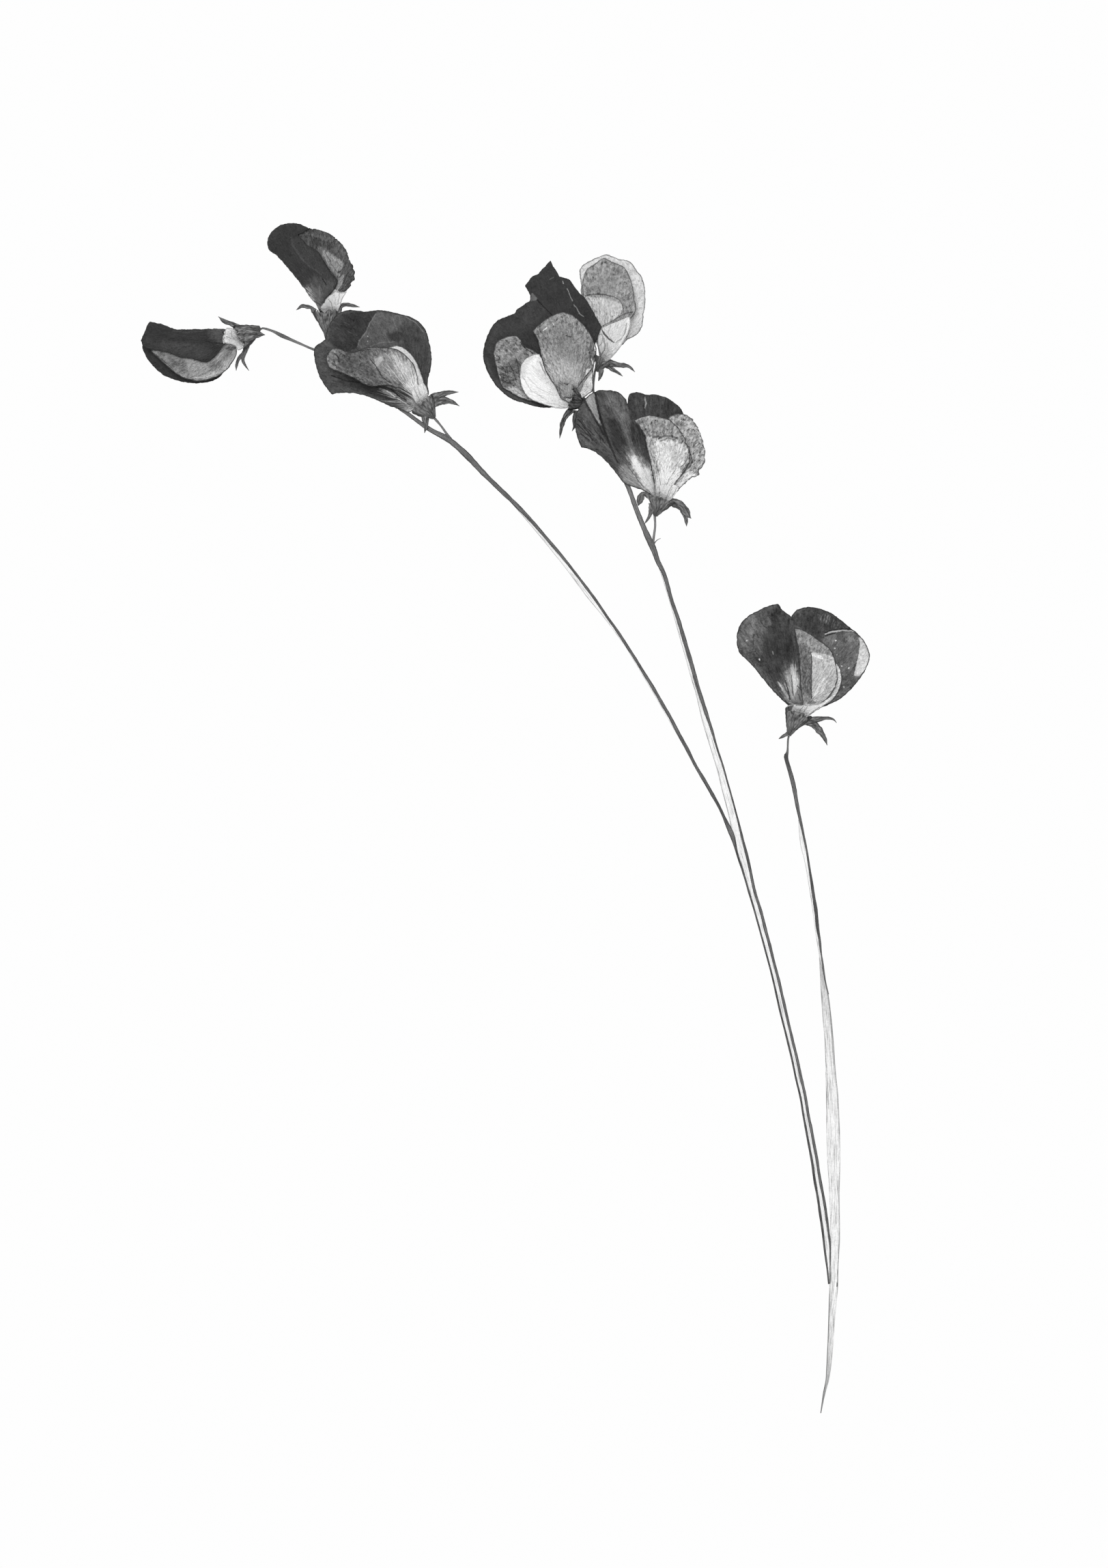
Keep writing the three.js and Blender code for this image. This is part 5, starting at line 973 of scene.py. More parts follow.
folded_banner(
    "b",
    far=[(-0.6, 1.2), (0.9, 2.6), (2.1, 4.5), (3, 7), (2.7, 9.6), (1.4, 12.3), (-0.5, 15), (-3, 17.1),
         (-5.3, 18.2), (-7.7, 18.9), (-10.2, 18.8)],
    fold=[(-3, 0.8), (-4.2, 2.2), (-6.4, 5.3), (-9.6, 9.3), (-12.3, 12.3), (-13.9, 13.4), (-14.4, 15),
          (-14.1, 16.6), (-13.1, 17.8)],
    near=[(-0.8, 1.4), (-0.2, 2.4), (1.1, 3.8), (2.1, 5.4), (2.2, 6.4), (1.5, 7.1), (0.4, 8.5),
          (-0.9, 10.6), (-2.1, 12.8), (-3.4, 13.9), (-5, 14.7), (-6.1, 16), (-7.1, 17.1), (-7.1, 17.1),
          (-6.6, 17.7), (-5.5, 18.2), (-4.3, 18.4), (-4.3, 18.4), (-5, 18.8), (-6.5, 19.4), (-7.9, 19.6),
          (-9.3, 19.6), (-11, 19.2)],
    tone=64, claw=(200, 2.0), grain=(4, 2, 2, 4, 4),
    zones=(
        (72, 1, 0.8, 0, [(-8.1, 15.0), (-7.0, 16.6), (-4.6, 14.2), (-2.3, 13.0), (-0.7, 10.3), (1.5, 7.0),
                         (-0.7, 7.2), (-3.2, 9.2), (-5.7, 11.1), (-7.3, 13.0)]),
        (92, 2, 0.9, 0, [(-5.1, 5.6), (-2.9, 7.2), (-0.7, 6.7), (1.5, 6.1), (1.5, 4.2), (0.1, 2.5),
                         (-1.2, 1.2), (-2.3, 0.3), (-4.0, 1.4), (-4.8, 3.4)]),
        (122, 1.6, 0.8, 4, [(-5.0, 5.0), (-4.0, 5.0), (-1.8, 4.5), (-1.6, 2.8), (-1.8, 0.2), (-2.6, 0.6),
                            (-4.0, 2.3)]),
        (198, 1, 0.9, 3, [(-5.0, 4.9), (-4.4, 4.6), (-3.8, 3.0), (-2.9, 1.1), (-1.8, 0.3), (-2.3, 0.0),
                          (-3.9, 1.4), (-4.7, 3.4)]),),
    marks=(
        (82, [(-8.6, 16.3, 0.2), (-8.2, 14.8, 0.22), (-7.3, 13.1, 0.22), (-5.9, 11.2, 0.2),
              (-4.0, 9.5, 0.18), (-2.3, 8.3, 0.14), (-1.4, 7.6, 0.08)]),
        (130, [(-2.0, 5.0, 0.08), (-1.8, 3.4, 0.1), (-1.9, 1.7, 0.08)]),
        (105, [(-0.7, 5.0, 0.08), (0.0, 4.5, 0.1)]),
        (125, [(-3.7, 5.0, 0.06), (-3.2, 3.6, 0.08), (-2.6, 2.5, 0.06)]),
        (40, [(-1.2, 6.7, 0.08), (-0.4, 5.3, 0.08)]),))


# Back wings: the wing petal that lies between the standard and the keel, held by its claw in the cup.
# Only its rim shows from above. It is a paler, crumpled skin.
def under_wing(letter, left, right, claw=(240, 3.0), grain=(6, 6, 11, 6, 6), **looks):
    """A bloom's back wing, one layer above its standard."""
    open_petal("under_wing", "wing_back", "wing", letter, 1, left, right, size=(80, 14), claw=claw,
               grain=grain, **looks)


under_wing(
    "a",
    left=[(-0.4, -1), (-0.9, -3.6), (-2.9, -6.7), (-6.2, -8.6), (-10.4, -8.9), (-14.2, -7.5),
          (-17.4, -4.6)],
    right=[(-0.7, 0), (-4.4, 0.8), (-9, 0.8), (-13.4, 0.4), (-16.2, -1.4), (-17.4, -4.6)],
    tone=120)
under_wing(
    "b",
    left=[(-0.3, 0.6), (-0.9, 4), (-2.4, 8), (-4, 11.5), (-4.6, 14.6), (-3.6, 16.4)],
    right=[(0.8, 0.6), (2.4, 2.8), (4.2, 5.2), (4.8, 8.4), (4, 11.4), (2.4, 14.2), (-0.2, 16.2),
           (-3.6, 16.4)],
    tone=110)
under_wing(
    "c",
    left=[(-0.4, 0.2), (-3.4, 2.2), (-7.4, 3.8), (-11, 4.8), (-14, 6.6), (-16.6, 8.6), (-17.8, 10.6)],
    right=[(0.6, 0.9), (0.3, 5), (-0.4, 8.2), (-2.2, 10.8), (-5.4, 12.4), (-9.6, 12.6), (-13.6, 12),
           (-17.8, 10.6)],
    tone=120)
under_wing(
    "d",
    left=[(-1.1, -0.4), (-6.1, 0.2), (-11.7, 1.4), (-14.9, 3.2), (-16.5, 4.2), (-17.4, 7), (-18.1, 9.9),
          (-18.4, 12.3), (-17.8, 14.4), (-16, 15.7), (-14.1, 16.2), (-12.8, 16), (-12, 15.2)],
    right=[(-0.6, 0.2), (-3.7, 4.3), (-6.4, 9.1), (-7.7, 11.7), (-9.6, 13), (-11.2, 13.8), (-12, 15.2)],
    tone=143, grain=(8, 8, 14, 6, 6),
    zones=(
        (100, 1.2, 0.8, 0, [(-17.0, 8.5), (-13.5, 10.7), (-12.1, 8.9), (-13.1, 6.3), (-14.2, 4.3),
                            (-16.4, 4.7)]),
        (185, 0.8, 0.9, 0, [(-16.6, 3.4), (-14.2, 4.3), (-12.4, 3.6), (-10.4, 1.4), (-7.4, -0.3),
                            (-9.1, -0.9), (-12.6, 0.5), (-15.3, 2.3)]),),
    marks=(
        (70, [(-16.2, 8.9, 0.08), (-15.3, 6.7, 0.08), (-14.2, 4.7, 0.08)]),
        (70, [(-14.8, 9.8, 0.08), (-13.7, 7.6, 0.08), (-13.1, 5.4, 0.08)]),
        (70, [(-13.1, 10.7, 0.08), (-12.6, 8.5, 0.08), (-12.4, 6.3, 0.08)]),
        (75, [(-15.5, 8.5, 0.06), (-14.8, 6.3, 0.06)]),
        (75, [(-17.0, 7.1, 0.07), (-15.7, 5.2, 0.07)]),
        (70, [(-12.1, 14.6, 0.1), (-10.9, 13.1, 0.1), (-9.1, 11.9, 0.08)]),))
under_wing(
    "e",
    left=[(-0.5, 0.6), (-1.6, 4.6), (-3.4, 9.4), (-4.2, 14), (-3.6, 18), (-1.4, 20.6), (0.6, 21.2)],
    right=[(0.6, 0.6), (2, 4.4), (4.6, 8.6), (6, 12.4), (5.6, 16.6), (3.8, 19.8), (0.6, 21.2)],
    tone=185)
under_wing(
    "f",
    left=[(1.6, 0.4), (1.3, 4.8), (0.3, 9.6), (0.2, 14.4), (1.4, 18.1), (4.2, 19.8)],
    right=[(2.8, 0.3), (4.2, 1.5), (5.8, 3), (7.7, 4.8), (9.6, 5.4), (9.6, 5.4), (9.6, 6.7), (10.7, 8),
           (11, 10.6), (10.4, 14.1), (9.3, 16.6), (8, 18.7), (6.2, 19.8), (4.2, 19.8)],
    tone=168, claw=(240, 4.0), grain=(5, 6, 25, 6, 6), rim=95, crinkle=1.6, frill=2.2,
    zones=(
        (236, 0.8, 1, 3, [(6.6, 6.9), (9.1, 5.8), (9.4, 5.3), (7.7, 4.7), (5.8, 2.9), (4.2, 1.3),
                          (3.3, 0.1), (1.5, 0.1), (3.0, 2.6), (5.1, 5.1)]),),
    marks=(
        (90, [(7.3, 11.9, 0.12), (8.0, 8.7, 0.12), (7.3, 7.3, 0.1)]),))
under_wing(
    "g",
    left=[(2, 0.2), (3.2, 5.6), (4.8, 10.4), (7.2, 12.6)],
    right=[(3, -0.1), (5.1, 1.3), (7.7, 2.9), (9.6, 5.6), (10.2, 8.2), (9.8, 10.6), (8.5, 12.3),
           (7.2, 12.6)],
    tone=222, claw=(245, 3.0))


# Keels: the boat of two narrow petals grown together along their lower edge, closed round the
# stamens. It is white or pale, and stands a little proud where it was pressed.
BOAT_ROWS, BOAT_COLUMNS = 60, 9
BOAT_WALL = 0.26
BOAT_RELIEF = 0.05


def boat(letter, left, right, tone, claw=(245, 4), grain=(5, 3, 3, 3, 4), zones=(), marks=(), rim=120):
    """A bloom's keel, two layers above its standard: a closed skin, swollen along its middle."""
    net, edge = rungs(rooted(letter, left), None, rooted(letter, right), BOAT_ROWS, BOAT_COLUMNS)
    share = np.linspace(-1, 1, net.shape[1])
    swell = np.sqrt(1 - share ** 2) * np.clip(np.linspace(0, 12, BOAT_ROWS + 1), 0.3, 1)[:, None]
    middle = rise(letter, 2, net)
    crown = 2 * (middle - rise(letter, 1, net) - PITCH)
    bm = bmesh.new()
    ring = np.hstack([net, net[:, -2::-1]])
    edge = np.hstack([edge, edge[:, -2::-1]])
    over = middle + crown / 2 * swell + BOAT_WALL * swell
    under = middle - crown / 2 - BOAT_WALL * swell
    level = np.hstack([over, under[:, -2::-1]])
    lay_petal(bm, letter, 2, ring, edge, 0.5, zones, 0.0, level)
    skin = petal_skin(f"boat_{letter}_skin", tone, claw, grain, zones, marks, rim, BOAT_RELIEF)
    piece_of(f"boat_{letter}", bm, skin, f"keel_{letter}", closed=True)


boat(
    "a",
    left=[(-0.4, -1), (-1.1, -3.5), (-3.2, -6.1), (-6.1, -7.7), (-9.6, -8), (-12.8, -7), (-15, -5)],
    right=[(-0.6, 0), (-4, -0.5), (-8, -1), (-12, -2.2), (-15, -5)],
    tone=190)
boat(
    "b",
    left=[(0, 0.5), (-0.2, 3.5), (-0.8, 7.5), (-1.8, 10.7), (-1.8, 13)],
    right=[(1, 0.6), (2.6, 2.7), (3.8, 5.1), (3.8, 8), (2.7, 10.6), (0.8, 12.5), (-1.8, 13)],
    tone=190)
boat(
    "c",
    left=[(-0.2, 0.4), (-3.2, 2.4), (-6.4, 4.2), (-8.8, 5.8), (-10.7, 8.3), (-11.4, 10.2), (-10.1, 11.8),
          (-7.2, 13.3), (-5.3, 13.8)],
    right=[(1.1, 1.2), (1.1, 4.8), (0.3, 7.5), (-0.8, 10.2), (-2.4, 12.2), (-4, 13.3), (-5.3, 13.8)],
    tone=225,
    marks=(
        (200, [(-3.9, 12.9, 0.06), (-1.4, 10.0, 0.06), (0.6, 6.3, 0.06)]),))
boat(
    "d",
    left=[(-1.1, -0.9), (-3.2, -1), (-6.9, 0), (-10.1, 1.4), (-11.8, 3.8), (-12.3, 7), (-11.7, 9.8),
          (-9.6, 11.4), (-7.7, 11.7)],
    right=[(-0.4, 0), (-1.6, 1.3), (-3.5, 4.2), (-5.1, 7), (-6.1, 9.6), (-7.7, 11.7)],
    tone=247, claw=(250, 4), grain=(3, 2, 2, 3, 5), rim=150,
    zones=(
        # painted shade over the keel's rounded end
        (215, 1.5, 0.8, 0, [(-12.4, 8.9), (-11.3, 10.7), (-9.1, 11.1), (-10.4, 8.9), (-11.3, 6.3),
                            (-12.1, 6.3)]),
        # painted shade beside the front wing's edge, combed into streaks
        (222, 1.5, 0.8, 6, [(-9.1, 9.8), (-7.7, 10.7), (-6.0, 7.1), (-4.3, 4.1), (-3.8, 2.3), (-6.0, 4.5),
                            (-8.2, 6.7)]),),
    marks=(
        (200, [(-12.1, 8.7, 0.08), (-11.5, 6.3, 0.08), (-9.6, 3.2, 0.08), (-6.0, 1.0, 0.06)]),
        (205, [(-10.4, 10.7, 0.07), (-8.7, 11.1, 0.07), (-7.6, 10.7, 0.07)]),
        # painted shade: a grey line along the front wing's edge
        (160, [(-7.5, 9.8, 0.1), (-6.6, 7.7, 0.12), (-6.0, 6.7, 0.08)]),
        (214, [(-10.4, 6.3, 0.08), (-8.2, 4.0, 0.1), (-4.3, 1.9, 0.08)]),
        (205, [(-6.0, 0.3, 0.06), (-3.4, -0.2, 0.06), (-1.6, -0.9, 0.06)]),))
boat(
    "e",
    left=[(-0.5, 0.6), (-1.9, 3.8), (-3.3, 8.6), (-3.9, 12.2), (-3, 14.1), (-0.6, 14.6)],
    right=[(0.9, 0.4), (2.2, 1.3), (4.2, 3.4), (5.8, 5.4), (6.1, 7.4), (5.3, 10.2), (4.5, 12.3),
           (3, 13.9), (1.4, 14.4), (-0.6, 14.6)],
    tone=236, rim=190)
boat(
    "f",
    left=[(0.3, 0.5), (-0.8, 4), (-1.4, 8), (-1.6, 10.9), (-1, 13.1), (1.3, 14.2)],
    right=[(1.6, 0.4), (3.2, 3.2), (5.1, 5.6), (6.4, 8.3), (6.1, 11.2), (4.3, 13.4), (1.3, 14.2)],
    tone=225)
boat(
    "g",
    left=[(1.6, 0.8), (2.6, 3.2), (2.9, 7.2), (2.9, 11.2), (3, 14.7)],
    right=[(2.7, 0), (5.6, 2.2), (7.8, 4.6), (8.6, 7.7), (8.3, 11), (6.9, 13.6), (4.8, 14.7), (3, 14.7)],
    tone=215)


# Front wings: the wing petal that lies on top of the keel, the most crumpled skin of the bloom. Its
# tone changes where the pale keel shines through it, and it is held by its claw in the cup.
def upper_wing(letter, left, right, tone, grain, **looks):
    """A bloom's front wing, three layers above its standard."""
    open_petal("upper_wing", "wing_front", "wing", letter, 3, left, right, tone=tone, size=(90, 16),
               claw=(245, 3.0), grain=grain, **looks)


upper_wing(
    "a",
    left=[(-0.4, -1.3), (-0.3, -3.2), (-1.1, -5.1), (-2.4, -6.9), (-4, -8.3), (-5.6, -9.1), (-8, -9.8),
          (-10.7, -9.8), (-14.1, -8.5), (-17.6, -5.6), (-20.5, -2.8)],
    right=[(-0.8, -0.2), (-4, 0.6), (-8.8, 0.8), (-14.1, 0.5), (-17.9, -0.6), (-20.5, -2.8)],
    tone=145, grain=(7, 4, 9, 6, 6),
    zones=(
        (122, 0.8, 0.8, 0, [(-20.1, -2.9), (-16.6, -3.2), (-12.9, -4.6), (-11.8, -6.3), (-12.5, -8.0),
                            (-15.3, -7.0), (-18.0, -4.9)]),
        (172, 1, 0.8, 0, [(-12.2, -4.6), (-9.4, -5.3), (-7.7, -5.6), (-6.4, -4.9), (-4.3, -3.2),
                          (-3.6, -3.9), (-5.7, -6.0), (-7.7, -7.7), (-10.5, -8.4), (-11.8, -6.7)]),
        (190, 0.8, 0.7, 0, [(-5.0, -6.3), (-2.2, -4.6), (-0.9, -2.9), (-0.4, -3.9), (-1.9, -6.3),
                            (-4.3, -8.0), (-7.7, -9.1), (-10.1, -8.9), (-7.0, -8.0)]),
        (100, 0.3, 0.9, 0, [(-3.3, -2.0), (-0.9, -1.8), (-0.6, -2.4), (-1.6, -2.7), (-2.7, -2.5)]),
        (240, 0.2, 1, 0, [(-0.6, -1.2), (1.9, -0.8), (1.9, -2.2), (0.0, -3.1), (-0.4, -2.2)]),
        (116, 1, 0.7, 2, [(-7.0, -6.3), (-5.7, -5.6), (-3.6, -6.0), (-4.3, -7.0), (-6.0, -7.3)]),
        (160, 1.6, 0.7, 0, [(-12.2, -5.3), (-9.4, -6.0), (-7.7, -6.7), (-7.7, -7.3), (-10.5, -7.7),
                            (-11.8, -6.7)]),),
    marks=(
        (85, [(-19.2, -3.7, 0.07), (-17.3, -5.3, 0.07), (-15.3, -7.0, 0.07)]),
        (205, [(-10.8, -9.1, 0.08), (-7.7, -8.9, 0.1), (-5.0, -8.0, 0.08)]),
        (185, [(-3.6, -2.9, 0.08), (-5.0, -4.6, 0.08)]),))
upper_wing(
    "b",
    left=[(-0.2, 0.4), (-0.5, 4.3), (-2.1, 8.3), (-4.6, 12.3), (-6.4, 15.5), (-7, 16.8), (-6.7, 17.7),
          (-5.4, 18.4)],
    right=[(1, 0.4), (2.1, 1.8), (3, 3.2), (4.3, 4.2), (5.4, 5.6), (6.1, 7), (6.1, 8.6), (5.4, 10.4),
           (4.2, 13.4), (3.2, 14.9), (1, 17), (-1.8, 18.2), (-4.2, 18.5), (-5.4, 18.4)],
    tone=94, grain=(8, 4, 8, 6, 6), crinkle=1.5, frill=3.0,
    zones=(
        (75, 1, 0.7, 0, [(-4.0, 16.6), (-1.8, 15.8), (-0.7, 15.5), (1.5, 14.4), (0.4, 13.9), (-2.3, 14.7),
                         (-4.3, 15.3)]),
        (120, 0.5, 0.8, 0, [(-2.9, 14.2), (-1.2, 13.9), (-0.7, 11.7), (0.4, 9.7), (1.5, 7.8), (2.4, 6.7),
                            (1.0, 7.8), (-0.7, 10.3), (-1.8, 12.2)]),
        (148, 0.5, 1, 1, [(-1.5, 13.6), (0.4, 13.0), (1.5, 11.9), (2.6, 11.4), (3.5, 10.3), (3.3, 9.5),
                          (2.6, 8.3), (2.9, 7.2), (2.1, 7.5), (1.0, 8.9), (-0.1, 10.6), (-1.1, 12.2)]),
        (160, 0.4, 0.9, 0, [(2.6, 7.2), (3.7, 7.8), (3.5, 6.1), (2.9, 4.8), (1.8, 3.6), (2.1, 5.6)]),
        (240, 0.3, 1, 0, [(1.5, 4.5), (3.2, 3.6), (4.3, 3.9), (3.7, 2.3), (2.9, 0.6), (2.1, -0.8),
                          (-0.7, -0.8), (-1.6, -0.2), (-0.1, 2.0)]),),
    marks=(
        # painted highlight: a thin pale line just inside the rim
        (165, [(-0.7, 18.0, 0.07), (1.0, 17.2, 0.07), (2.6, 15.5, 0.07), (4.0, 13.9, 0.07)]),
        # painted shade: a dark line on the wing along the edge of the folded standard's near half, which
        # lies over it
        (60, [(-2.3, 13.0, 0.1), (-1.2, 11.1, 0.12), (0.1, 9.2, 0.1), (1.8, 7.0, 0.1)]),
        (100, [(-0.7, 13.0, 0.07), (0.1, 11.7, 0.08), (0.7, 10.6, 0.07)]),
        (108, [(0.4, 10.8, 0.07), (1.5, 9.2, 0.08), (2.2, 8.3, 0.07)]),
        (105, [(1.8, 11.1, 0.06), (2.9, 9.7, 0.08)]),
        (185, [(1.1, 11.8, 0.06), (1.9, 11.0, 0.08)]),
        (172, [(-1.1, 13.0, 0.06), (-0.3, 11.1, 0.08), (0.4, 9.7, 0.07)]),
        (70, [(2.3, 8.3, 0.12), (2.9, 8.6, 0.14)]),
        (150, [(0.1, 1.7, 0.06), (1.0, 0.9, 0.06), (1.1, -0.5, 0.06)]),
        (160, [(2.6, 3.4, 0.06), (2.2, 1.2, 0.06)]),))
upper_wing(
    "c",
    left=[(-0.5, 0.1), (-1.8, 1.9), (-4.8, 3.5), (-7.8, 4.2), (-11.8, 4), (-15.2, 5.8), (-19.2, 7.5),
          (-21, 8.2), (-21.6, 9.4), (-21.9, 10.7)],
    right=[(0.5, 0.8), (-0.2, 4.3), (-0.8, 7.5), (-1.8, 9.9), (-4.8, 12.5), (-7.2, 13.1), (-10.4, 13.3),
           (-12.8, 13), (-15.2, 12), (-16.8, 12), (-18.9, 12.8), (-20.5, 12.5), (-21.9, 10.7)],
    tone=122, grain=(6, 5, 10, 6, 6),
    zones=(
        (95, 0.8, 0.8, 0, [(-21.4, 10.8), (-19.8, 12.5), (-17.3, 11.6), (-14.5, 12.5), (-11.6, 12.9),
                           (-11.6, 9.6), (-10.0, 6.3), (-9.2, 4.3), (-11.6, 4.3), (-15.7, 6.7),
                           (-19.8, 8.4)]),
        (140, 0.5, 0.8, 0, [(-21.6, 10.8), (-20.2, 12.2), (-18.6, 11.8), (-19.2, 10.4), (-19.2, 8.4),
                            (-20.6, 8.0), (-21.4, 9.6)]),
        (148, 0.6, 0.9, 0, [(-10.8, 10.8), (-8.4, 11.8), (-5.1, 12.0), (-2.7, 10.8), (-1.0, 8.4),
                            (-1.2, 6.3), (-2.7, 4.7), (-5.1, 5.1), (-7.6, 5.5), (-9.2, 7.6)]),
        (215, 2.2, 0.9, 9, [(-5.7, 10.8), (-3.5, 10.4), (-1.4, 8.0), (-0.8, 4.7), (-1.4, 1.4),
                            (-2.7, 3.1), (-3.9, 5.5), (-5.1, 8.0)]),
        (185, 0.4, 0.9, 0, [(-10.4, 10.4), (-9.0, 11.0), (-8.6, 10.4), (-9.6, 8.8), (-10.4, 8.4)]),
        (244, 0.8, 1, 5, [(-1.4, 6.7), (-0.4, 7.6), (0.8, 5.5), (2.0, 1.8), (0.6, -0.2), (-1.0, 1.4),
                          (-2.0, 3.1), (-3.5, 4.3), (-2.0, 5.5)]),),
    marks=(
        (60, [(-11.4, 10.2, 0.08), (-10.0, 8.4, 0.1), (-8.8, 6.3, 0.1), (-6.7, 4.7, 0.08)]),
        (205, [(-8.0, 8.4, 0.06), (-6.9, 7.6, 0.06), (-6.7, 6.3, 0.06)]),
        (60, [(-19.8, 11.6, 0.07), (-18.9, 10.6, 0.1), (-18.7, 9.6, 0.07)]),
        (45, [(-13.7, 9.2, 0.12)]),
        (50, [(-15.7, 12.0, 0.06), (-11.6, 12.7, 0.06)]),
        (50, [(-19.8, 9.6, 0.07), (-19.2, 8.0, 0.07)]),
        (215, [(-4.9, 10.2, 0.08), (-3.5, 7.6, 0.1), (-1.8, 4.3, 0.08)]),
        (210, [(-3.5, 9.8, 0.06), (-2.2, 7.6, 0.08), (-1.4, 4.7, 0.06)]),))
upper_wing(
    "d",
    left=[(-0.8, 0.4), (-2.6, 1.3), (-3.8, 3.8), (-6.1, 7.5), (-7.2, 11), (-8, 14.7), (-9.3, 17)],
    right=[(0.4, 0.7), (1.7, 1.1), (2.4, 1.3), (3.8, 2.3), (4.9, 3.4), (4.9, 6.3), (5, 8.2), (5.6, 10.7),
           (5.6, 12.8), (4.8, 14.9), (3.7, 16.8), (2.4, 18.4), (0.8, 19.8), (-1, 20.8), (-2.9, 21),
           (-5.9, 19.7), (-9.3, 17)],
    tone=143, grain=(6, 5, 15, 6, 6),
    zones=(
        (172, 3, 0.8, 0, [(-6.9, 12.4), (-3.4, 12.0), (0.1, 10.7), (2.3, 8.0), (1.0, 5.4), (0.1, 4.5),
                          (-2.9, 4.9), (-5.1, 6.7)]),
        (190, 1.5, 0.9, 0, [(-5.1, 8.9), (-2.9, 9.8), (0.1, 8.9), (1.9, 6.3), (1.0, 4.5), (-0.7, 5.4),
                            (-2.5, 5.2), (-3.8, 4.5), (-4.7, 6.3)]),
        (236, 0.3, 1, 0, [(3.2, 7.7), (4.5, 8.0), (5.2, 6.3), (5.3, 3.6), (3.7, 2.3), (2.3, 1.3),
                          (1.7, 2.3), (2.8, 4.7)]),
        (150, 0.2, 1, 0, [(1.0, 3.5), (2.3, 5.4), (4.3, 7.9), (4.8, 7.5), (2.8, 4.7), (1.6, 2.1)]),
        (225, 0.6, 1, 0, [(-4.3, 3.6), (-2.7, 2.3), (-2.5, 0.5), (-3.6, 1.2), (-4.9, 2.7)]),
        (168, 0.3, 0.9, 0, [(-2.6, 4.3), (-1.6, 4.7), (-0.5, 4.6), (0.2, 3.6), (0.4, 2.5), (-0.3, 1.6),
                            (-1.4, 1.4), (-2.4, 1.9), (-2.9, 3.0)]),
        (232, 0.5, 1, 0, [(-2.5, 0.9), (-0.7, 1.2), (0.5, 1.1), (1.0, 0.1), (-0.3, -0.8), (-1.6, -0.3)]),
        (100, 0.5, 0.6, 0, [(4.1, 14.2), (5.2, 14.2), (5.8, 12.4), (5.4, 9.8), (4.5, 8.5),
                            (3.9, 10.7)]),),
    marks=(
        (245, [(-6.7, 17.0, 0.13), (-5.9, 17.5, 0.13)]),
        (235, [(-4.4, 18.6, 0.09), (-4.3, 18.2, 0.09)]),
        (75, [(-1.4, 15.6, 0.1), (-0.3, 15.3, 0.12)]),
        (85, [(-9.1, 16.9, 0.14), (-8.2, 15.1, 0.12), (-7.6, 12.4, 0.1)]),
        (80, [(4.5, 13.3, 0.1), (4.0, 11.6, 0.1)]),
        (230, [(5.2, 13.3, 0.12), (5.4, 12.2, 0.12)]),
        (240, [(4.5, 10.2, 0.1), (5.0, 8.9, 0.1)]),
        (90, [(1.0, 3.6, 0.06), (2.8, 5.8, 0.06), (4.5, 7.9, 0.06)]),
        (95, [(-3.0, 3.6, 0.08), (-2.7, 1.9, 0.12), (-1.6, 1.2, 0.1)]),
        (95, [(0.1, 4.4, 0.08), (0.6, 3.1, 0.1), (0.4, 1.9, 0.08)]),
        (100, [(-1.8, 4.8, 0.12), (-1.2, 4.4, 0.14), (-0.7, 4.8, 0.08)]),
        (110, [(-2.8, 1.9, 0.08), (-2.6, 0.7, 0.1), (-1.6, 0.2, 0.08), (-0.6, -0.2, 0.08)]),
        (92, [(-1.7, 1.6, 0.14), (-0.5, 1.3, 0.18), (0.2, 1.7, 0.1)]),
        (135, [(-2.1, 1.2, 0.1), (-1.2, 0.6, 0.1)]),
        (92, [(0.1, 3.4, 0.14), (0.7, 2.7, 0.16), (1.0, 1.9, 0.14)]),))
upper_wing(
    "e",
    left=[(-0.5, 0.6), (-1.3, 3), (-1.9, 5.4), (-3.2, 8.3), (-4.4, 11.8), (-5, 15.8), (-4.7, 18.6),
          (-4.2, 20.2), (-3.4, 21), (-2.2, 21.8), (-0.6, 23), (0.3, 23.2)],
    right=[(0.4, 0.6), (0.6, 3), (0.8, 5.4), (1.6, 7.3), (1.6, 7.3), (4.5, 8.5), (6.1, 9.1), (7.4, 10.6),
           (7.5, 12.2), (7.2, 13.8), (6.9, 15.8), (6.4, 17.9), (5.6, 19.8), (4.5, 21.3), (3, 21.9),
           (1.4, 22.6), (0.3, 23.2)],
    tone=152, grain=(5, 4, 15, 5, 7), rim=100,
    zones=(
        (205, 0.5, 0.9, 0, [(-4.6, 14.3), (-2.4, 14.1), (0.7, 13.7), (3.8, 12.6), (4.4, 11.2), (2.4, 8.6),
                            (-0.2, 7.3), (-2.0, 8.6), (-3.7, 11.7)]),
        (240, 0.4, 1, 0, [(-0.6, 6.8), (2.4, 7.9), (5.5, 8.8), (5.5, 6.8), (3.8, 4.2), (1.8, 0.2),
                          (-0.2, 0.2), (-1.1, 2.4), (-1.4, 4.6)]),),
    marks=(
        (95, [(-4.3, 14.4, 0.12), (-2.4, 14.7, 0.16), (-0.2, 14.7, 0.16), (2.0, 14.2, 0.12),
              (3.8, 13.4, 0.1), (4.4, 12.1, 0.08), (4.7, 10.8, 0.08)]),
        (100, [(-0.2, 7.3, 0.08), (2.4, 8.6, 0.1), (4.2, 9.9, 0.1), (6.8, 10.6, 0.1)]),
        (95, [(-0.2, 6.2, 0.14), (0.5, 5.1, 0.14), (1.6, 4.0, 0.14), (2.5, 3.4, 0.1)]),
        (150, [(5.5, 8.6, 0.07), (4.9, 6.4, 0.07), (4.2, 4.6, 0.06)]),
        (160, [(-0.6, 5.1, 0.06), (-1.1, 2.4, 0.06)]),))
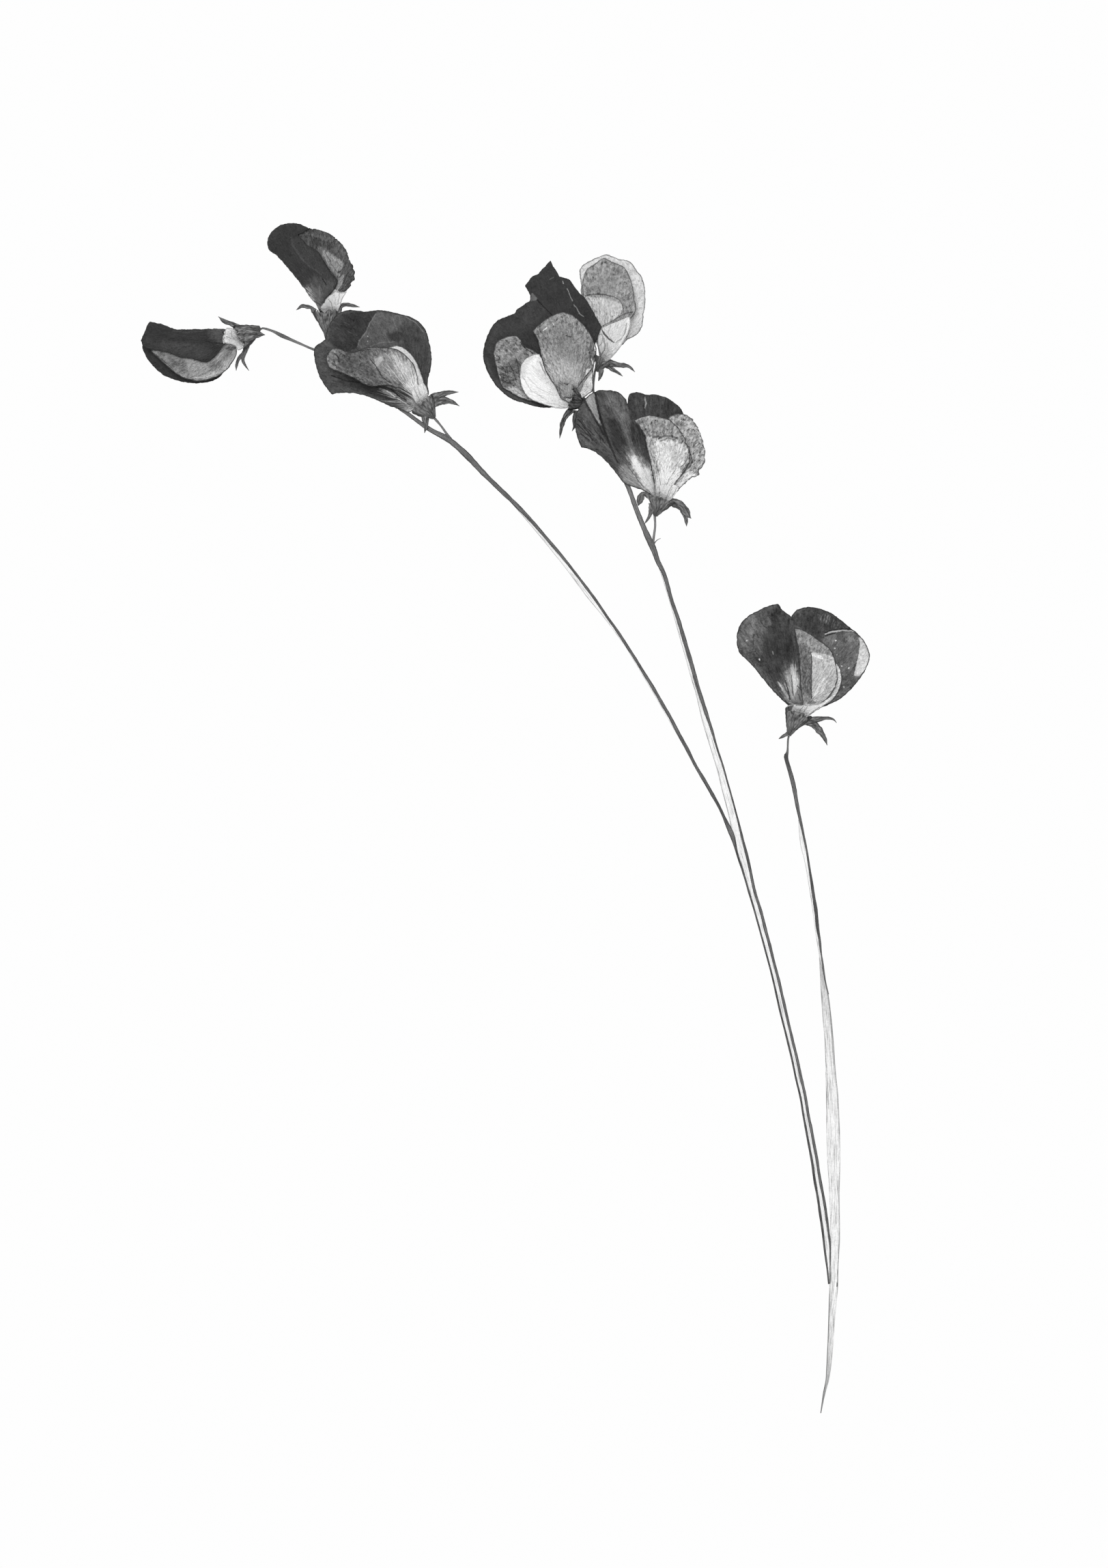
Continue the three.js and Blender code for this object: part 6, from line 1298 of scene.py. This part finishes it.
upper_wing(
    "f",
    left=[(-0.6, 0.5), (-1.1, 4), (-1.9, 8), (-2.7, 12), (-3.5, 15.2), (-4.6, 16.8), (-5.6, 18.2)],
    right=[(1.9, 0.4), (2.9, 1.9), (4.5, 4.2), (6.2, 6.4), (7.4, 8.8), (7, 11.8), (5.9, 14.4), (4.2, 17),
           (2.1, 18.6), (-0.2, 19.2), (-2.2, 19.4), (-4.2, 19), (-5.6, 18.2)],
    tone=152, grain=(3, 4, 21, 5, 9), crinkle=1.5, frill=1.8,
    zones=(
        (219, 1.2, 1, 1, [(-0.8, 13.7), (1.5, 13.7), (3.7, 13.4), (6.9, 11.6), (6.6, 8.7), (5.1, 6.6),
                          (3.0, 5.5), (0.8, 5.8), (-0.6, 8.7), (-1.3, 11.6)]),
        (190, 0.8, 0.7, 0, [(-2.8, 14.5), (-1.3, 13.7), (-0.6, 8.7), (-0.3, 5.1), (-1.3, 7.3),
                            (-2.1, 10.9)]),
        (200, 1.6, 0.8, 0, [(1.7, 12.8), (3.9, 11.9), (4.6, 9.1), (3.3, 5.8), (2.1, 8.7)]),
        (236, 1.2, 0.8, 0, [(0.1, 10.9), (2.1, 10.9), (3.3, 8.3), (1.9, 5.8), (0.5, 7.3)]),
        (266, 1.6, 1, 1.5, [(-0.3, 5.8), (1.9, 6.6), (4.4, 6.9), (5.3, 5.5), (4.4, 3.0), (3.3, 0.1),
                            (-0.4, 0.1), (-0.6, 3.0)]),),
    marks=(
        (112, [(-1.3, 14.2, 0.1), (-0.3, 14.5, 0.2), (0.5, 14.3, 0.1)]),
        (98, [(0.1, 13.9, 0.1), (1.5, 14.6, 0.18), (3.3, 14.5, 0.2), (4.5, 14.0, 0.1)]),
        (122, [(0.5, 13.4, 0.12), (2.2, 14.0, 0.16), (3.8, 13.7, 0.1)]),
        (235, [(1.0, 13.2, 0.1), (2.1, 13.0, 0.14)]),
        (128, [(7.1, 12.0, 0.08), (7.0, 10.1, 0.1), (6.3, 8.3, 0.1), (5.2, 7.1, 0.07)]),
        (150, [(-0.4, 8.7, 0.06), (0.1, 5.8, 0.06), (0.5, 3.0, 0.06)]),
        (150, [(4.2, 6.9, 0.06), (2.6, 4.4, 0.06), (1.1, 1.9, 0.06), (0.1, 0.4, 0.06)]),))
upper_wing(
    "g",
    left=[(1, 0.9), (0.5, 5.6), (0.2, 10.4), (0, 13.6), (-0.5, 16.8), (-1.1, 20)],
    right=[(2.6, 0.4), (4, 1.9), (5.9, 2.9), (7.8, 5), (9, 7.7), (8.8, 10.9), (8.2, 13.4), (7, 15.4),
           (4.8, 17.1), (2.6, 18.7), (0.5, 19.8), (-1.1, 20)],
    tone=150, grain=(6, 6, 11, 6, 5),
    zones=(
        (112, 1.2, 1, 0, [(0.0, 16.0), (1.6, 16.0), (2.8, 14.4), (2.9, 11.2), (3.1, 7.2), (2.9, 4.0),
                          (1.6, 4.3), (0.4, 6.4), (0.2, 10.4), (-0.6, 16.0)]),
        (198, 0.25, 1, 0, [(3.0, 14.4), (4.8, 14.2), (6.8, 13.7), (8.4, 12.7), (9.0, 10.6), (9.0, 8.0),
                           (8.4, 5.5), (7.3, 3.7), (6.0, 2.8), (4.8, 2.4), (3.2, 3.3), (3.0, 6.0),
                           (3.1, 9.8)]),
        (246, 0.2, 1, 0, [(-2.0, 1.8), (2.0, 2.2), (6.0, 2.6), (7.6, 2.9), (4.4, 0.6), (2.2, -0.8),
                          (-0.3, 0.6)]),),
    marks=(
        (80, [(2.8, 14.4, 0.12), (3.0, 12.2, 0.12), (2.8, 8.6, 0.14), (3.0, 3.5, 0.1)]),
        (245, [(3.2, 13.9, 0.3), (4.8, 13.3, 0.35), (5.8, 12.7, 0.1)]),
        (235, [(3.7, 4.3, 0.2), (4.8, 6.6, 0.3), (6.0, 8.5, 0.1)]),
        (235, [(5.0, 4.7, 0.2), (5.8, 6.4, 0.25), (6.6, 7.7, 0.1)]),))


# Claws: the narrow white feet of the petals, folded over each other where they come out of the cup.
# They are smooth, and so thin that only their edges and folds show grey.
def feet(letter, layer, left, right, rim, tone=256, claw=(256, 2), grain=(5, 2, 0, 2, 3), **looks):
    """A bloom's claws, on top of its petals, and dipped deep into its cup."""
    open_petal("feet", "keel", "keel", letter, layer, left, right, tone, claw, grain, (40, 9), rim=rim,
               dip=0.95, frill=0.3, **looks)


feet(
    "a", 4.6,
    left=[(1, 1.3), (-0.4, 2), (-1.4, 2.3), (-2.5, 2.4), (-2.9, 1.9), (-3.1, 0.9)],
    right=[(1.7, -1.2), (1, -2.4), (0, -2.8), (-0.5, -1.9), (-1.6, -1.4), (-2.9, -1.2), (-3.3, -0.5),
           (-3.2, 0.1)],
    grain=(4, 2, 0, 2, 3), rim=190,
    marks=(
        (190, [(-1.6, 1.7, 0.06), (-1.4, 0.5, 0.08), (-0.4, -0.7, 0.06)]),
        (195, [(-2.6, 0.4, 0.06), (-1.6, -0.1, 0.06)]),
        (205, [(0.0, 0.2, 0.06), (0.5, -1.5, 0.06)]),))
feet(
    "b", 3.5,
    left=[(-1.1, -1), (-1.7, -0.3), (-1.4, 0.7), (-0.3, 2.4), (1.3, 3.5), (1.9, 4.1), (2.2, 3.7)],
    right=[(2.1, -1), (2.9, 0.6), (3.4, 2.1), (4.4, 3.8), (4.4, 3.8), (3.2, 3.5), (2.5, 3.6)],
    grain=(4, 2, 0, 2, 3), rim=190,
    marks=(
        (165, [(0.1, 2.0, 0.05), (0.9, 0.9, 0.07), (1.1, -0.5, 0.05)]),
        (175, [(2.7, 3.4, 0.05), (2.3, 0.9, 0.06)]),
        (150, [(-0.6, 1.9, 0.06), (-1.4, 0.6, 0.06)]),
        (200, [(1.5, 2.8, 0.05), (1.8, 1.7, 0.06)]),))
feet(
    "c", 3.4,
    left=[(-0.7, 0.1), (-1.2, 0.9), (-1.6, 1.8), (-1.8, 2.7), (-1.2, 3.5)],
    right=[(2, 1.8), (1.8, 3.1), (1.3, 4.3), (0.6, 4.9), (-0.2, 4.3)],
    rim=228,
    marks=(
        (190, [(0.2, 6.3, 0.05), (1.2, 3.1, 0.06)]),
        (165, [(-1.8, 4.7, 0.05), (-0.5, 1.8, 0.06), (0.2, 0.6, 0.06)]),
        (185, [(-0.8, 5.1, 0.06), (0.2, 1.8, 0.06)]),))
feet(
    "e", 3.5,
    left=[(-0.5, 0.2), (-1.1, 2), (-1.4, 4.2), (-0.9, 6.2), (-0.2, 6.8)],
    right=[(1.8, -0.2), (3.8, 2.2), (5.4, 5), (6.3, 7.3), (6.2, 9.1), (5.9, 9.4)],
    tone=236, claw=(246, 2), grain=(7, 3, 0, 3, 5), rim=195,
    marks=(
        (196, [(1.8, 0.2, 0.2), (3.0, 1.7, 0.2), (4.7, 3.7, 0.2), (5.9, 5.9, 0.2), (6.2, 8.6, 0.2)]),
        (254, [(1.3, -0.4, 0.3), (2.1, 0.8, 0.3), (4.1, 3.2, 0.32), (5.5, 5.9, 0.32), (5.9, 8.8, 0.3)]),
        (172, [(5.3, 7.9, 0.1), (5.0, 5.6, 0.14), (4.0, 4.2, 0.12), (2.8, 3.3, 0.06)]),
        (150, [(-2.1, 3.3, 0.07), (-1.9, 4.3, 0.08), (-1.3, 5.1, 0.08), (-0.5, 5.4, 0.07),
               (-0.1, 4.8, 0.07), (-0.4, 3.3, 0.08), (-1.3, 2.2, 0.08), (-2.0, 2.6, 0.06)]),
        (158, [(0.0, 4.2, 0.1), (0.3, 2.6, 0.14), (0.1, 1.5, 0.12), (-0.6, 0.5, 0.12)]),
        (185, [(0.8, 3.3, 0.1), (1.0, 1.7, 0.1), (0.5, 0.2, 0.08)]),
        (205, [(1.6, 7.3, 0.1), (1.1, 5.5, 0.1), (1.8, 4.2, 0.1)]),
        (205, [(3.3, 7.7, 0.1), (2.9, 5.9, 0.1)]),
        (88, [(-0.3, 6.4, 0.1), (0.1, 5.4, 0.16), (0.9, 4.5, 0.18), (1.8, 3.8, 0.16),
              (2.5, 3.4, 0.08)]),))
feet(
    "f", 3.5,
    left=[(-0.4, 0.2), (-0.5, 1.2), (-0.3, 2.1), (0.1, 2.8), (0.8, 3.1)],
    right=[(3.4, 0.1), (3.9, 0.9), (4.4, 1.6), (4.7, 2.2), (4.3, 2.9), (3.3, 3.2)],
    rim=235,
    marks=(
        (150, [(1.9, 0.1, 0.05), (2.7, 2.2, 0.06), (3.7, 4.0, 0.06), (4.5, 5.3, 0.05)]),
        (150, [(3.3, 0.4, 0.06), (4.2, 2.2, 0.07), (5.3, 4.0, 0.06), (7.3, 5.8, 0.06)]),
        (165, [(0.1, 3.0, 0.06), (0.3, 1.2, 0.06)]),
        (175, [(2.4, 0.4, 0.05), (3.3, 2.6, 0.05)]),))
feet(
    "g", 3.5,
    left=[(-0.6, -1.4), (-2, -0.5), (-2.7, 0.6), (-2.9, 1.5), (-2, 2.1), (-0.3, 2.1), (1.6, 2),
          (3.6, 2.1), (5, 2.4), (6, 2.9)],
    right=[(0.9, -1.4), (2, -0.9), (2.8, 0), (3.8, 0.6), (5.2, 1.5), (6.3, 2.3), (7.5, 3.3), (8.1, 4),
           (7.5, 4)],
    rim=200,
    zones=(
        (112, 0.4, 0.9, 0, [(-3.5, 2.5), (-1.4, 2.5), (-1.7, 0.7), (-2.2, -0.1), (-3.5, 0.1)]),),
    marks=(
        # painted shadow: the dark line that the front wing's lower edge casts on the claws
        (90, [(-0.7, 1.9, 0.07), (2.0, 2.1, 0.09), (4.4, 2.2, 0.1), (6.0, 2.9, 0.07)]),
        (150, [(0.3, 0.9, 0.06), (0.9, 1.7, 0.06)]),
        (150, [(1.2, 0.5, 0.06), (2.0, 1.7, 0.06)]),
        (140, [(2.0, -0.7, 0.06), (3.2, 0.4, 0.06), (4.8, 1.6, 0.06)]),))


# Calyces: the small green cup at the end of each side stem that held the petals, pressed flat, with
# ribs that run on into long pointed teeth.
CREASE_TONE, BODY_TONE, EDGE_TONE = 82.0, 118.0, 66.0
calyx_skin, tree, shader = plant_skin("dried_calyx", 0.75)
lie = mark(tree, "lie")["Vector"]
_, side, shade = parts(tree, mark(tree, "rib")["Vector"])
fibres = flecks(tree, lie, 4.2, 0.6, 3.0)
specks = flecks(tree, lie, 2.4, 1.0, 3.0, 6.0)
crease = maths(tree, "ABSOLUTE", flecks(tree, lie, 1.3, 0.22, 2.0, 31.0))
tone = ramp(tree, crease, 0.0, 0.07, CREASE_TONE, BODY_TONE)
tone = laid_over(tree, tone, (fibres, 175.0), (specks, 95.0))
tone = between(tree, ramp(tree, maths(tree, "ABSOLUTE", side), 0.8, 0.98), tone, EDGE_TONE)
tone = maths(tree, "ADD", tone, shade)
finish_skin(tree, shader, tone, fibres, 0.35)


CUP_CORNERS, CUP_ROWS, LIP_ROWS = 40, 18, 9
TOOTH_CORNERS, TOOTH_ROWS = 12, 22


def cup(letter, foot, rim, width, depth, belly, teeth, shade=0.0):
    """A bloom's cup from its foot to its rim, x, y and z, with a lip turned in and its teeth. A tooth's
    points are x, y, width and height above the page. Belly is how full its sides are."""
    seed = ord(letter)
    at = np.array([*BEDS[letter][0], 0])
    foot, rim = np.array(foot, float), np.array(rim, float)
    # Rings from the foot to the rim: how far along, how wide and how deep. The lip turns back in.
    shape = smooth_line([(0, 1.0, 0.9), (0.3, (0.34 + belly) * width, 0.5 * depth),
                         (0.65, (0.68 + belly) * width, 0.82 * depth), (1, width, depth),
                         (1.1, 1.04 * width, depth)], CUP_ROWS)
    shape = np.vstack([shape, shape[::-1][:LIP_ROWS] - np.array([0, 0.5, 0.5])])
    across = np.array([rim[1] - foot[1], foot[0] - rim[0], 0])
    across = across / np.linalg.norm(across)
    # Ribs down its sides and a wavy rim.
    turns = np.linspace(0, 2 * math.pi, CUP_CORNERS + 1)
    around = np.stack([turns * 3, np.full(turns.shape, seed)], axis=1)
    around[-1] = around[0]
    ribbed = waver(around, 1.9, seed)
    lobed = 0.02 * ribbed + 0.06 * np.sin(turns * 3 + seed)
    swell = 1 + lobed * np.clip(shape[:, 0], 0.1, 1)[:, None]
    notched = 0.02 * np.sin(turns * 4 + seed) + 0.03 * waver(around, 1.2, seed + 3) - 0.02
    lip = 1 + notched * (shape[:, 0] ** 6)[:, None]
    centre = foot + (rim - foot) * (shape[:, :1, None] * lip[..., None])
    net = centre + across * (shape[:, 1:2] / 2 * np.cos(turns) * swell)[..., None]
    net = net + np.array([0, 0, 1]) * (shape[:, 2:] / 2 * np.sin(turns) * swell)[..., None]
    rough = 0.07 * waver(net[..., :2], 1.3, seed) * np.clip(3 * shape[:, 0], 0, 1)[:, None]
    net = net + across * (rough * np.sign(np.cos(turns)))[..., None]
    net[..., 2] = np.maximum(net[..., 2], 0.03)
    run = np.broadcast_to(shape[:, :1] * np.linalg.norm(rim - foot), net.shape[:2])
    round_it = np.broadcast_to(turns * 1.6, net.shape[:2])
    bm = bmesh.new()
    lay_net(bm, net + at, {
        "lie": np.dstack([round_it, run, np.zeros(run.shape)]),
        "rib": np.dstack([np.broadcast_to(ribbed, run.shape), np.broadcast_to(np.cos(turns), run.shape),
                          np.full(run.shape, shade)])})
    for k, points in enumerate(teeth):
        line = smooth_line(points, TOOTH_ROWS)
        run = along(line)
        spot = line[:, :2]
        wide = line[:, 2] * (1 + 0.10 * waver(spot, 3.0, k + 1.0) + 0.08 * waver(spot, 1.1, k + 2.0))
        wide[-4:] *= np.array([0.9, 0.75, 0.55, 0.35])
        turns = np.linspace(0, 2 * math.pi, TOOTH_CORNERS + 1)
        side = sideways(line)
        place = spot[:, None] + side[:, None] * (np.cos(turns) * wide[:, None] / 2)[..., None]
        # A tooth is folded a little along its middle line, like a leaf.
        thick = np.minimum(0.7, 0.2 + 0.6 * wide)[:, None]
        fold = 0.14 * np.abs(np.cos(turns)) * np.clip(wide, 0, 1)[:, None]
        level = line[:, 3:4] + thick / 2 * (1 + np.sin(turns)) * 0.9 + fold
        blank = np.ones(level.shape)
        lay_net(bm, np.dstack([place + at[:2], level]), {
            "lie": np.dstack([blank * np.cos(turns) * 0.8 + 3 * k, blank * run[:, None] + 5, blank]),
            "rib": np.dstack([blank * np.cos(turns * 2), blank * np.cos(turns), blank * shade / 2])})
    piece_of(f"cup_{letter}", bm, calyx_skin, f"calyx_{letter}", closed=True)


cup("a", foot=(5, 2.9, 0.9), rim=(0.6, 0.5, 2.4), width=5.9, depth=4.4, belly=0.14, teeth=[
    [(0.8, 2.2, 1.6, 1.6), (-1.6, 3.6, 1.2, 1.2), (-3.4, 4.3, 1, 0.8), (-4.9, 5.5, 0.3, 0.6)],
    [(0.8, 0.3, 2.8, 3.6), (2.2, 0.6, 2.8, 3.7), (3.4, 1, 2.6, 3.3), (4.4, 1.2, 1.9, 2.2),
     (5.3, 1.2, 0.9, 1.2), (6.1, 1.2, 0.3, 0.6)],
    [(1.8, -0.6, 1.6, 1.2), (1.2, -2.9, 1, 0.8), (-0.1, -4.5, 0.9, 0.6), (-0.6, -6, 0.7, 0.5),
     (-0.7, -7.2, 0.3, 0.5)],
    [(2.3, -0.4, 1.6, 1.2), (1.5, -2.9, 0.8, 0.9), (0.9, -4.6, 0.8, 0.7), (1.4, -5.9, 0.6, 0.6),
     (2.3, -7.2, 0.3, 0.5)]])
cup("b", foot=(-0.3, -7, 0.9), rim=(-0.5, -1.2, 2.4), width=5.9, depth=4.4, belly=0, teeth=[
    [(-3.2, -0.8, 1.3, 2.6), (-4, 0.2, 1.1, 1.8), (-5.1, 0.5, 1, 1.2), (-6.2, 0.7, 0.8, 0.9),
     (-7, 0.2, 0.5, 0.8), (-7.6, -0.2, 0.3, 0.6)],
    [(2.3, -1.6, 1.3, 2.6), (2.5, -0.3, 1.2, 1.9), (3.1, 0.7, 1, 1.4), (4.2, 1, 0.9, 1.1),
     (5.7, 0.8, 0.7, 0.8), (7.3, 0.5, 0.3, 0.6)]])
cup("c", foot=(3.4, -3.1, 0.9), rim=(0.8, 0, 2.4), width=6.2, depth=4.2, belly=0.12, teeth=[
    [(1.9, 0.4, 2.4, 1.6), (3.5, 1.6, 2, 1.4), (4.8, 2.2, 1.6, 1.2), (6.7, 2.8, 1, 0.8),
     (9.1, 3, 0.3, 0.5)],
    [(2.7, -0.2, 2, 1.5), (4.7, 0.8, 1.9, 1.2), (6.3, 0.9, 1.5, 0.9), (7.8, 0.5, 0.9, 0.8),
     (9.3, -0.3, 0.3, 0.5)],
    [(1.1, -1.2, 2.2, 1.6), (1.3, -3.3, 1.7, 1.4), (1.5, -5, 1, 1.35),
     (1.1, -6.7, 0.3, 1.3)]])
cup("d", foot=(4, 0, 0.9), rim=(0.1, 1.1, 2.4), width=4.9, depth=4.2, belly=0.12, shade=-38, teeth=[
    [(1, 2.1, 1.3, 3), (0.8, 3.1, 0.9, 2.9), (0.5, 4, 0.3, 2.8)],
    [(0.1, -1.1, 1.5, 1.6), (-1.3, -2.5, 1.2, 1.2), (-2.3, -4.6, 1.1, 0.8), (-2.9, -7.9, 0.3, 0.5)],
    [(1, -1.4, 1.3, 1), (0.5, -3.9, 0.8, 0.6), (0.6, -5, 0.6, 0.4),
     (0, -6.2, 0.3, 0.4)]])
cup("e", foot=(-1.8, -3, 0.9), rim=(-0.2, -0.7, 2.2), width=3.8, depth=4.0, belly=0.08, teeth=[
    [(0.2, -0.9, 1.8, 1.4), (3.4, -1.6, 1.2, 0.9), (5.8, -1.9, 0.8, 0.6), (7.4, -3.2, 0.3, 0.4)],
    [(0, -1.2, 1.6, 1), (2.2, -2.7, 1, 0.6), (3.4, -3.4, 0.7, 0.4), (4.5, -4.2, 0.3, 0.3)],
    [(-0.5, -1.6, 1.4, 1.4), (-0.7, -4, 1, 1.3), (-1.2, -5.4, 0.5, 1.3)]])
cup("f", foot=(-0.7, -4, 0.9), rim=(0.6, -0.2, 2.4), width=6.2, depth=4.2, belly=0.06, teeth=[
    [(2, -0.6, 2.2, 1.6), (3.7, -0.9, 2, 1.3), (5.3, -1.6, 1.9, 0.9), (6.5, -3, 1.8, 0.7),
     (7.2, -4, 1.2, 0.55), (7.8, -4.6, 0.3, 0.5)],
    [(3.3, -1.4, 1, 1.2), (5.3, -2.1, 1.3, 0.8), (6.3, -3.7, 1.3, 0.5), (6.6, -5.1, 0.9, 0.35),
     (6.7, -6.4, 0.3, 0.3)],
    [(-1.2, -0.3, 1.5, 1.9), (-2.4, 0.7, 1.3, 1.8), (-3.4, 1.1, 1.4, 1.7), (-4, 0.4, 1.5, 1.6),
     (-4.4, -0.7, 1.5, 1.5), (-4.7, -1.6, 1, 1.4)],
    [(-1.3, -1.2, 1.9, 1.5), (-1.6, -2.8, 1.3, 1.4), (-2.2, -4.4, 0.7, 1.35),
     (-3.2, -5.9, 0.3, 1.35)]])
cup("g", foot=(-2.3, -5.1, 0.9), rim=(-0.3, -0.1, 2.4), width=6.2, depth=4.4, belly=0.04, teeth=[
    [(0.8, -1.8, 1.8, 1.6), (4.5, -1.3, 1.3, 1.1), (6.7, -1, 0.8, 0.8), (8.2, -1.3, 0.5, 0.6),
     (9, -2.1, 0.3, 0.5)],
    [(0.6, -1.8, 1.6, 1.1), (3.4, -2.4, 1.5, 0.9), (5, -4, 1.5, 0.7), (6.2, -5.8, 0.9, 0.4),
     (6.8, -7.4, 0.3, 0.4)],
    [(-1.8, -4.4, 1.1, 0.9), (-3.3, -5.1, 0.8, 0.6), (-4.6, -5.9, 0.3, 0.5)]])


# The page: the plain white sheet of paper under the spray. It glows evenly, because a scanner's light
# leaves no shadows on it.
PAGE_HALF_WIDTH = 2000.0
PAGE_LEVEL = -0.2
PAGE_GLOW = 0.99
bm = bmesh.new()
bmesh.ops.create_grid(bm, x_segments=1, y_segments=1, size=PAGE_HALF_WIDTH * MM)
bmesh.ops.translate(bm, verts=bm.verts, vec=(0, 0, PAGE_LEVEL * MM))
white = bpy.data.materials.new("page_white")
white.use_nodes = True
glow = white.node_tree.nodes["Principled BSDF"]
glow.inputs["Base Color"].default_value = (0, 0, 0, 1)
glow.inputs["Specular IOR Level"].default_value = 0
glow.inputs["Emission Color"].default_value = (1, 1, 1, 1)
glow.inputs["Emission Strength"].default_value = PAGE_GLOW
page = object_of("page", bm, white)


# Light: a dim white sky, and one broad soft lamp from almost straight above, so that the page shows no
# shadows.
SKY_STRENGTH, LAMP_STRENGTH = 0.41, 2.25
world = bpy.data.worlds.new("sky")
world.use_nodes = True
sky = world.node_tree.nodes["Background"]
sky.inputs["Color"].default_value = (1, 1, 1, 1)
sky.inputs["Strength"].default_value = SKY_STRENGTH
bpy.context.scene.world = world
lamp = bpy.data.objects.new("lamp", bpy.data.lights.new("lamp", "SUN"))
lamp.data.energy = LAMP_STRENGTH
lamp.data.angle = math.radians(30)
lamp.rotation_euler = (math.radians(-7), math.radians(-5), 0)
bpy.context.scene.collection.objects.link(lamp)
bpy.context.scene.view_settings.view_transform = "Standard"


# Camera: straight above the middle of the page, high enough to show the whole sheet.
PAGE_MIDDLE = (11.28, 8.24)
CAMERA_HEIGHT = 1022.4
camera = bpy.data.objects.new("camera", bpy.data.cameras.new("camera"))
camera.data.lens = 100
camera.data.sensor_width = 36
camera.data.clip_start = 0.05
camera.data.clip_end = 50
camera.location = (PAGE_MIDDLE[0] * MM, PAGE_MIDDLE[1] * MM, CAMERA_HEIGHT * MM)
bpy.context.scene.collection.objects.link(camera)
bpy.context.scene.camera = camera
